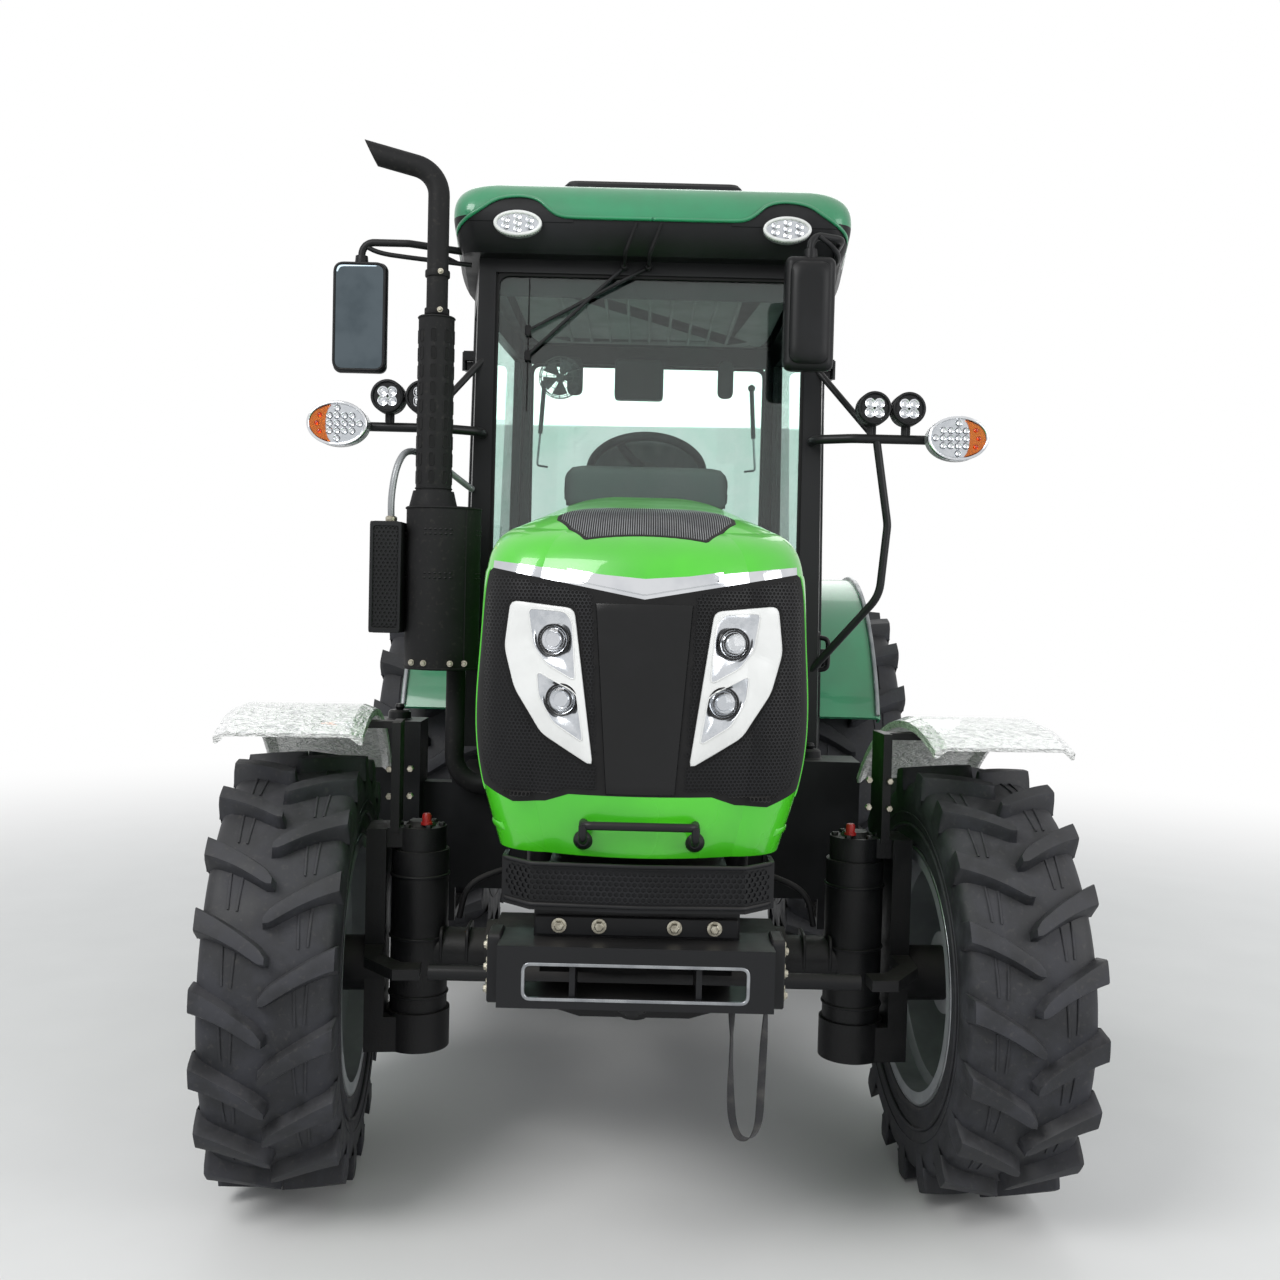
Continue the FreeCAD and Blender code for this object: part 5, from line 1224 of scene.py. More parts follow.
class TRACTOR_OT_headlamps(bpy.types.Operator):
    """Headlamps: white surrounds with two deep bowls and round glass eyes each"""

    bl_idname = "tractor.headlamps"
    bl_label = "Headlamps"

    def execute(self, context):
        lay = relief(FACE_NODES, "front", (-0.34, 1.1), (0.34, 1.56))
        # surround: a filled sheet with a bevelled edge from which the two bowls are left out
        edge = closed_line(LAMP_OUTER, 0.016, 6, 96)
        bowls = [closed_line(corners, 0.012, 5, 64) for corners in (UPPER_BOWL, LOWER_BOWL)]
        mesh = bmesh.new()
        for loop in [inset(edge, 0.0035)] + bowls:
            verts = [mesh.verts.new((x, y, 0.0075)) for x, y in loop]
            for a, b in zip(verts, verts[1:] + verts[:1]):
                mesh.edges.new((a, b))
        bmesh.ops.triangle_fill(mesh, edges=mesh.edges[:], use_beauty=True)
        bmesh.ops.recalc_face_normals(mesh, faces=mesh.faces)
        mesh.verts.index_update()
        points = np.array([v.co[:] for v in mesh.verts])
        faces = np.array([[v.index for v in f.verts] for f in mesh.faces])
        centres = points[faces].mean(1)[:, :2]
        keep = ~(inside(centres, bowls[0]) | inside(centres, bowls[1]))
        mesh.free()
        sheet = (points, [faces[keep]])
        rings = [(0.0035, 0.0075), (0.001, 0.0066), (0.0, 0.0045), (0.0, -0.004)]
        wall = grid(np.stack([raised(inset(edge, d), h) for d, h in rings]), wrap_columns=True)
        piece(
            "Headlamp_surrounds",
            mirrored(lay(joined(sheet, wall))),
            "hood",
            "Satin white",
            "lamp",
            ["headlamps"],
            30,
        )
        cups = [bowl(outline, eye, 0.0072, 0.001) for outline, eye in zip(bowls, LAMP_EYES)]
        piece("Headlamp_bowls", mirrored(lay(joined(*cups))), "hood", "Bright reflector", sharp=60)
        # eyes: a black bezel, a ring of stepped silver and a domed glass
        bezel = [
            (0.0340, 0.0), (0.0340, 0.0075), (0.0322, 0.009), (0.0298, 0.008), (0.0290, 0.003),
            (0.0290, 0.0),
        ]
        mirror_cup = [
            (0.0292, 0.0045), (0.0225, 0.002), (0.0222, 0.0035), (0.0150, 0.0015), (0.0146, 0.004),
            (0.0, 0.0045),
        ]
        dome = [(0.0300, 0.0065), (0.0280, 0.0098), (0.0200, 0.0125), (0.0100, 0.0138), (0.0, 0.0142)]
        for label, profile, finish, wrap in (
            ("Headlamp_bezels", bezel, "Gloss acrylic", True),
            ("Headlamp_mirrors", mirror_cup, "Mirror chrome", False),
            ("Headlamp_glasses", dome, "Clear lens", False),
        ):
            shape = lathe(profile, 40, wrap)
            eyes = joined(*[lay(copies(shape, [(x, z, 0)])) for x, z in LAMP_EYES])
            piece(label, mirrored(eyes), "hood", finish, sharp=50)
        # the bright edge that runs round each bowl
        beads = [
            lay(swept(raised(loop, 0.0078), circle(0.0014, 8), loop=True)) for loop in bowls
        ]
        piece("Headlamp_beads", mirrored(joined(*beads)), "hood", "Satin white", sharp=60)
        return {"FINISHED"}


class TRACTOR_OT_bonnet_face(bpy.types.Operator):
    """Black face of the bonnet: fine mesh, gloss middle panel, chrome band, top mesh and handle feet"""

    bl_idname = "tractor.bonnet_face"
    bl_label = "Bonnet face"

    def execute(self, context):
        lay = relief(FACE_NODES, "front", (-0.35, 1.04), (0.35, 1.62))
        # middle panel: a trapezoid that widens upwards, ending below the chrome strip
        z = np.linspace(1.10, 1.497, 22)
        half = 0.072 + (z - 1.10) / 0.397 * 0.030
        middle = panel(np.stack([-half, z], 1), np.stack([half, z], 1), 12, 0.0028, 0.0016)
        piece("Middle_panel", lay(middle), "hood", "Gloss acrylic", sharp=35)
        # fine mesh on both cheeks, outside the lamps and round them
        cheek = [
            (0.118, 1.106), (0.158, 1.104), (0.205, 1.090), (0.270, 1.084), (0.330, 1.112), (0.345, 1.150),
            (0.345, 1.500),
        ]
        cheek += [(0.330, 1.560), (0.108, 1.520), (0.088, 1.105)]
        points, faces = honeycomb(np.array(cheek), 0.0085, 0.0026, 0.0012, 0.004)
        # a cell has three rings of six points and two rings of six faces
        cells = points.reshape(-1, 18, 3)
        lamp = inset(rounded(LAMP_OUTER, 0.016, 6), -0.006)
        cells = cells[~inside(cells.mean(1)[:, :2], lamp)]
        mesh_part = copies((cells[0] - cells[0].mean(0), [faces[0][:12]]), cells.mean(1))
        piece(
            "Cheek_mesh",
            mirrored(lay(mesh_part, 0.0016)),
            "hood",
            "Moulded plastic",
            sharp=30,
            turned_right=True,
        )
        # raised lighter band in the middle of the chrome strip
        x = np.linspace(-0.165, 0.165, 40)
        v = 1.507 + np.abs(x) / 0.330 * 0.061
        band = panel(
            np.stack([x, v + 0.008], 1), np.stack([x, v + 0.036 - np.abs(x) * 0.03], 1), 5, 0.0045, 0.002
        )
        piece("Chrome_band", lay(band), "hood", "Mirror chrome", sharp=35)
        # crown grille: dark mesh with fine upright ribs, let into the bonnet's top
        top = relief(["hood_shell"], "top", (-0.25, -1.96), (0.25, -1.4))
        count = 62
        s = np.linspace(-1, 1, count)
        front = -1.925 + 0.125 * np.clip((np.abs(s) - 0.66) / 0.34, 0, 1)
        rear = -1.530 - 0.230 * np.abs(s) ** 3
        seat = panel(np.stack([s * 0.200, front], 1), np.stack([s * 0.200, rear], 1), 24, 0.0015, 0.001)
        piece("Top_mesh_bed", top(seat), "hood", "Rubber seal", sharp=40)
        across, along = 76, 12
        k = np.linspace(-0.97, 0.97, across)
        t = np.linspace(0, 1, along)
        y0 = np.interp(k, s, front) + 0.006
        y1 = np.interp(k, s, rear) - 0.006
        spine_x = np.broadcast_to((k * 0.194)[:, None], (across, along))
        spine = np.stack([spine_x, y0[:, None] + t * (y1 - y0)[:, None]], -1)
        lift = np.array([-0.001, 0.0034, 0.0034, -0.001])
        offset = np.array([-0.0013, -0.0008, 0.0008, 0.0013])
        rib = np.empty((across, along, 4, 3))
        rib[..., 0] = spine[..., None, 0] + offset
        rib[..., 1] = spine[..., None, 1]
        rib[..., 2] = lift
        ribs = joined(*[grid(one, wrap_columns=True, caps=True) for one in rib])
        piece("Top_mesh_ribs", top(ribs), "hood", "Lamp grey", sharp=30)
        # handle feet
        cup = lathe([(0.0, 0.012), (0.011, 0.012), (0.017, 0.006), (0.021, 0.0), (0.021, -0.004)], 24)
        feet = []
        for x in (-0.117, 0.117):
            feet.append(placed(cup, (x, -1.999, 1.0)))
            bend = [(x, -2.037, 1.037), (x, -2.038, 1.012), (x, -2.008, 1.000)]
            feet.append(tube(bend, 0.009, 0.02, 14, 7, up=(1, 0, 0)))
        piece("Handle_feet", joined(*feet), "hood", "Powder coat", sharp=40)
        return {"FINISHED"}


class TRACTOR_OT_skirt(bpy.types.Operator):
    """Honeycomb air intake under the bonnet"""

    bl_idname = "tractor.skirt"
    bl_label = "Skirt mesh"

    def execute(self, context):
        lay = relief(["nose_skirt"], "front", (-0.30, 0.85), (0.30, 0.96))
        outline = np.array([(-0.278, 0.872), (0.278, 0.872), (0.282, 0.949), (-0.282, 0.949)])
        cells = honeycomb(outline, 0.0125, 0.0034, 0.003, 0.003)
        piece("Skirt_mesh", lay(cells, 0.0034), "chassis", "Moulded plastic", sharp=30, turned_right=True)
        lips = []
        for z in (0.868, 0.953):
            line = np.stack([np.linspace(-0.284, 0.284, 60), np.full(60, z)], 1)
            lips.append(lay(swept(raised(line, 0.002), circle(0.0045, 10))))
        piece("Skirt_lips", joined(*lips), "chassis", "Powder coat", sharp=60)
        return {"FINISHED"}


class TRACTOR_OT_bumper(bpy.types.Operator):
    """Front carrier: bolt plate, bolts, drain pot, edge frames and pivot plates"""

    bl_idname = "tractor.bumper"
    bl_label = "Bumper fittings"

    def execute(self, context):
        box = slab(
            box_outline(0.430, 0.040, 0.004, 3), [(0.002, 0.0), (0, 0.002), (0, 0.010), (0.002, 0.012)]
        )
        piece("Bolt_plate", placed(box, (0.0, -1.9655, 0.812)), "chassis", "Powder coat", sharp=30)
        seats = [(x, -1.978, 0.813) for x in (-0.165, -0.080, 0.080, 0.165)]
        piece("Carrier_bolts", bolts(seats, 0.011, 0.010), "chassis", "Zinc plate")
        end = edged(box_outline(0.090, 0.148, 0.012, 5), -0.002, 0.026, 0.003)
        end = placed(end, (0.288, -1.955, 0.722), across=(0, 1, 0))
        seats = [(0.314, y, z) for y in (-1.980, -1.930) for z in (0.675, 0.722, 0.769)]
        heads = bolts(seats, 0.008, 0.009, "left")
        piece("Carrier_ends", mirrored(end), "chassis", "Powder coat", sharp=35)
        piece("Carrier_end_bolts", mirrored(heads), "chassis", "Zinc plate")
        window = box_outline(0.466, 0.072, 0.016, 6, (0, 0.712))
        ring = rim(inset(window, -0.004), inset(window, 0.003), -0.006, 0.0015, 0.001)
        piece("Slot_edge", seen(ring, "front", (0, -2.0495, 0)), "chassis", "Turned steel", sharp=35)
        pot = lathe(
            [
                (0.0, -0.036), (0.014, -0.036), (0.016, -0.030), (0.030, -0.026), (0.036, -0.014),
                (0.038, 0.002), (0.0, 0.002),
            ],
            32,
        )
        piece("Drain_pot", copies(pot, [(-0.006, -1.975, 0.658)]), "chassis", "Powder coat", sharp=40)
        return {"FINISHED"}


# Lamps


def oval(half_x, half_z, count, start=0.0):
    """Points of an ellipse, counterclockwise."""
    return circle(1, count, start) * (half_x, half_z)


def led_dome(radius):
    """A clear bubble lens: half an ellipsoid on a short foot."""
    t = np.linspace(0, math.pi / 2, 6)
    return lathe(
        np.r_[[(radius, -0.001)], np.c_[radius * np.cos(t), 0.001 + 0.55 * radius * np.sin(t)]], 18
    )


def led_cup(radius, depth):
    """A reflector cup round a bubble lens: a cone with a rolled edge."""
    return lathe(
        [
            (radius, 0.0), (radius * 0.94, 0.0012), (radius * 0.86, 0.0004), (radius * 0.5, -depth),
            (0.0, -depth),
        ],
        24,
    )


def lamp_ring(half_x, half_z, width, rise, count=56):
    """A rounded bezel along an ellipse: flat outside wall, domed front, sloping inside."""
    levels = [
        (0, -0.012), (0, rise * 0.5), (0.0015, rise * 0.85), (0.004, rise), (width * 0.7, rise),
        (width, rise * 0.45),
    ]
    levels += [(width, -0.001)]
    outline = oval(half_x, half_z, count)
    rings = [raised(inset(outline, depth), height) for depth, height in levels]
    return grid(np.stack(rings), wrap_columns=True)


# Lamp front: (x, y, z) on the driver's left, half width, half height and bezel width
ROOF_LAMP = (0.434, -0.4845, 2.700, 0.078, 0.041, 0.011)
TURN_LAMP = (0.985, -0.5685, 2.035, 0.097, 0.071, 0.010)
WORK_LAMP = [(0.720, -0.5525, 2.127, 0.052), (0.830, -0.5525, 2.127, 0.052)]


class TRACTOR_OT_lamps(bpy.types.Operator):
    """Roof lamps, turn lamps and work lamps with their light-emitting diodes"""

    bl_idname = "tractor.lamps"
    bl_label = "Lamps"

    def execute(self, context):
        x, y, z, half_x, half_z, width = ROOF_LAMP
        at = (x, y, z)
        spots = np.r_[[(0, 0)], oval(0.040, 0.0205, 6, math.pi / 6)] * (1.12, 1.0)
        centres = np.c_[spots, np.zeros(7)]
        back = edged(inset(oval(half_x, half_z, 56), width * 0.9), -0.004, 0.0006, 0.0005)
        piece(
            "Roof_lamp_rims",
            mirrored(seen(lamp_ring(half_x, half_z, width, 0.006), "front", at)),
            "chassis",
            "Satin white",
            sharp=60,
        )
        piece("Roof_lamp_seats", mirrored(seen(back, "front", at)), "chassis", "Bright reflector")
        cups = copies(led_cup(0.0135, 0.0), centres + (0, 0, 0.0012))
        domes = copies(led_dome(0.0085), centres + (0, 0, 0.0012))
        piece("Roof_lamp_cups", mirrored(seen(cups, "front", at)), "chassis", "Mirror chrome", sharp=50)
        piece("Roof_lamp_domes", mirrored(seen(domes, "front", at)), "chassis", "Clear lens", sharp=60)

        x, y, z, half_x, half_z, width = TURN_LAMP
        at = (x, y, z)
        piece(
            "Turn_lamp_rims",
            mirrored(seen(lamp_ring(half_x, half_z, width, 0.006), "front", at)),
            "chassis",
            "Mirror chrome",
            sharp=60,
        )
        face = inset(oval(half_x, half_z, 56), width * 0.9)
        piece(
            "Turn_lamp_seats",
            mirrored(seen(edged(face, -0.004, 0.0006, 0.0005), "front", at)),
            "chassis",
            "Bright reflector",
        )
        # the amber crescent on the outer side, between the bezel and a shallower ellipse
        turn = np.linspace(-1.25, 1.25, 30)
        outer = np.stack([np.cos(turn) * (half_x - width), np.sin(turn) * (half_z - width)], 1)
        inner = np.stack(
            [np.cos(turn) * (half_x - width) * 0.28 + 0.012, np.sin(turn) * (half_z - width)], 1
        )
        piece(
            "Turn_lamp_amber",
            mirrored(seen(panel(outer, inner, 12, 0.0042, 0.0015), "front", at)),
            "chassis",
            "Amber lens",
        )
        grid_x, grid_z = np.meshgrid(np.arange(-0.072, 0.03, 0.024), np.arange(-0.048, 0.05, 0.024))
        spots = np.stack([grid_x.ravel(), grid_z.ravel()], 1)
        spots = spots[inside(spots, inset(oval(half_x, half_z, 56), width + 0.011))]
        spots = spots[spots[:, 0] < 0.026]
        centres = np.c_[spots, np.full(len(spots), 0.0012)]
        piece(
            "Turn_lamp_cups",
            mirrored(seen(copies(led_cup(0.0115, 0.0), centres), "front", at)),
            "chassis",
            "Mirror chrome",
            sharp=50,
        )
        piece(
            "Turn_lamp_domes",
            mirrored(seen(copies(led_dome(0.0085), centres), "front", at)),
            "chassis",
            "Clear lens",
            sharp=60,
        )
        amber = copies(
            led_dome(0.0075), [(0.064, 0.0, 0.004), (0.055, 0.026, 0.004), (0.055, -0.026, 0.004)]
        )
        piece(
            "Turn_lamp_amber_domes", mirrored(seen(amber, "front", at)), "chassis", "Amber lens", sharp=60
        )

        bezels, cups, domes, fins = [], [], [], []
        four = np.c_[circle(0.0205, 4, math.pi / 4), np.full(4, 0.001)]
        ridges = []
        for k in range(5):
            low = -0.057 + 0.008 * k
            ridges += [(0.0535, low), (0.0535, low + 0.004), (0.048, low + 0.0042), (0.048, low + 0.0078)]
        for x, y, z, radius in WORK_LAMP:
            at = (x, y, z)
            bezels.append(seen(lamp_ring(radius + 0.001, radius + 0.001, 0.010, 0.007, 48), "front", at))
            bezels.append(
                seen(
                    lathe([(0.043, -0.002), (0.043, 0.0008), (0.0, 0.0008), (0.0, -0.002)], 36), "front", at
                ),
            )
            fins.append(seen(lathe([(0.04, -0.058)] + ridges + [(0.04, -0.016)], 36), "front", at))
            cups.append(seen(copies(led_cup(0.0175, 0.0), four), "front", at))
            domes.append(seen(copies(led_dome(0.0120), four), "front", at))
            foot = box_outline(0.030, 0.052, 0.006, 3)
            fins.append(seen(edged(foot, -0.050, -0.046, 0.0008), "front", (x, y, z - 0.055)))
        piece("Work_lamp_bezels", mirrored(joined(*bezels)), "chassis", "Moulded plastic", sharp=50)
        piece("Work_lamp_fins", mirrored(joined(*fins)), "chassis", "Powder coat", sharp=35)
        piece("Work_lamp_cups", mirrored(joined(*cups)), "chassis", "Mirror chrome", sharp=50)
        piece("Work_lamp_domes", mirrored(joined(*domes)), "chassis", "Clear lens", sharp=60)

        # rear lamps: red and amber lenses with ribs on the rear faces
        lens = slab(
            box_outline(0.078, 0.088, 0.010, 4), [(0, -0.002), (0, 0.004), (0.004, 0.007), (0.012, 0.008)]
        )
        ridge = swept(
            np.stack([np.linspace(-0.032, 0.032, 8), np.zeros(8), np.full(8, 0.0078)], 1),
            circle(0.0016, 6),
            (0, 0, 1),
        )
        rows = copies(ridge, [(0, -0.030 + 0.010 * k, 0) for k in range(7)])
        for label, x, finish in (("red", 0.735, "Red lens"), ("amber", 0.825, "Amber lens")):
            shape = seen(joined(lens, rows), "rear", (x, 1.6655, 1.345))
            piece(f"Rear_lamps_{label}", mirrored(shape), "chassis", finish, sharp=40)
        return {"FINISHED"}


# Exhaust

STACK = (-0.660, -0.660)
DRUM = (-0.626, -0.660)


def wrapped(part, middle, radius):
    """A flat shape laid round an upright cylinder: its x becomes the arc, measured from the front,
    its y the height and its z the distance out."""
    points, faces = part
    angle = points[:, 0] / radius - math.pi / 2
    out = radius + points[:, 2]
    return np.stack(
        [middle[0] + out * np.cos(angle), middle[1] + out * np.sin(angle), points[:, 1]], 1
    ), faces


def hoop(middle, radius, z, size, count=64):
    """A rounded bead round an upright cylinder."""
    path = np.c_[circle(radius, count) + np.array(middle), np.full(count, z)]
    return swept(path, circle(size, 8), (0, 0, 1), loop=True)


class TRACTOR_OT_exhaust(bpy.types.Operator):
    """Slots, louvres, clamps, seams, perforated side box and hose of the exhaust"""

    bl_idname = "tractor.exhaust"
    bl_label = "Exhaust fittings"

    def execute(self, context):
        radius, count, pitch = 0.055, 8, 0.054
        arc = 2 * math.pi * radius / count
        outline = box_outline(0.0135, 0.036, 0.006, 4)
        frame_ring = rim(inset(outline, -0.0028), outline, -0.0006, 0.0016, 0.0006)
        # each slot's near-black inset plate is painted shade that stands for the slot's depth
        dark = edged(outline, -0.001, 0.0004, 0.0003)
        places = [(arc * k, 1.862 + pitch * row, 0) for row in range(9) for k in range(count)]
        piece(
            "Shield_slot_edges",
            wrapped(copies(frame_ring, places), STACK, radius),
            "chassis",
            "Heat paint",
            sharp=40,
        )
        piece(
            "Shield_slots", wrapped(copies(dark, places), STACK, radius), "chassis", "Slot shadow", sharp=40
        )
        # louvres: two clusters of small pressed scoops on the drum's front and sides
        scoop = grid(
            np.stack(
                [
                    np.c_[
                        circle(1, 12) * (0.0055 * s, 0.0035 * s), np.full(12, 0.0034 * (1 - s**2)) - 0.0004
                    ]
                    for s in (1.0, 0.75, 0.45, 0.1)
                ],
            ),
            wrap_columns=True,
            caps=True,
        )
        spots = [
            (0.016 * c - 0.040, z + 0.014 * r, 0)
            for z in (1.685, 1.552) for r in range(2) for c in range(6)
        ]
        spots += [(x + turn, z, d) for turn in (-0.18, 0.18, 0.36) for x, z, d in spots]
        piece(
            "Drum_louvres", wrapped(copies(scoop, spots), DRUM, 0.115), "chassis", "Powder coat", sharp=60
        )
        seams = [
            hoop(DRUM, 0.1155, z, 0.0032)
            for z in (1.2745, 1.7655)
        ] + [hoop(STACK, 0.0555, z, 0.0026) for z in (1.828, 2.352)]
        seam = swept(
            np.stack(
                [np.full(30, DRUM[0] + 0.0813), np.full(30, DRUM[1] - 0.0813), np.linspace(1.28, 1.76, 30)],
                1,
            ),
            circle(0.0022, 6),
            (1, 0, 0),
        )
        band = lathe(
            [
                (0.0335, 0.0), (0.0375, 0.0005), (0.0382, 0.003), (0.0382, 0.017), (0.0375, 0.0195),
                (0.0335, 0.020),
            ],
            40,
            True,
        )
        bands = copies(band, [(STACK[0], STACK[1], z) for z in (2.362, 2.478)])
        piece("Exhaust_seams", joined(*seams, seam, bands), "chassis", "Heat paint", sharp=50)
        lugs = bolts(
            [(STACK[0] + 0.016, STACK[1] - 0.042, z + 0.010) for z in (2.362, 2.478)], 0.006, 0.010
        )
        foot = bolts(
            [
                (DRUM[0] + 0.118 * math.cos(a), DRUM[1] + 0.118 * math.sin(a), 1.292)
                for a in (-2.3, -1.9, -1.2, -0.8)
            ],
            0.0065,
            0.008,
        )
        piece("Exhaust_bolts", joined(lugs, foot), "chassis", "Zinc plate")
        # side box: perforated sheets on its front and outer sides
        hole = honeycomb(box_outline(0.080, 0.312, 0.010, 3), 0.0135, 0.0062, 0.0022, 0.002)
        front = seen(copies(hole, [(0, 0, 0.0024)]), "front", (-0.7865, -0.755, 1.5505))
        hole = honeycomb(box_outline(0.176, 0.312, 0.010, 3), 0.0135, 0.0062, 0.0022, 0.002)
        side = seen(copies(hole, [(0, 0, 0.0024)]), "right", (-0.8315, -0.660, 1.5505))
        piece(
            "Side_box_mesh", joined(front, side), "chassis", "Moulded plastic", sharp=30, turned_right=True
        )
        edge = [
            seen(
                rim(
                    box_outline(0.094, 0.340, 0.014, 5),
                    box_outline(0.076, 0.310, 0.008, 5),
                    -0.004,
                    0.0045,
                    0.0012,
                ),
                "front",
                (-0.7865, -0.755, 1.5505),
            ),
            seen(
                rim(
                    box_outline(0.193, 0.340, 0.014, 5),
                    box_outline(0.172, 0.310, 0.008, 5),
                    -0.004,
                    0.0045,
                    0.0012,
                ),
                "right",
                (-0.8315, -0.660, 1.5505),
            ),
        ]
        piece("Side_box_frames", joined(*edge), "chassis", "Powder coat", sharp=35)
        route = [
            (-0.782, -0.700, 1.716), (-0.784, -0.702, 1.80), (-0.770, -0.690, 1.90),
            (-0.745, -0.640, 1.955), (-0.68, -0.54, 1.93), (-0.59, -0.42, 1.86), (-0.575, -0.395, 1.85),
        ]
        hose = tube(route, 0.0105, 0.06, 12, 8, up=(0.3, -0.9, 0.2))
        collar = lathe(
            [(0.0, 0.0), (0.017, 0.0), (0.018, 0.004), (0.018, 0.016), (0.014, 0.020), (0.0, 0.020)], 20
        )
        piece("Side_hose", hose, "chassis", "Lamp grey", sharp=60)
        piece("Hose_collars", copies(collar, [(-0.782, -0.700, 1.7185)]), "chassis", "Zinc plate")
        return {"FINISHED"}


# Cab outside


def glass_y(z, ahead=0.0):
    """The windscreen's outer face at a height."""
    return -0.402 + 0.07 / 1.62 * (z - 1.0) - ahead


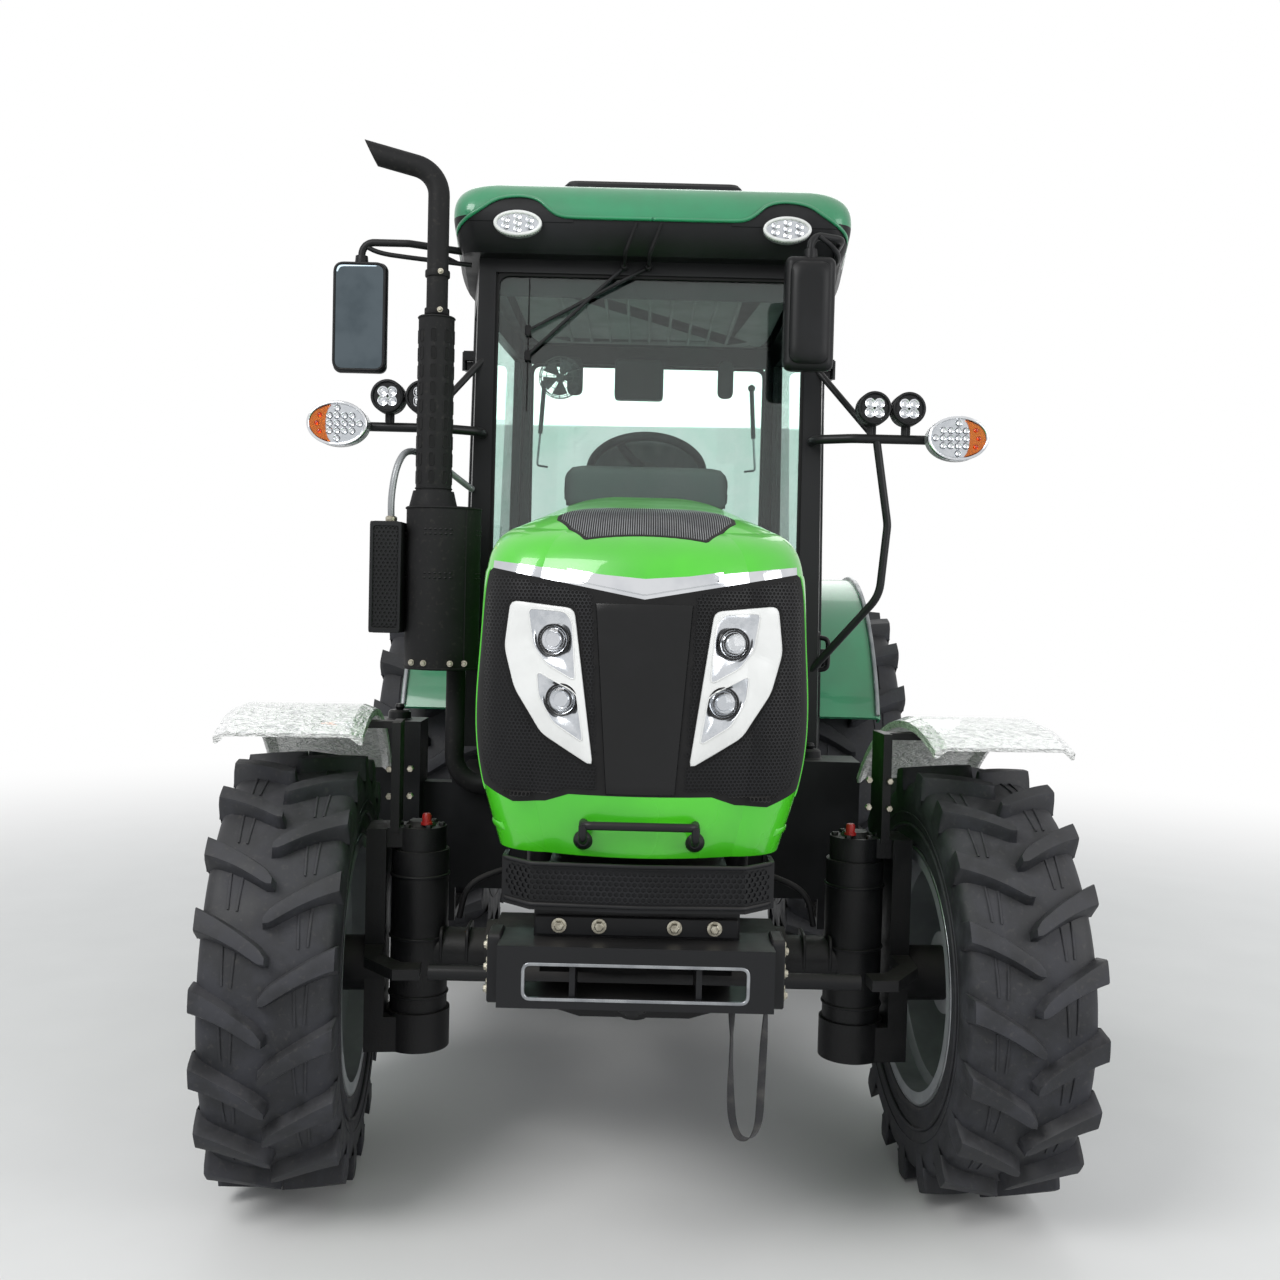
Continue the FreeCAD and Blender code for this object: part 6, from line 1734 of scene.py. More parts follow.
class TRACTOR_OT_cab(bpy.types.Operator):
    """Roof arches, seals, hatch ribs, mirrors, wiper fittings and door handles"""

    bl_idname = "tractor.cab"
    bl_label = "Cab fittings"

    def execute(self, context):
        lay = relief(["cab_roof", "roof_band"], "front", (-0.70, 2.62), (0.70, 2.87), 0.01)
        # black arches over the roof lamps and the green brow that follows them
        corners = [
            (0.255, 2.724), (0.300, 2.727), (0.330, 2.744), (0.370, 2.784), (0.434, 2.795), (0.505, 2.782),
            (0.560, 2.742), (0.600, 2.716),
        ]
        arch = spread_line(rounded(corners, 0.03, 6, closed=False), 48)
        foot = np.stack([arch[:, 0], np.full(48, 2.708)], 1)
        piece(
            "Roof_arches",
            mirrored(lay(panel(foot, arch, 8, 0.003, 0.001))),
            "chassis",
            "Moulded plastic",
            sharp=35,
        )
        line = np.r_[[(0.0, 2.724)], corners, [(0.635, 2.690), (0.655, 2.655)]]
        line = spread_line(rounded(line, 0.03, 6, closed=False), 90)
        brow = swept(np.c_[line, np.full(90, 0.0045)], oval(0.006, 0.008, 12), (0, 0, 1))
        piece("Roof_brow", mirrored(lay(brow)), "chassis", "Roof enamel", sharp=60)
        # ribs and a raised frame on the hatch
        ribs = [
            tube([(x, -0.125, 2.889), (x, 0.300, 2.889)], 0.006, 0.01, 10, 4, up=(1, 0, 0))
            for x in np.linspace(-0.25, 0.25, 7)
        ]
        ring = rim(
            box_outline(0.600, 0.460, 0.04, 6, (0, 0.09)),
            box_outline(0.560, 0.420, 0.03, 6, (0, 0.09)),
            -0.002,
            0.006,
            0.002,
        )
        piece(
            "Hatch_ribs",
            joined(*ribs, copies(ring, [(0, 0, 2.889)])),
            "roof_hatch",
            "Moulded plastic",
            sharp=50,
        )
        pins = lathe(
            [(0.0, 0.0), (0.012, 0.0), (0.010, 0.006), (0.0045, 0.008), (0.004, 0.030), (0.0, 0.032)], 16
        )
        piece(
            "Roof_pins",
            copies(pins, [(-0.500, -0.300, 2.838), (0.500, -0.300, 2.838)]),
            "chassis",
            "Zinc plate",
            sharp=40,
        )
        # raised lip that shields the hatch from the front
        lip = edged(box_outline(0.600, 0.150, 0.050, 7, (0, -0.245)), 2.840, 2.894, 0.012)
        piece("Hatch_lip", lip, "chassis", "Moulded plastic", sharp=40)

        # windscreen seal: a rubber section along the pane's edge
        z = np.array([1.090, 1.090, 2.575, 2.575])
        ends = rounded(np.stack([np.array([-0.515, 0.515, 0.515, -0.515]), z], 1), 0.05, 8)
        path = np.stack([ends[:, 0], glass_y(ends[:, 1], 0.004), ends[:, 1]], 1)
        seal = swept(path, box_outline(0.022, 0.011, 0.004, 4), (0, -1, 0), loop=True)
        rear = rounded([(-0.525, 1.330), (0.525, 1.330), (0.525, 2.540), (-0.525, 2.540)], 0.05, 8)
        lean = 1.230 - 0.030 / 1.62 * (rear[:, 1] - 1.0) - 0.012
        rear_path = np.stack([rear[:, 0], lean, rear[:, 1]], 1)
        back_seal = swept(rear_path, box_outline(0.022, 0.011, 0.004, 4), (0, 1, 0), loop=True)
        piece("Window_seals", joined(seal, back_seal), "chassis", "Rubber seal", sharp=50)

        # mirrors: frame beads, glass and the second bar and webs of each arm
        shell = box_outline(0.164, 0.346, 0.030, 7)
        bead = swept(np.c_[shell, np.full(len(shell), -0.001)], circle(0.005, 10), (0, 0, 1), loop=True)
        glass = slab(
            inset(shell, 0.004),
            [(0, -0.003), (0, 0.001), (0.0015, 0.0018), (0.008, 0.0022), (0.0095, 0.0022)],
        )
        left_front, right_back = (-0.955, -0.4132, 2.404), (0.495, -0.5838, 2.404)
        narrow = glass[0] * (0.90, 0.985, 1), glass[1]
        rim_narrow = bead[0] * (0.90, 0.985, 1), bead[1]
        piece(
            "Mirror_glass",
            joined(seen(glass, "front", left_front), seen(narrow, "rear", right_back)),
            "chassis",
            "Mirror glass",
            sharp=40,
        )
        rings = []
        for depth, height in (
            (0, -0.006), (0.003, 0.006), (0.012, 0.013), (0.024, 0.017), (0.034, 0.018), (0.0355, 0.018)
        ):
            ring = box_outline(0.140 - 2 * depth, 0.320 - 2 * depth, 0.040, 7)
            rings.append(np.c_[ring, np.full(len(ring), height)])
        back = grid(np.stack(rings), wrap_columns=True, caps=True)
        narrow_back = back[0] * (0.92, 1, 1), back[1]
        shells = [
            seen(back, "rear", (-0.955, -0.3568, 2.404)),
            seen(narrow_back, "front", (0.495, -0.6402, 2.404)),
        ]
        arms = []
        for path in (
            [
                (-0.600, -0.330, 2.600), (-0.790, -0.382, 2.606), (-0.900, -0.385, 2.618),
                (-0.952, -0.385, 2.645),
            ],
            [
                (0.600, -0.335, 2.605), (0.600, -0.520, 2.605), (0.570, -0.585, 2.620),
                (0.520, -0.612, 2.645),
            ],
        ):
            arms.append(tube(path, 0.008, 0.05, 12, 7, up=(0, 0, 1)))
            for a, b in ((path[0], (0.45, 0.55)), (path[1], (0.2, 0.8))):
                start = np.array(path[0]) * (1 - b[0]) + np.array(path[1]) * b[0]
                end = np.array(path[0]) * (1 - b[1]) + np.array(path[1]) * b[1] + (0, 0, 0.044)
                arms.append(tube([tuple(start), tuple(end)], 0.0055, 0.01, 8, 3, up=(0.5, 0.5, 0)))
        clamps = lathe([(0.0, -0.024), (0.020, -0.022), (0.022, 0.0), (0.020, 0.022), (0.0, 0.024)], 20)
        arms.append(copies(clamps, [(-0.955, -0.385, 2.585), (0.495, -0.612, 2.582)]))
        piece(
            "Mirror_frames",
            joined(seen(bead, "front", left_front), seen(rim_narrow, "rear", right_back), *shells, *arms),
            "chassis",
            "Moulded plastic",
            sharp=40,
        )

        # wiper: arm caps, spindle nuts and the rubber lip of the blade
        caps = lathe([(0.0, 0.010), (0.010, 0.009), (0.013, 0.004), (0.014, -0.006), (0.0, -0.006)], 20)
        spindles = [(-0.010, glass_y(2.600, 0.034), 2.600), (-0.090, glass_y(2.600, 0.034), 2.600)]
        lip = [(-0.405, glass_y(z, 0.0015), z) for z in np.linspace(2.118, 2.567, 12)]
        blade = swept(lip, box_outline(0.005, 0.004, 0.001, 3), (0, 1, 0))
        clips = [
            placed(
                edged(box_outline(0.020, 0.034, 0.004, 3), 0.0, 0.010, 0.002),
                (-0.405, glass_y(z, 0.010), z),
            )
            for z in (2.300, 2.383)
        ]
        rise = [
            tube(
                [s, (s[0] + 0.004, -0.472, 2.618), (s[0] + 0.040, -0.499, 2.706)],
                0.006,
                0.02,
                10,
                6,
                up=(1, 0, 0),
            )
            for s in spindles
        ]
        piece(
            "Wiper_fittings",
            joined(*rise, *[seen(caps, "front", s) for s in spindles], blade, *clips),
            "chassis",
            "Rubber seal",
            sharp=40,
        )

        # doors: seal and handle. Their panes widen by 0.095 over a length of 0.610, and lean in upwards
        widens = 0.095 / 0.610
        plan = rounded([(-0.302, 1.078), (0.107, 1.078), (0.107, 2.512), (-0.238, 2.512)], 0.04, 7)
        front_lean = 0.025 / 1.62 * (plan[:, 1] - 1.0)
        wide = 0.585 + (plan[:, 0] + 0.420) * widens
        path = np.stack([wide - front_lean - 0.016, plan[:, 0], plan[:, 1]], 1)
        gasket = swept(path, box_outline(0.018, 0.009, 0.003, 4), (1, 0, 0), loop=True)
        pair("Door_seal", gasket, "door", "Rubber seal", sharp=50)
        plate = edged(box_outline(0.050, 0.150, 0.012, 5), -0.002, 0.006, 0.002)
        corners = [(0, -0.055, 0.004), (0, -0.050, 0.034), (0, 0.050, 0.034), (0, 0.055, 0.004)]
        grip = tube(corners, 0.0085, 0.02, 12, 6, up=(1, 0, 0))
        at = (0.577 + 0.12 * widens, -0.305, 1.330)
        pair(
            "Door_handle",
            placed(joined(plate, grip), at, across=(widens, 1, 0)),
            "door",
            "Moulded plastic",
            sharp=40,
        )
        return {"FINISHED"}


# Cab inside


class TRACTOR_OT_cabin(bpy.types.Operator):
    """Headlining, header boxes, fan, gas struts, levers, floor mat, seat, console and steering wheel"""

    bl_idname = "tractor.cabin"
    bl_label = "Cabin"

    def execute(self, context):
        # headlining: a shallow tray with moulded ribs and rounded edges under the roof's hollow
        tray = slab(
            box_outline(1.02, 1.26, 0.08, 6, (0, 0.415)),
            [(0.0, 2.640), (0.0, 2.622), (0.02, 2.606), (0.10, 2.600), (0.16, 2.606), (0.17, 2.600)],
        )
        beads = [
            tube([(x, -0.12, 2.600), (x, 0.95, 2.600)], 0.006, 0.01, 8, 3, up=(1, 0, 0))
            for x in np.linspace(-0.33, 0.33, 9)
        ]
        box = edged(box_outline(0.215, 0.175, 0.02, 5), -0.07, 0.0, 0.008)
        tab = edged(box_outline(0.070, 0.170, 0.032, 7), -0.02, 0.0, 0.006)
        visor = edged(box_outline(0.19, 0.075, 0.03, 5), -0.01, 0.0, 0.004)
        hung = [seen(box, "front", (-0.040, 1.060, 2.462))] + [
            seen(tab, "front", (x, 1.120, 2.480))
            for x in (-0.326, 0.345)
        ]
        hung += [seen(visor, "front", (x, -0.305, 2.545)) for x in (-0.34, 0.34)]
        piece("Headlining", joined(tray, *beads), "chassis", "Headlining", sharp=40)
        piece("Header_boxes", joined(*hung), "chassis", "Dash plastic", sharp=40)
        # fan: wire cage, hub and blades
        cage = [
            np.c_[circle(r, 32), np.full(32, h)]
            for r, h in ((0.020, 0.030), (0.045, 0.028), (0.066, 0.018), (0.072, 0.0), (0.066, -0.018))
        ]
        wires = [swept(ring, circle(0.0014, 6), (0, 0, 1), loop=True) for ring in cage]
        spoke = swept(
            np.array(
                [
                    (0.012, 0, 0.031), (0.045, 0, 0.029), (0.066, 0, 0.019), (0.0725, 0, 0.0),
                    (0.066, 0, -0.019),
                ],
            ),
            circle(0.0012, 6),
            (0, 1, 0),
        )
        turns = turns_about(2, np.arange(16) * math.pi / 8)
        wires.append(copies(spoke, np.zeros((16, 3)), turns))
        s, t = np.meshgrid(np.linspace(0.012, 0.060, 8), np.linspace(-0.45, 0.45, 7), indexing="ij")
        blade = np.stack([s * np.cos(t), s * np.sin(t), 0.010 * np.sin(t * 3)], -1)
        fan = joined(
            *wires,
            copies(grid(blade), np.zeros((5, 3)), turns[:15:3]),
            lathe([(0.0, 0.012), (0.013, 0.010), (0.016, -0.016), (0.0, -0.018)], 20),
        )
        piece("Fan", seen(fan, "front", (-0.300, -0.265, 2.245)), "chassis", "Dash plastic", sharp=50)
        # gas struts of the rear window, and the levers by the seat
        struts, rods = [], []
        for side in (-1, 1):
            top, mid, low = (
                side * 0.460, 1.100, 2.440
            ), (side * 0.475, 1.115, 2.220), (side * 0.487, 1.130, 2.080)
            struts.append(tube([top, mid], 0.010, 0.01, 12, 3, up=(1, 0, 0)))
            rods.append(tube([mid, low, (side * 0.440, 1.140, 2.075)], 0.005, 0.012, 10, 5, up=(0, 1, 0)))
            struts.append(
                copies(
                    lathe([(0.0, -0.018), (0.014, -0.010), (0.017, 0.0), (0.014, 0.010), (0.0, 0.018)], 16),
                    [top],
                ),
            )
        for x, y in ((0.42, 0.30), (0.42, 0.36), (0.42, 0.42), (-0.42, 0.32), (-0.42, 0.40)):
            rods.append(
                tube(
                    [(x, y, 1.29), (x * 0.99, y - 0.02, 1.42), (x * 0.97, y - 0.07, 1.52)],
                    0.005,
                    0.03,
                    8,
                    5,
                    up=(1, 0, 0),
                ),
            )
            knob = lathe(
                [
                    (0.0, -0.022), (0.010, -0.020), (0.018, -0.004), (0.019, 0.008), (0.012, 0.020),
                    (0.0, 0.023),
                ],
                18,
            )
            struts.append(copies(knob, [(x * 0.97, y - 0.072, 1.535)]))
        boxes = [
            edged(box_outline(0.150, 0.520, 0.03, 5, (side * 0.44, 0.42)), 1.03, 1.295, 0.012)
            for side in (-1, 1)
        ]
        piece("Side_consoles", joined(*boxes, *struts), "chassis", "Dash plastic", sharp=40)
        piece("Lever_rods", joined(*rods), "chassis", "Turned steel", sharp=60)
        mat = slab(box_outline(1.02, 0.52, 0.03, 5, (0, -0.02)), [(0, 1.0305), (0, 1.036), (0.003, 1.038)])
        studs = lattice(box_outline(0.96, 0.46, 0.03, 5, (0, -0.02)), 0.03)
        dots = copies(
            lathe([(0.006, -0.0005), (0.005, 0.0012), (0.0, 0.0014)], 8),
            np.c_[studs, np.full(len(studs), 1.038)],
        )
        piece("Floor_mat", joined(mat, dots), "chassis", "Rubber seal", sharp=40)
        # seat: two shaped pads with raised sides, a base and a shell behind the back
        base = edged(box_outline(0.340, 0.360, 0.04, 6, (0, 0.44)), 1.03, 1.335, 0.015)
        u, v = np.meshgrid(np.linspace(-1, 1, 33), np.linspace(-1, 1, 33), indexing="ij")

        def cushion(half_x, half_y, thick, bolster):
            """A pad: x and y are a square with round corners whose sides pull in between them, and z is a
            dome with raised sides and sewn channels."""
            round_x = u * (1 - 0.03 * (1 - v**2)) * np.sqrt(1 - 0.14 * v**8)
            round_y = v * (1 - 0.03 * (1 - u**2)) * np.sqrt(1 - 0.14 * u**8)
            edge = (1 - u**8) * (1 - v**8)
            rise = np.sqrt(np.clip(edge, 0, 1)) * (0.72 + bolster * u**4 + 0.12 * (1 - v**2))
            seams = 0.10 * np.exp(
                -(((np.abs(u) - 0.55) / 0.03) ** 2)
            ) + 0.08 * np.exp(-((np.sin(v * 6.3) / 0.10) ** 2)) * (np.abs(u) < 0.55)
            top = np.stack([round_x * half_x, round_y * half_y, thick * (rise - seams * edge)], -1)
            low = np.stack(
                [round_x * half_x, round_y * half_y, -0.35 * thick * np.sqrt(np.clip(edge, 0, 1))], -1
            )
            return joined(grid(top), grid(low))

        seat = copies(cushion(0.245, 0.255, 0.105, 0.35), [(0, 0.440, 1.360)])
        points, faces = cushion(0.255, 0.385, 0.100, 0.30)
        points[:, 1] *= 1 - 0.22 * np.clip(points[:, 1] / 0.385, 0, 1) * (points[:, 0] / 0.255) ** 2
        back = placed((points, faces), (0, 0.700, 1.790), across=(1, 0, 0), up=(0, 0.16, 1))
        for name, part in (("Cushion_low", seat), ("Cushion_back", back)):
            pad = piece(name, part, "chassis", "Cushion cloth", "seat_cloth", ["seat"], 60)
            place = np.empty(len(pad.data.vertices) * 3, np.float32)
            pad.data.vertices.foreach_get("co", place)
            place = place.reshape(-1, 3)
            unwrap(pad, np.stack([place[:, 0], place[:, 1] - place[:, 2]], 1))
        shell = placed(
            edged(box_outline(0.44, 0.66, 0.10, 8), -0.022, -0.004, 0.008),
            (0, 0.728, 1.755),
            across=(1, 0, 0),
            up=(0, 0.16, 1),
        )
        piece("Cushion_base", joined(base, shell), "chassis", "Dash plastic", sharp=40)

        # console: column, cowl with rounded shoulders, instrument face, and the steering wheel
        column = edged(
            rounded([(-0.345, 1.030), (-0.120, 1.030), (-0.150, 1.830), (-0.325, 1.830)], 0.03, 5),
            -0.150,
            0.150,
            0.015,
        )
        plan = rounded(
            [(-0.338, 1.800), (-0.110, 1.800), (-0.130, 1.880), (-0.200, 1.946), (-0.330, 1.946)], 0.03, 5
        )
        ends = [
            (0.060, -0.276), (0.024, -0.268), (0.006, -0.250), (0.0, -0.215), (0.0, 0.215), (0.006, 0.250),
            (0.024, 0.268), (0.060, 0.276),
        ]
        shapes = [
            placed(part, (0, 0, 0), across=(0, 1, 0), up=(0, 0, 1))
            for part in (column, slab(plan, ends))
        ]
        along = np.array([0, -0.55, -0.835])
        down = np.array([0, 0.835, -0.55])
        hub = np.array([0, 0.020, 1.955])
        turn = circle(0.205, 72)
        ring = hub + turn[:, :1] * np.array([1.0, 0, 0]) + turn[:, 1:] * down
        wheel = [swept(ring, circle(1, 14) * (0.014, 0.017), along, loop=True)]
        for angle in (90, 210, 330):
            way = np.array([1.0, 0, 0]) * math.sin(
                math.radians(angle)
            ) + down * math.cos(math.radians(angle))
            spine = hub + np.linspace(0.03, 0.200, 12)[:, None] * way + 0.012 * np.sin(
                np.linspace(0, math.pi, 12)
            )[:, None] * along
            wheel.append(
                swept(spine, circle(1, 12) * (0.019, 0.007), -along, scale=np.linspace(1.25, 0.8, 12))
            )
        boss = lathe(
            [
                (0.0, -0.020), (0.040, -0.019), (0.050, -0.010), (0.052, 0.020), (0.030, 0.040),
                (0.024, 0.060), (0.024, 0.225), (0.0, 0.226),
            ],
            32,
        )
        wheel.append(placed(boss, tuple(hub), across=(1, 0, 0), up=tuple(np.cross(along, (1, 0, 0)))))
        piece("Console", joined(*shapes), "chassis", "Dash plastic", "black_plastic", ["console"], 40)
        piece("Steering_wheel", joined(*wheel), "chassis", "Rubber seal", sharp=50)
        face = edged(box_outline(0.34, 0.085, 0.03, 6), -0.001, 0.003, 0.001)
        piece(
            "Instrument_face",
            placed(face, (0, -0.166, 1.917), across=(-1, 0, 0), up=(0, -0.72, 0.69)),
            "chassis",
            "Gloss acrylic",
            sharp=40,
        )
        return {"FINISHED"}


# Running gear


class TRACTOR_OT_running_gear(bpy.types.Operator):
    """Bolts, glands, hoses, treads, ribs and caps on the axles and tanks, and the rear case's bolts"""

    bl_idname = "tractor.running_gear"
    bl_label = "Running gear fittings"

    def execute(self, context):
        # kingpin housings: bolt rings, end caps and clamp bands
        heads, bands = [], []
        for z, side_z in ((0.905, 1), (0.330, -1)):
            one = lathe([(0.0, 0.008), (0.0075, 0.008), (0.009, 0.006), (0.009, 0.0), (0.0, 0.0)], 6)
            cap = lathe([(0.0, 0.012), (0.030, 0.012), (0.036, 0.006), (0.040, 0.0), (0.0, -0.001)], 32)
            stack = joined(copies(one, raised(circle(0.054, 6), 0.0)), cap)
            if side_z < 0:
                stack = flipped(stack, 2)
            heads.append(copies(stack, [(0.565, -1.350, z)]))
        for z in (0.47, 0.62, 0.78):
            bands.append(hoop((0.565, -1.350), 0.0745, z, 0.004, 48))
        pair("Kingpin_caps", joined(*heads), "knuckle", "Painted casting", sharp=40)
        pair("Kingpin_bands", joined(*bands), "knuckle", "Powder coat", sharp=60)
        plug = [(0.0, 0.030), (0.009, 0.029), (0.012, 0.024), (0.012, 0.008)]
        plug = lathe(plug + [(0.015, 0.006), (0.015, 0.0), (0.0, 0.0)], 16)
        pair("Kingpin_plugs", copies(plug, [(0.545, -1.385, 0.912)]), "knuckle", "Red plastic", sharp=40)
        lay = relief(["knuckle_left"], "front", (0.50, 0.92), (0.68, 1.12))
        head = lathe([(0.0, 0.009), (0.0075, 0.009), (0.009, 0.006), (0.009, 0.0), (0.0, 0.0)], 6)
        spots = [(x, z, 0.0) for x in (0.590, 0.640) for z in (0.985, 1.055)]
        pair("Bracket_bolts", lay(copies(head, spots)), "knuckle", "Zinc plate", sharp=40)
        # glands at the ends of the steering cylinder: a grooved nut and a wiper ring
        nut = [
            (0.020, -0.010), (0.042, -0.010), (0.044, -0.007), (0.044, -0.001), (0.041, 0.0), (0.041, 0.003)
        ]
        nut += [
            (0.044, 0.004), (0.044, 0.007), (0.040, 0.009), (0.028, 0.010), (0.0235, 0.013), (0.020, 0.013)
        ]
        glands = placed(lathe(nut, 32), (0.327, -1.610, 0.596), across=(0, 1, 0), up=(0, 0, 1))
        piece("Steering_glands", mirrored(glands), "chassis", "Zinc plate", sharp=50)
        # hydraulic hoses from the frame to the steering cylinder and to the axle
        hoses = []
        for side in (-1, 1):
            x = side * 0.24
            hoses.append(
                tube(
                    [
                        (x, -1.600, 0.630), (x, -1.560, 0.690), (x, -1.480, 0.740),
                        (side * 0.225, -1.42, 0.80),
                    ],
                    0.009,
                    0.05,
                    10,
                    7,
                    up=(1, 0, 0),
                ),
            )
            hoses.append(
                tube(
                    [
                        (side * 0.46, -1.36, 0.668), (side * 0.44, -1.38, 0.76), (side * 0.34, -1.36, 0.80),
                        (side * 0.228, -1.30, 0.80),
                    ],
                    0.008,
                    0.05,
                    10,
                    7,
                    up=(0, 1, 0),
                ),
            )
        piece("Axle_hoses", joined(*hoses), "chassis", "Rubber seal", sharp=60)
        rib = edged(box_outline(0.12, 0.10, 0.03, 5), -0.004, 0.004, 0.0015)
        ribs = [placed(rib, (x, -1.350, 0.600), across=(0, 1, 0)) for x in np.linspace(0.30, 0.50, 4)]
        piece("Axle_ribs", mirrored(joined(*ribs)), "chassis", "Painted casting", sharp=40)

        # steps: raised diamonds on the treads; side tank strap bands and filler cap
        dots = lattice(box_outline(0.160, 0.270, 0.01, 3), 0.024)
        stud = slab(circle(0.0075, 4) * (0.45, 1.2), [(0, -0.0005), (0.001, 0.0018)])
        treads = []
        for z in (0.454, 0.724):
            for side in (-1, 1):
                treads.append(copies(stud, np.c_[dots + (side * 0.690, -0.320), np.full(len(dots), z)]))
        piece("Step_studs", joined(*treads), "chassis", "Powder coat", sharp=30)
        cap = lathe(
            [
                (0.0, 0.030), (0.030, 0.030), (0.036, 0.024), (0.037, 0.004), (0.042, 0.0), (0.042, -0.002),
                (0.0, -0.002),
            ],
            12,
        )
        knob = lathe([(0.0, 0.050), (0.012, 0.049), (0.016, 0.040), (0.010, 0.028), (0.0, 0.028)], 20)
        caps = copies(joined(cap, knob), [(0.550, -0.510, 1.000), (-0.770, -0.565, 1.100)])
        piece("Filler_caps", caps, "chassis", "Moulded plastic", sharp=40)
        band = edged(box_outline(0.034, 0.356, 0.004, 3), -0.001, 0.003, 0.001)
        straps = [placed(band, (0.601, y, 0.74), across=(0, 1, 0)) for y in (-0.36, -0.04)]
        straps.append(placed(band, (-0.601, -0.36, 0.74), across=(0, -1, 0)))
        piece("Tank_straps", joined(*straps), "chassis", "Zinc plate", sharp=40)

        # ring of bolts on the rear case
        lay = relief(["gearbox_housing"], "rear", (-0.30, 0.50), (0.30, 1.00), 0.01)
        ring = copies(
            lathe([(0.0, 0.008), (0.0075, 0.008), (0.009, 0.005), (0.009, -0.004), (0.0, -0.004)], 6),
            np.c_[circle(0.105, 10) + (0, 0.64), np.zeros(10)],
        )
        piece("Rear_case_bolts", lay(ring, 0.002), "chassis", "Zinc plate", sharp=40)
        return {"FINISHED"}


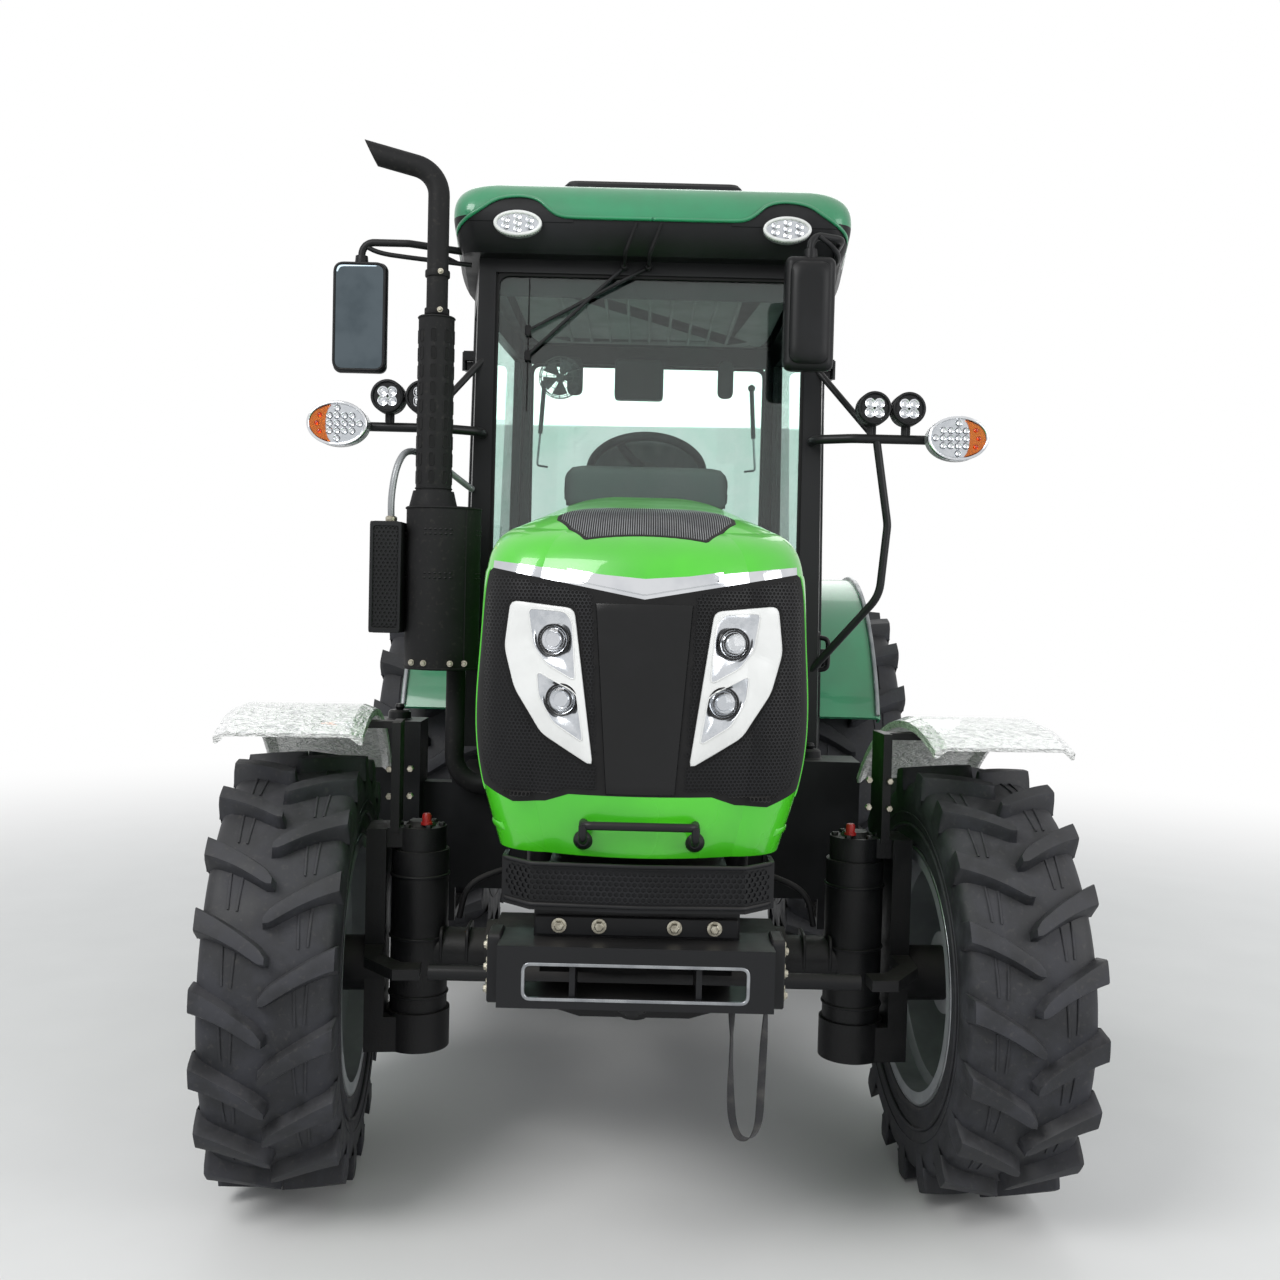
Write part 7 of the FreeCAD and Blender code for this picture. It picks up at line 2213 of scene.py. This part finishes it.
class TRACTOR_OT_flanks(bpy.types.Operator):
    """Bonnet flanks, engine fittings and the light grey strips that paint a reflection along the rear fenders'
    edges
    """

    bl_idname = "tractor.flanks"
    bl_label = "Flanks"

    def execute(self, context):
        lay = relief(["hood_shell", "hood_grille"], "left", (-2.00, 0.98), (-0.48, 1.60), 0.01)
        # green edge in front of which the black face ends
        z = np.linspace(1.082, 1.566, 30)
        turn_in = 0.016 * np.sin(np.linspace(0, math.pi, 30))
        strip = panel(
            np.stack([-1.868 + turn_in, z], 1), np.stack([np.full(30, -1.796), z], 1), 8, 0.0028, 0.0012
        )
        piece("Face_edges", mirrored(lay(strip)), "hood", "Bonnet enamel", sharp=35)
        # side vents: mesh in a rounded frame that slants with the bonnet
        vent = rounded([(-1.560, 1.170), (-0.980, 1.200), (-0.930, 1.460), (-1.480, 1.440)], 0.05, 8)
        frame_ring = rim(vent, inset(vent, 0.016), -0.001, 0.0065, 0.002)
        piece("Vent_frames", mirrored(lay(frame_ring)), "hood", "Moulded plastic", sharp=35)
        mesh_part = honeycomb(inset(vent, 0.014), 0.017, 0.0048, 0.003, 0.003)
        piece(
            "Vent_mesh",
            mirrored(lay(mesh_part, 0.0036)),
            "hood",
            "Moulded plastic",
            sharp=30,
            turned_right=True,
        )
        # a near-black sheet under the vent mesh is painted shade that stands for the depth behind it
        upper = spread_line([(-1.466, 1.428), (-0.944, 1.448)], 40)
        lower = spread_line([(-1.548, 1.183), (-0.992, 1.212)], 40)
        piece(
            "Vent_seats",
            mirrored(lay(panel(lower, upper, 14, 0.0006, 0.0004))),
            "hood",
            "Slot shadow",
            sharp=35,
        )
        # a pressed swage line, the flank's lower hem and the latch
        y = np.linspace(-1.770, -0.520, 70)
        line = np.stack([y, 1.520 + 0.055 * (y + 1.770) / 1.25, np.full(70, 0.0004)], 1)
        hem = np.stack([np.linspace(-1.93, -0.50, 70), np.full(70, 1.012), np.full(70, 0.0004)], 1)
        beads = [
            swept(line, circle(1, 10) * (0.006, 0.0035), (0, 0, 1)),
            swept(hem, circle(1, 10) * (0.008, 0.0035), (0, 0, 1)),
        ]
        piece("Flank_beads", mirrored(lay(joined(*beads))), "hood", "Bonnet enamel", sharp=60)
        plate = edged(box_outline(0.026, 0.070, 0.006, 4, (-0.790, 1.090)), -0.001, 0.004, 0.001)
        catch = tube(
            [
                (-0.790, 1.065, 0.004), (-0.790, 1.070, 0.016), (-0.790, 1.112, 0.016),
                (-0.790, 1.117, 0.004),
            ],
            0.004,
            0.006,
            10,
            5,
            up=(1, 0, 0),
        )
        piece("Bonnet_latches", mirrored(lay(joined(plate, catch))), "hood", "Zinc plate", sharp=40)

        # engine: filters, starter, flange rails and their bolts below the bonnet
        cans = []
        can = lathe(
            [
                (0.0, 0.0), (0.034, 0.004), (0.040, 0.014), (0.040, 0.110), (0.043, 0.114), (0.043, 0.124),
                (0.030, 0.134), (0.0, 0.134),
            ],
            28,
        )
        cans.append(copies(can, [(0.272, -1.060, 0.700), (0.272, -0.950, 0.700)]))
        head = edged(box_outline(0.230, 0.050, 0.012, 4), 0.228, 0.300, 0.006)
        cans.append(
            placed(
                (head[0] - (0, 0, 0.228), head[1]), (0.228, -1.005, 0.858), across=(0, 1, 0), up=(0, 0, 1)
            ),
        )
        starter = lathe(
            [
                (0.0, -0.11), (0.040, -0.105), (0.046, -0.095), (0.046, 0.070), (0.052, 0.074),
                (0.052, 0.090), (0.0, 0.092),
            ],
            28,
        )
        cans.append(placed(starter, (0.283, -0.720, 0.660), across=(1, 0, 0), up=(0, 0, 1)))
        rail = edged(box_outline(0.700, 0.026, 0.008, 3), -0.002, 0.014, 0.002)
        cans.append(placed(rail, (0.230, -0.830, 0.600), across=(0, 1, 0), up=(0, 0, 1)))
        cans.append(placed(rail, (0.230, -0.830, 0.900), across=(0, 1, 0), up=(0, 0, 1)))
        piece("Engine_fittings", mirrored(joined(*cans)), "chassis", "Painted casting", sharp=40)
        places = [(0.244, y, z) for z in (0.600, 0.900) for y in np.linspace(-1.150, -0.510, 9)]
        places += [(0.201, y, z) for z in (0.560, 0.860) for y in (-0.26, -0.10, 0.06, 0.22)]
        piece("Engine_bolts", mirrored(bolts(places, 0.0075, 0.009, "left")), "chassis", "Zinc plate")
        pipes = [
            tube(
                [
                    (0.272, -1.060, 0.850), (0.300, -1.060, 0.900), (0.300, -0.900, 0.930),
                    (0.250, -0.800, 0.930),
                ],
                0.007,
                0.04,
                10,
                6,
                up=(0.3, 0, 1),
            ),
            tube(
                [
                    (0.283, -0.640, 0.700), (0.283, -0.600, 0.780), (0.260, -0.540, 0.860),
                    (0.235, -0.480, 0.880),
                ],
                0.006,
                0.04,
                10,
                6,
                up=(1, 0, 0),
            ),
        ]
        piece("Engine_pipes", mirrored(joined(*pipes)), "chassis", "Rubber seal", sharp=60)

        # painted reflection: a light grey strip along the outer edge of each rear fender stands for the pale
        # reflection there
        angle = np.radians(np.linspace(-66.5, 61.5, 90))
        arc = np.stack([np.sin(angle), np.cos(angle)], 1)
        radius = 0.858
        spine = np.c_[np.full(90, 0.8905), 0.950 + radius * arc[:, 0], 0.738 + radius * arc[:, 1]]
        strip = swept(spine, box_outline(0.034, 0.016, 0.006, 5), (1, 0, 0))
        piece("Fender_edge_reflections", mirrored(strip), "chassis", "Lamp grey", sharp=50)
        return {"FINISHED"}


# Add-on

PIECES = [
    TRACTOR_OT_finishes,
    TRACTOR_OT_stage,
    TRACTOR_OT_strap,
    TRACTOR_OT_tyres,
    TRACTOR_OT_wheels,
    TRACTOR_OT_headlamps,
    TRACTOR_OT_bonnet_face,
    TRACTOR_OT_skirt,
    TRACTOR_OT_bumper,
    TRACTOR_OT_lamps,
    TRACTOR_OT_exhaust,
    TRACTOR_OT_cab,
    TRACTOR_OT_cabin,
    TRACTOR_OT_running_gear,
    TRACTOR_OT_flanks,
]
GROUPS = [TractorFinishes]


class TRACTOR_PT_sidebar(bpy.types.Panel):
    """Lists the pieces that the add-on builds"""

    bl_label = "Tractor"
    bl_space_type = "VIEW_3D"
    bl_region_type = "UI"
    bl_category = "Tractor"

    def draw(self, context):
        for name in TractorFinishes.__annotations__:
            self.layout.prop(context.scene.tractor_finishes, name)
        for kind in PIECES:
            self.layout.operator(kind.bl_idname)


def register():
    for kind in GROUPS + PIECES + [TRACTOR_PT_sidebar]:
        bpy.utils.register_class(kind)
    bpy.types.Scene.tractor_finishes = bpy.props.PointerProperty(type=TractorFinishes)


def unregister():
    del bpy.types.Scene.tractor_finishes
    for kind in [TRACTOR_PT_sidebar] + PIECES[::-1] + GROUPS[::-1]:
        bpy.utils.unregister_class(kind)


def main():
    register()
    for kind in PIECES:
        family, name = kind.bl_idname.split(".")
        getattr(getattr(bpy.ops, family), name)()
    sizes = {"cad": CAD_BOX, "visual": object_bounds()}
    plain = {name: [list(map(float, corner)) for corner in box] for name, box in sizes.items()}


if __name__ == "__main__":
    main()
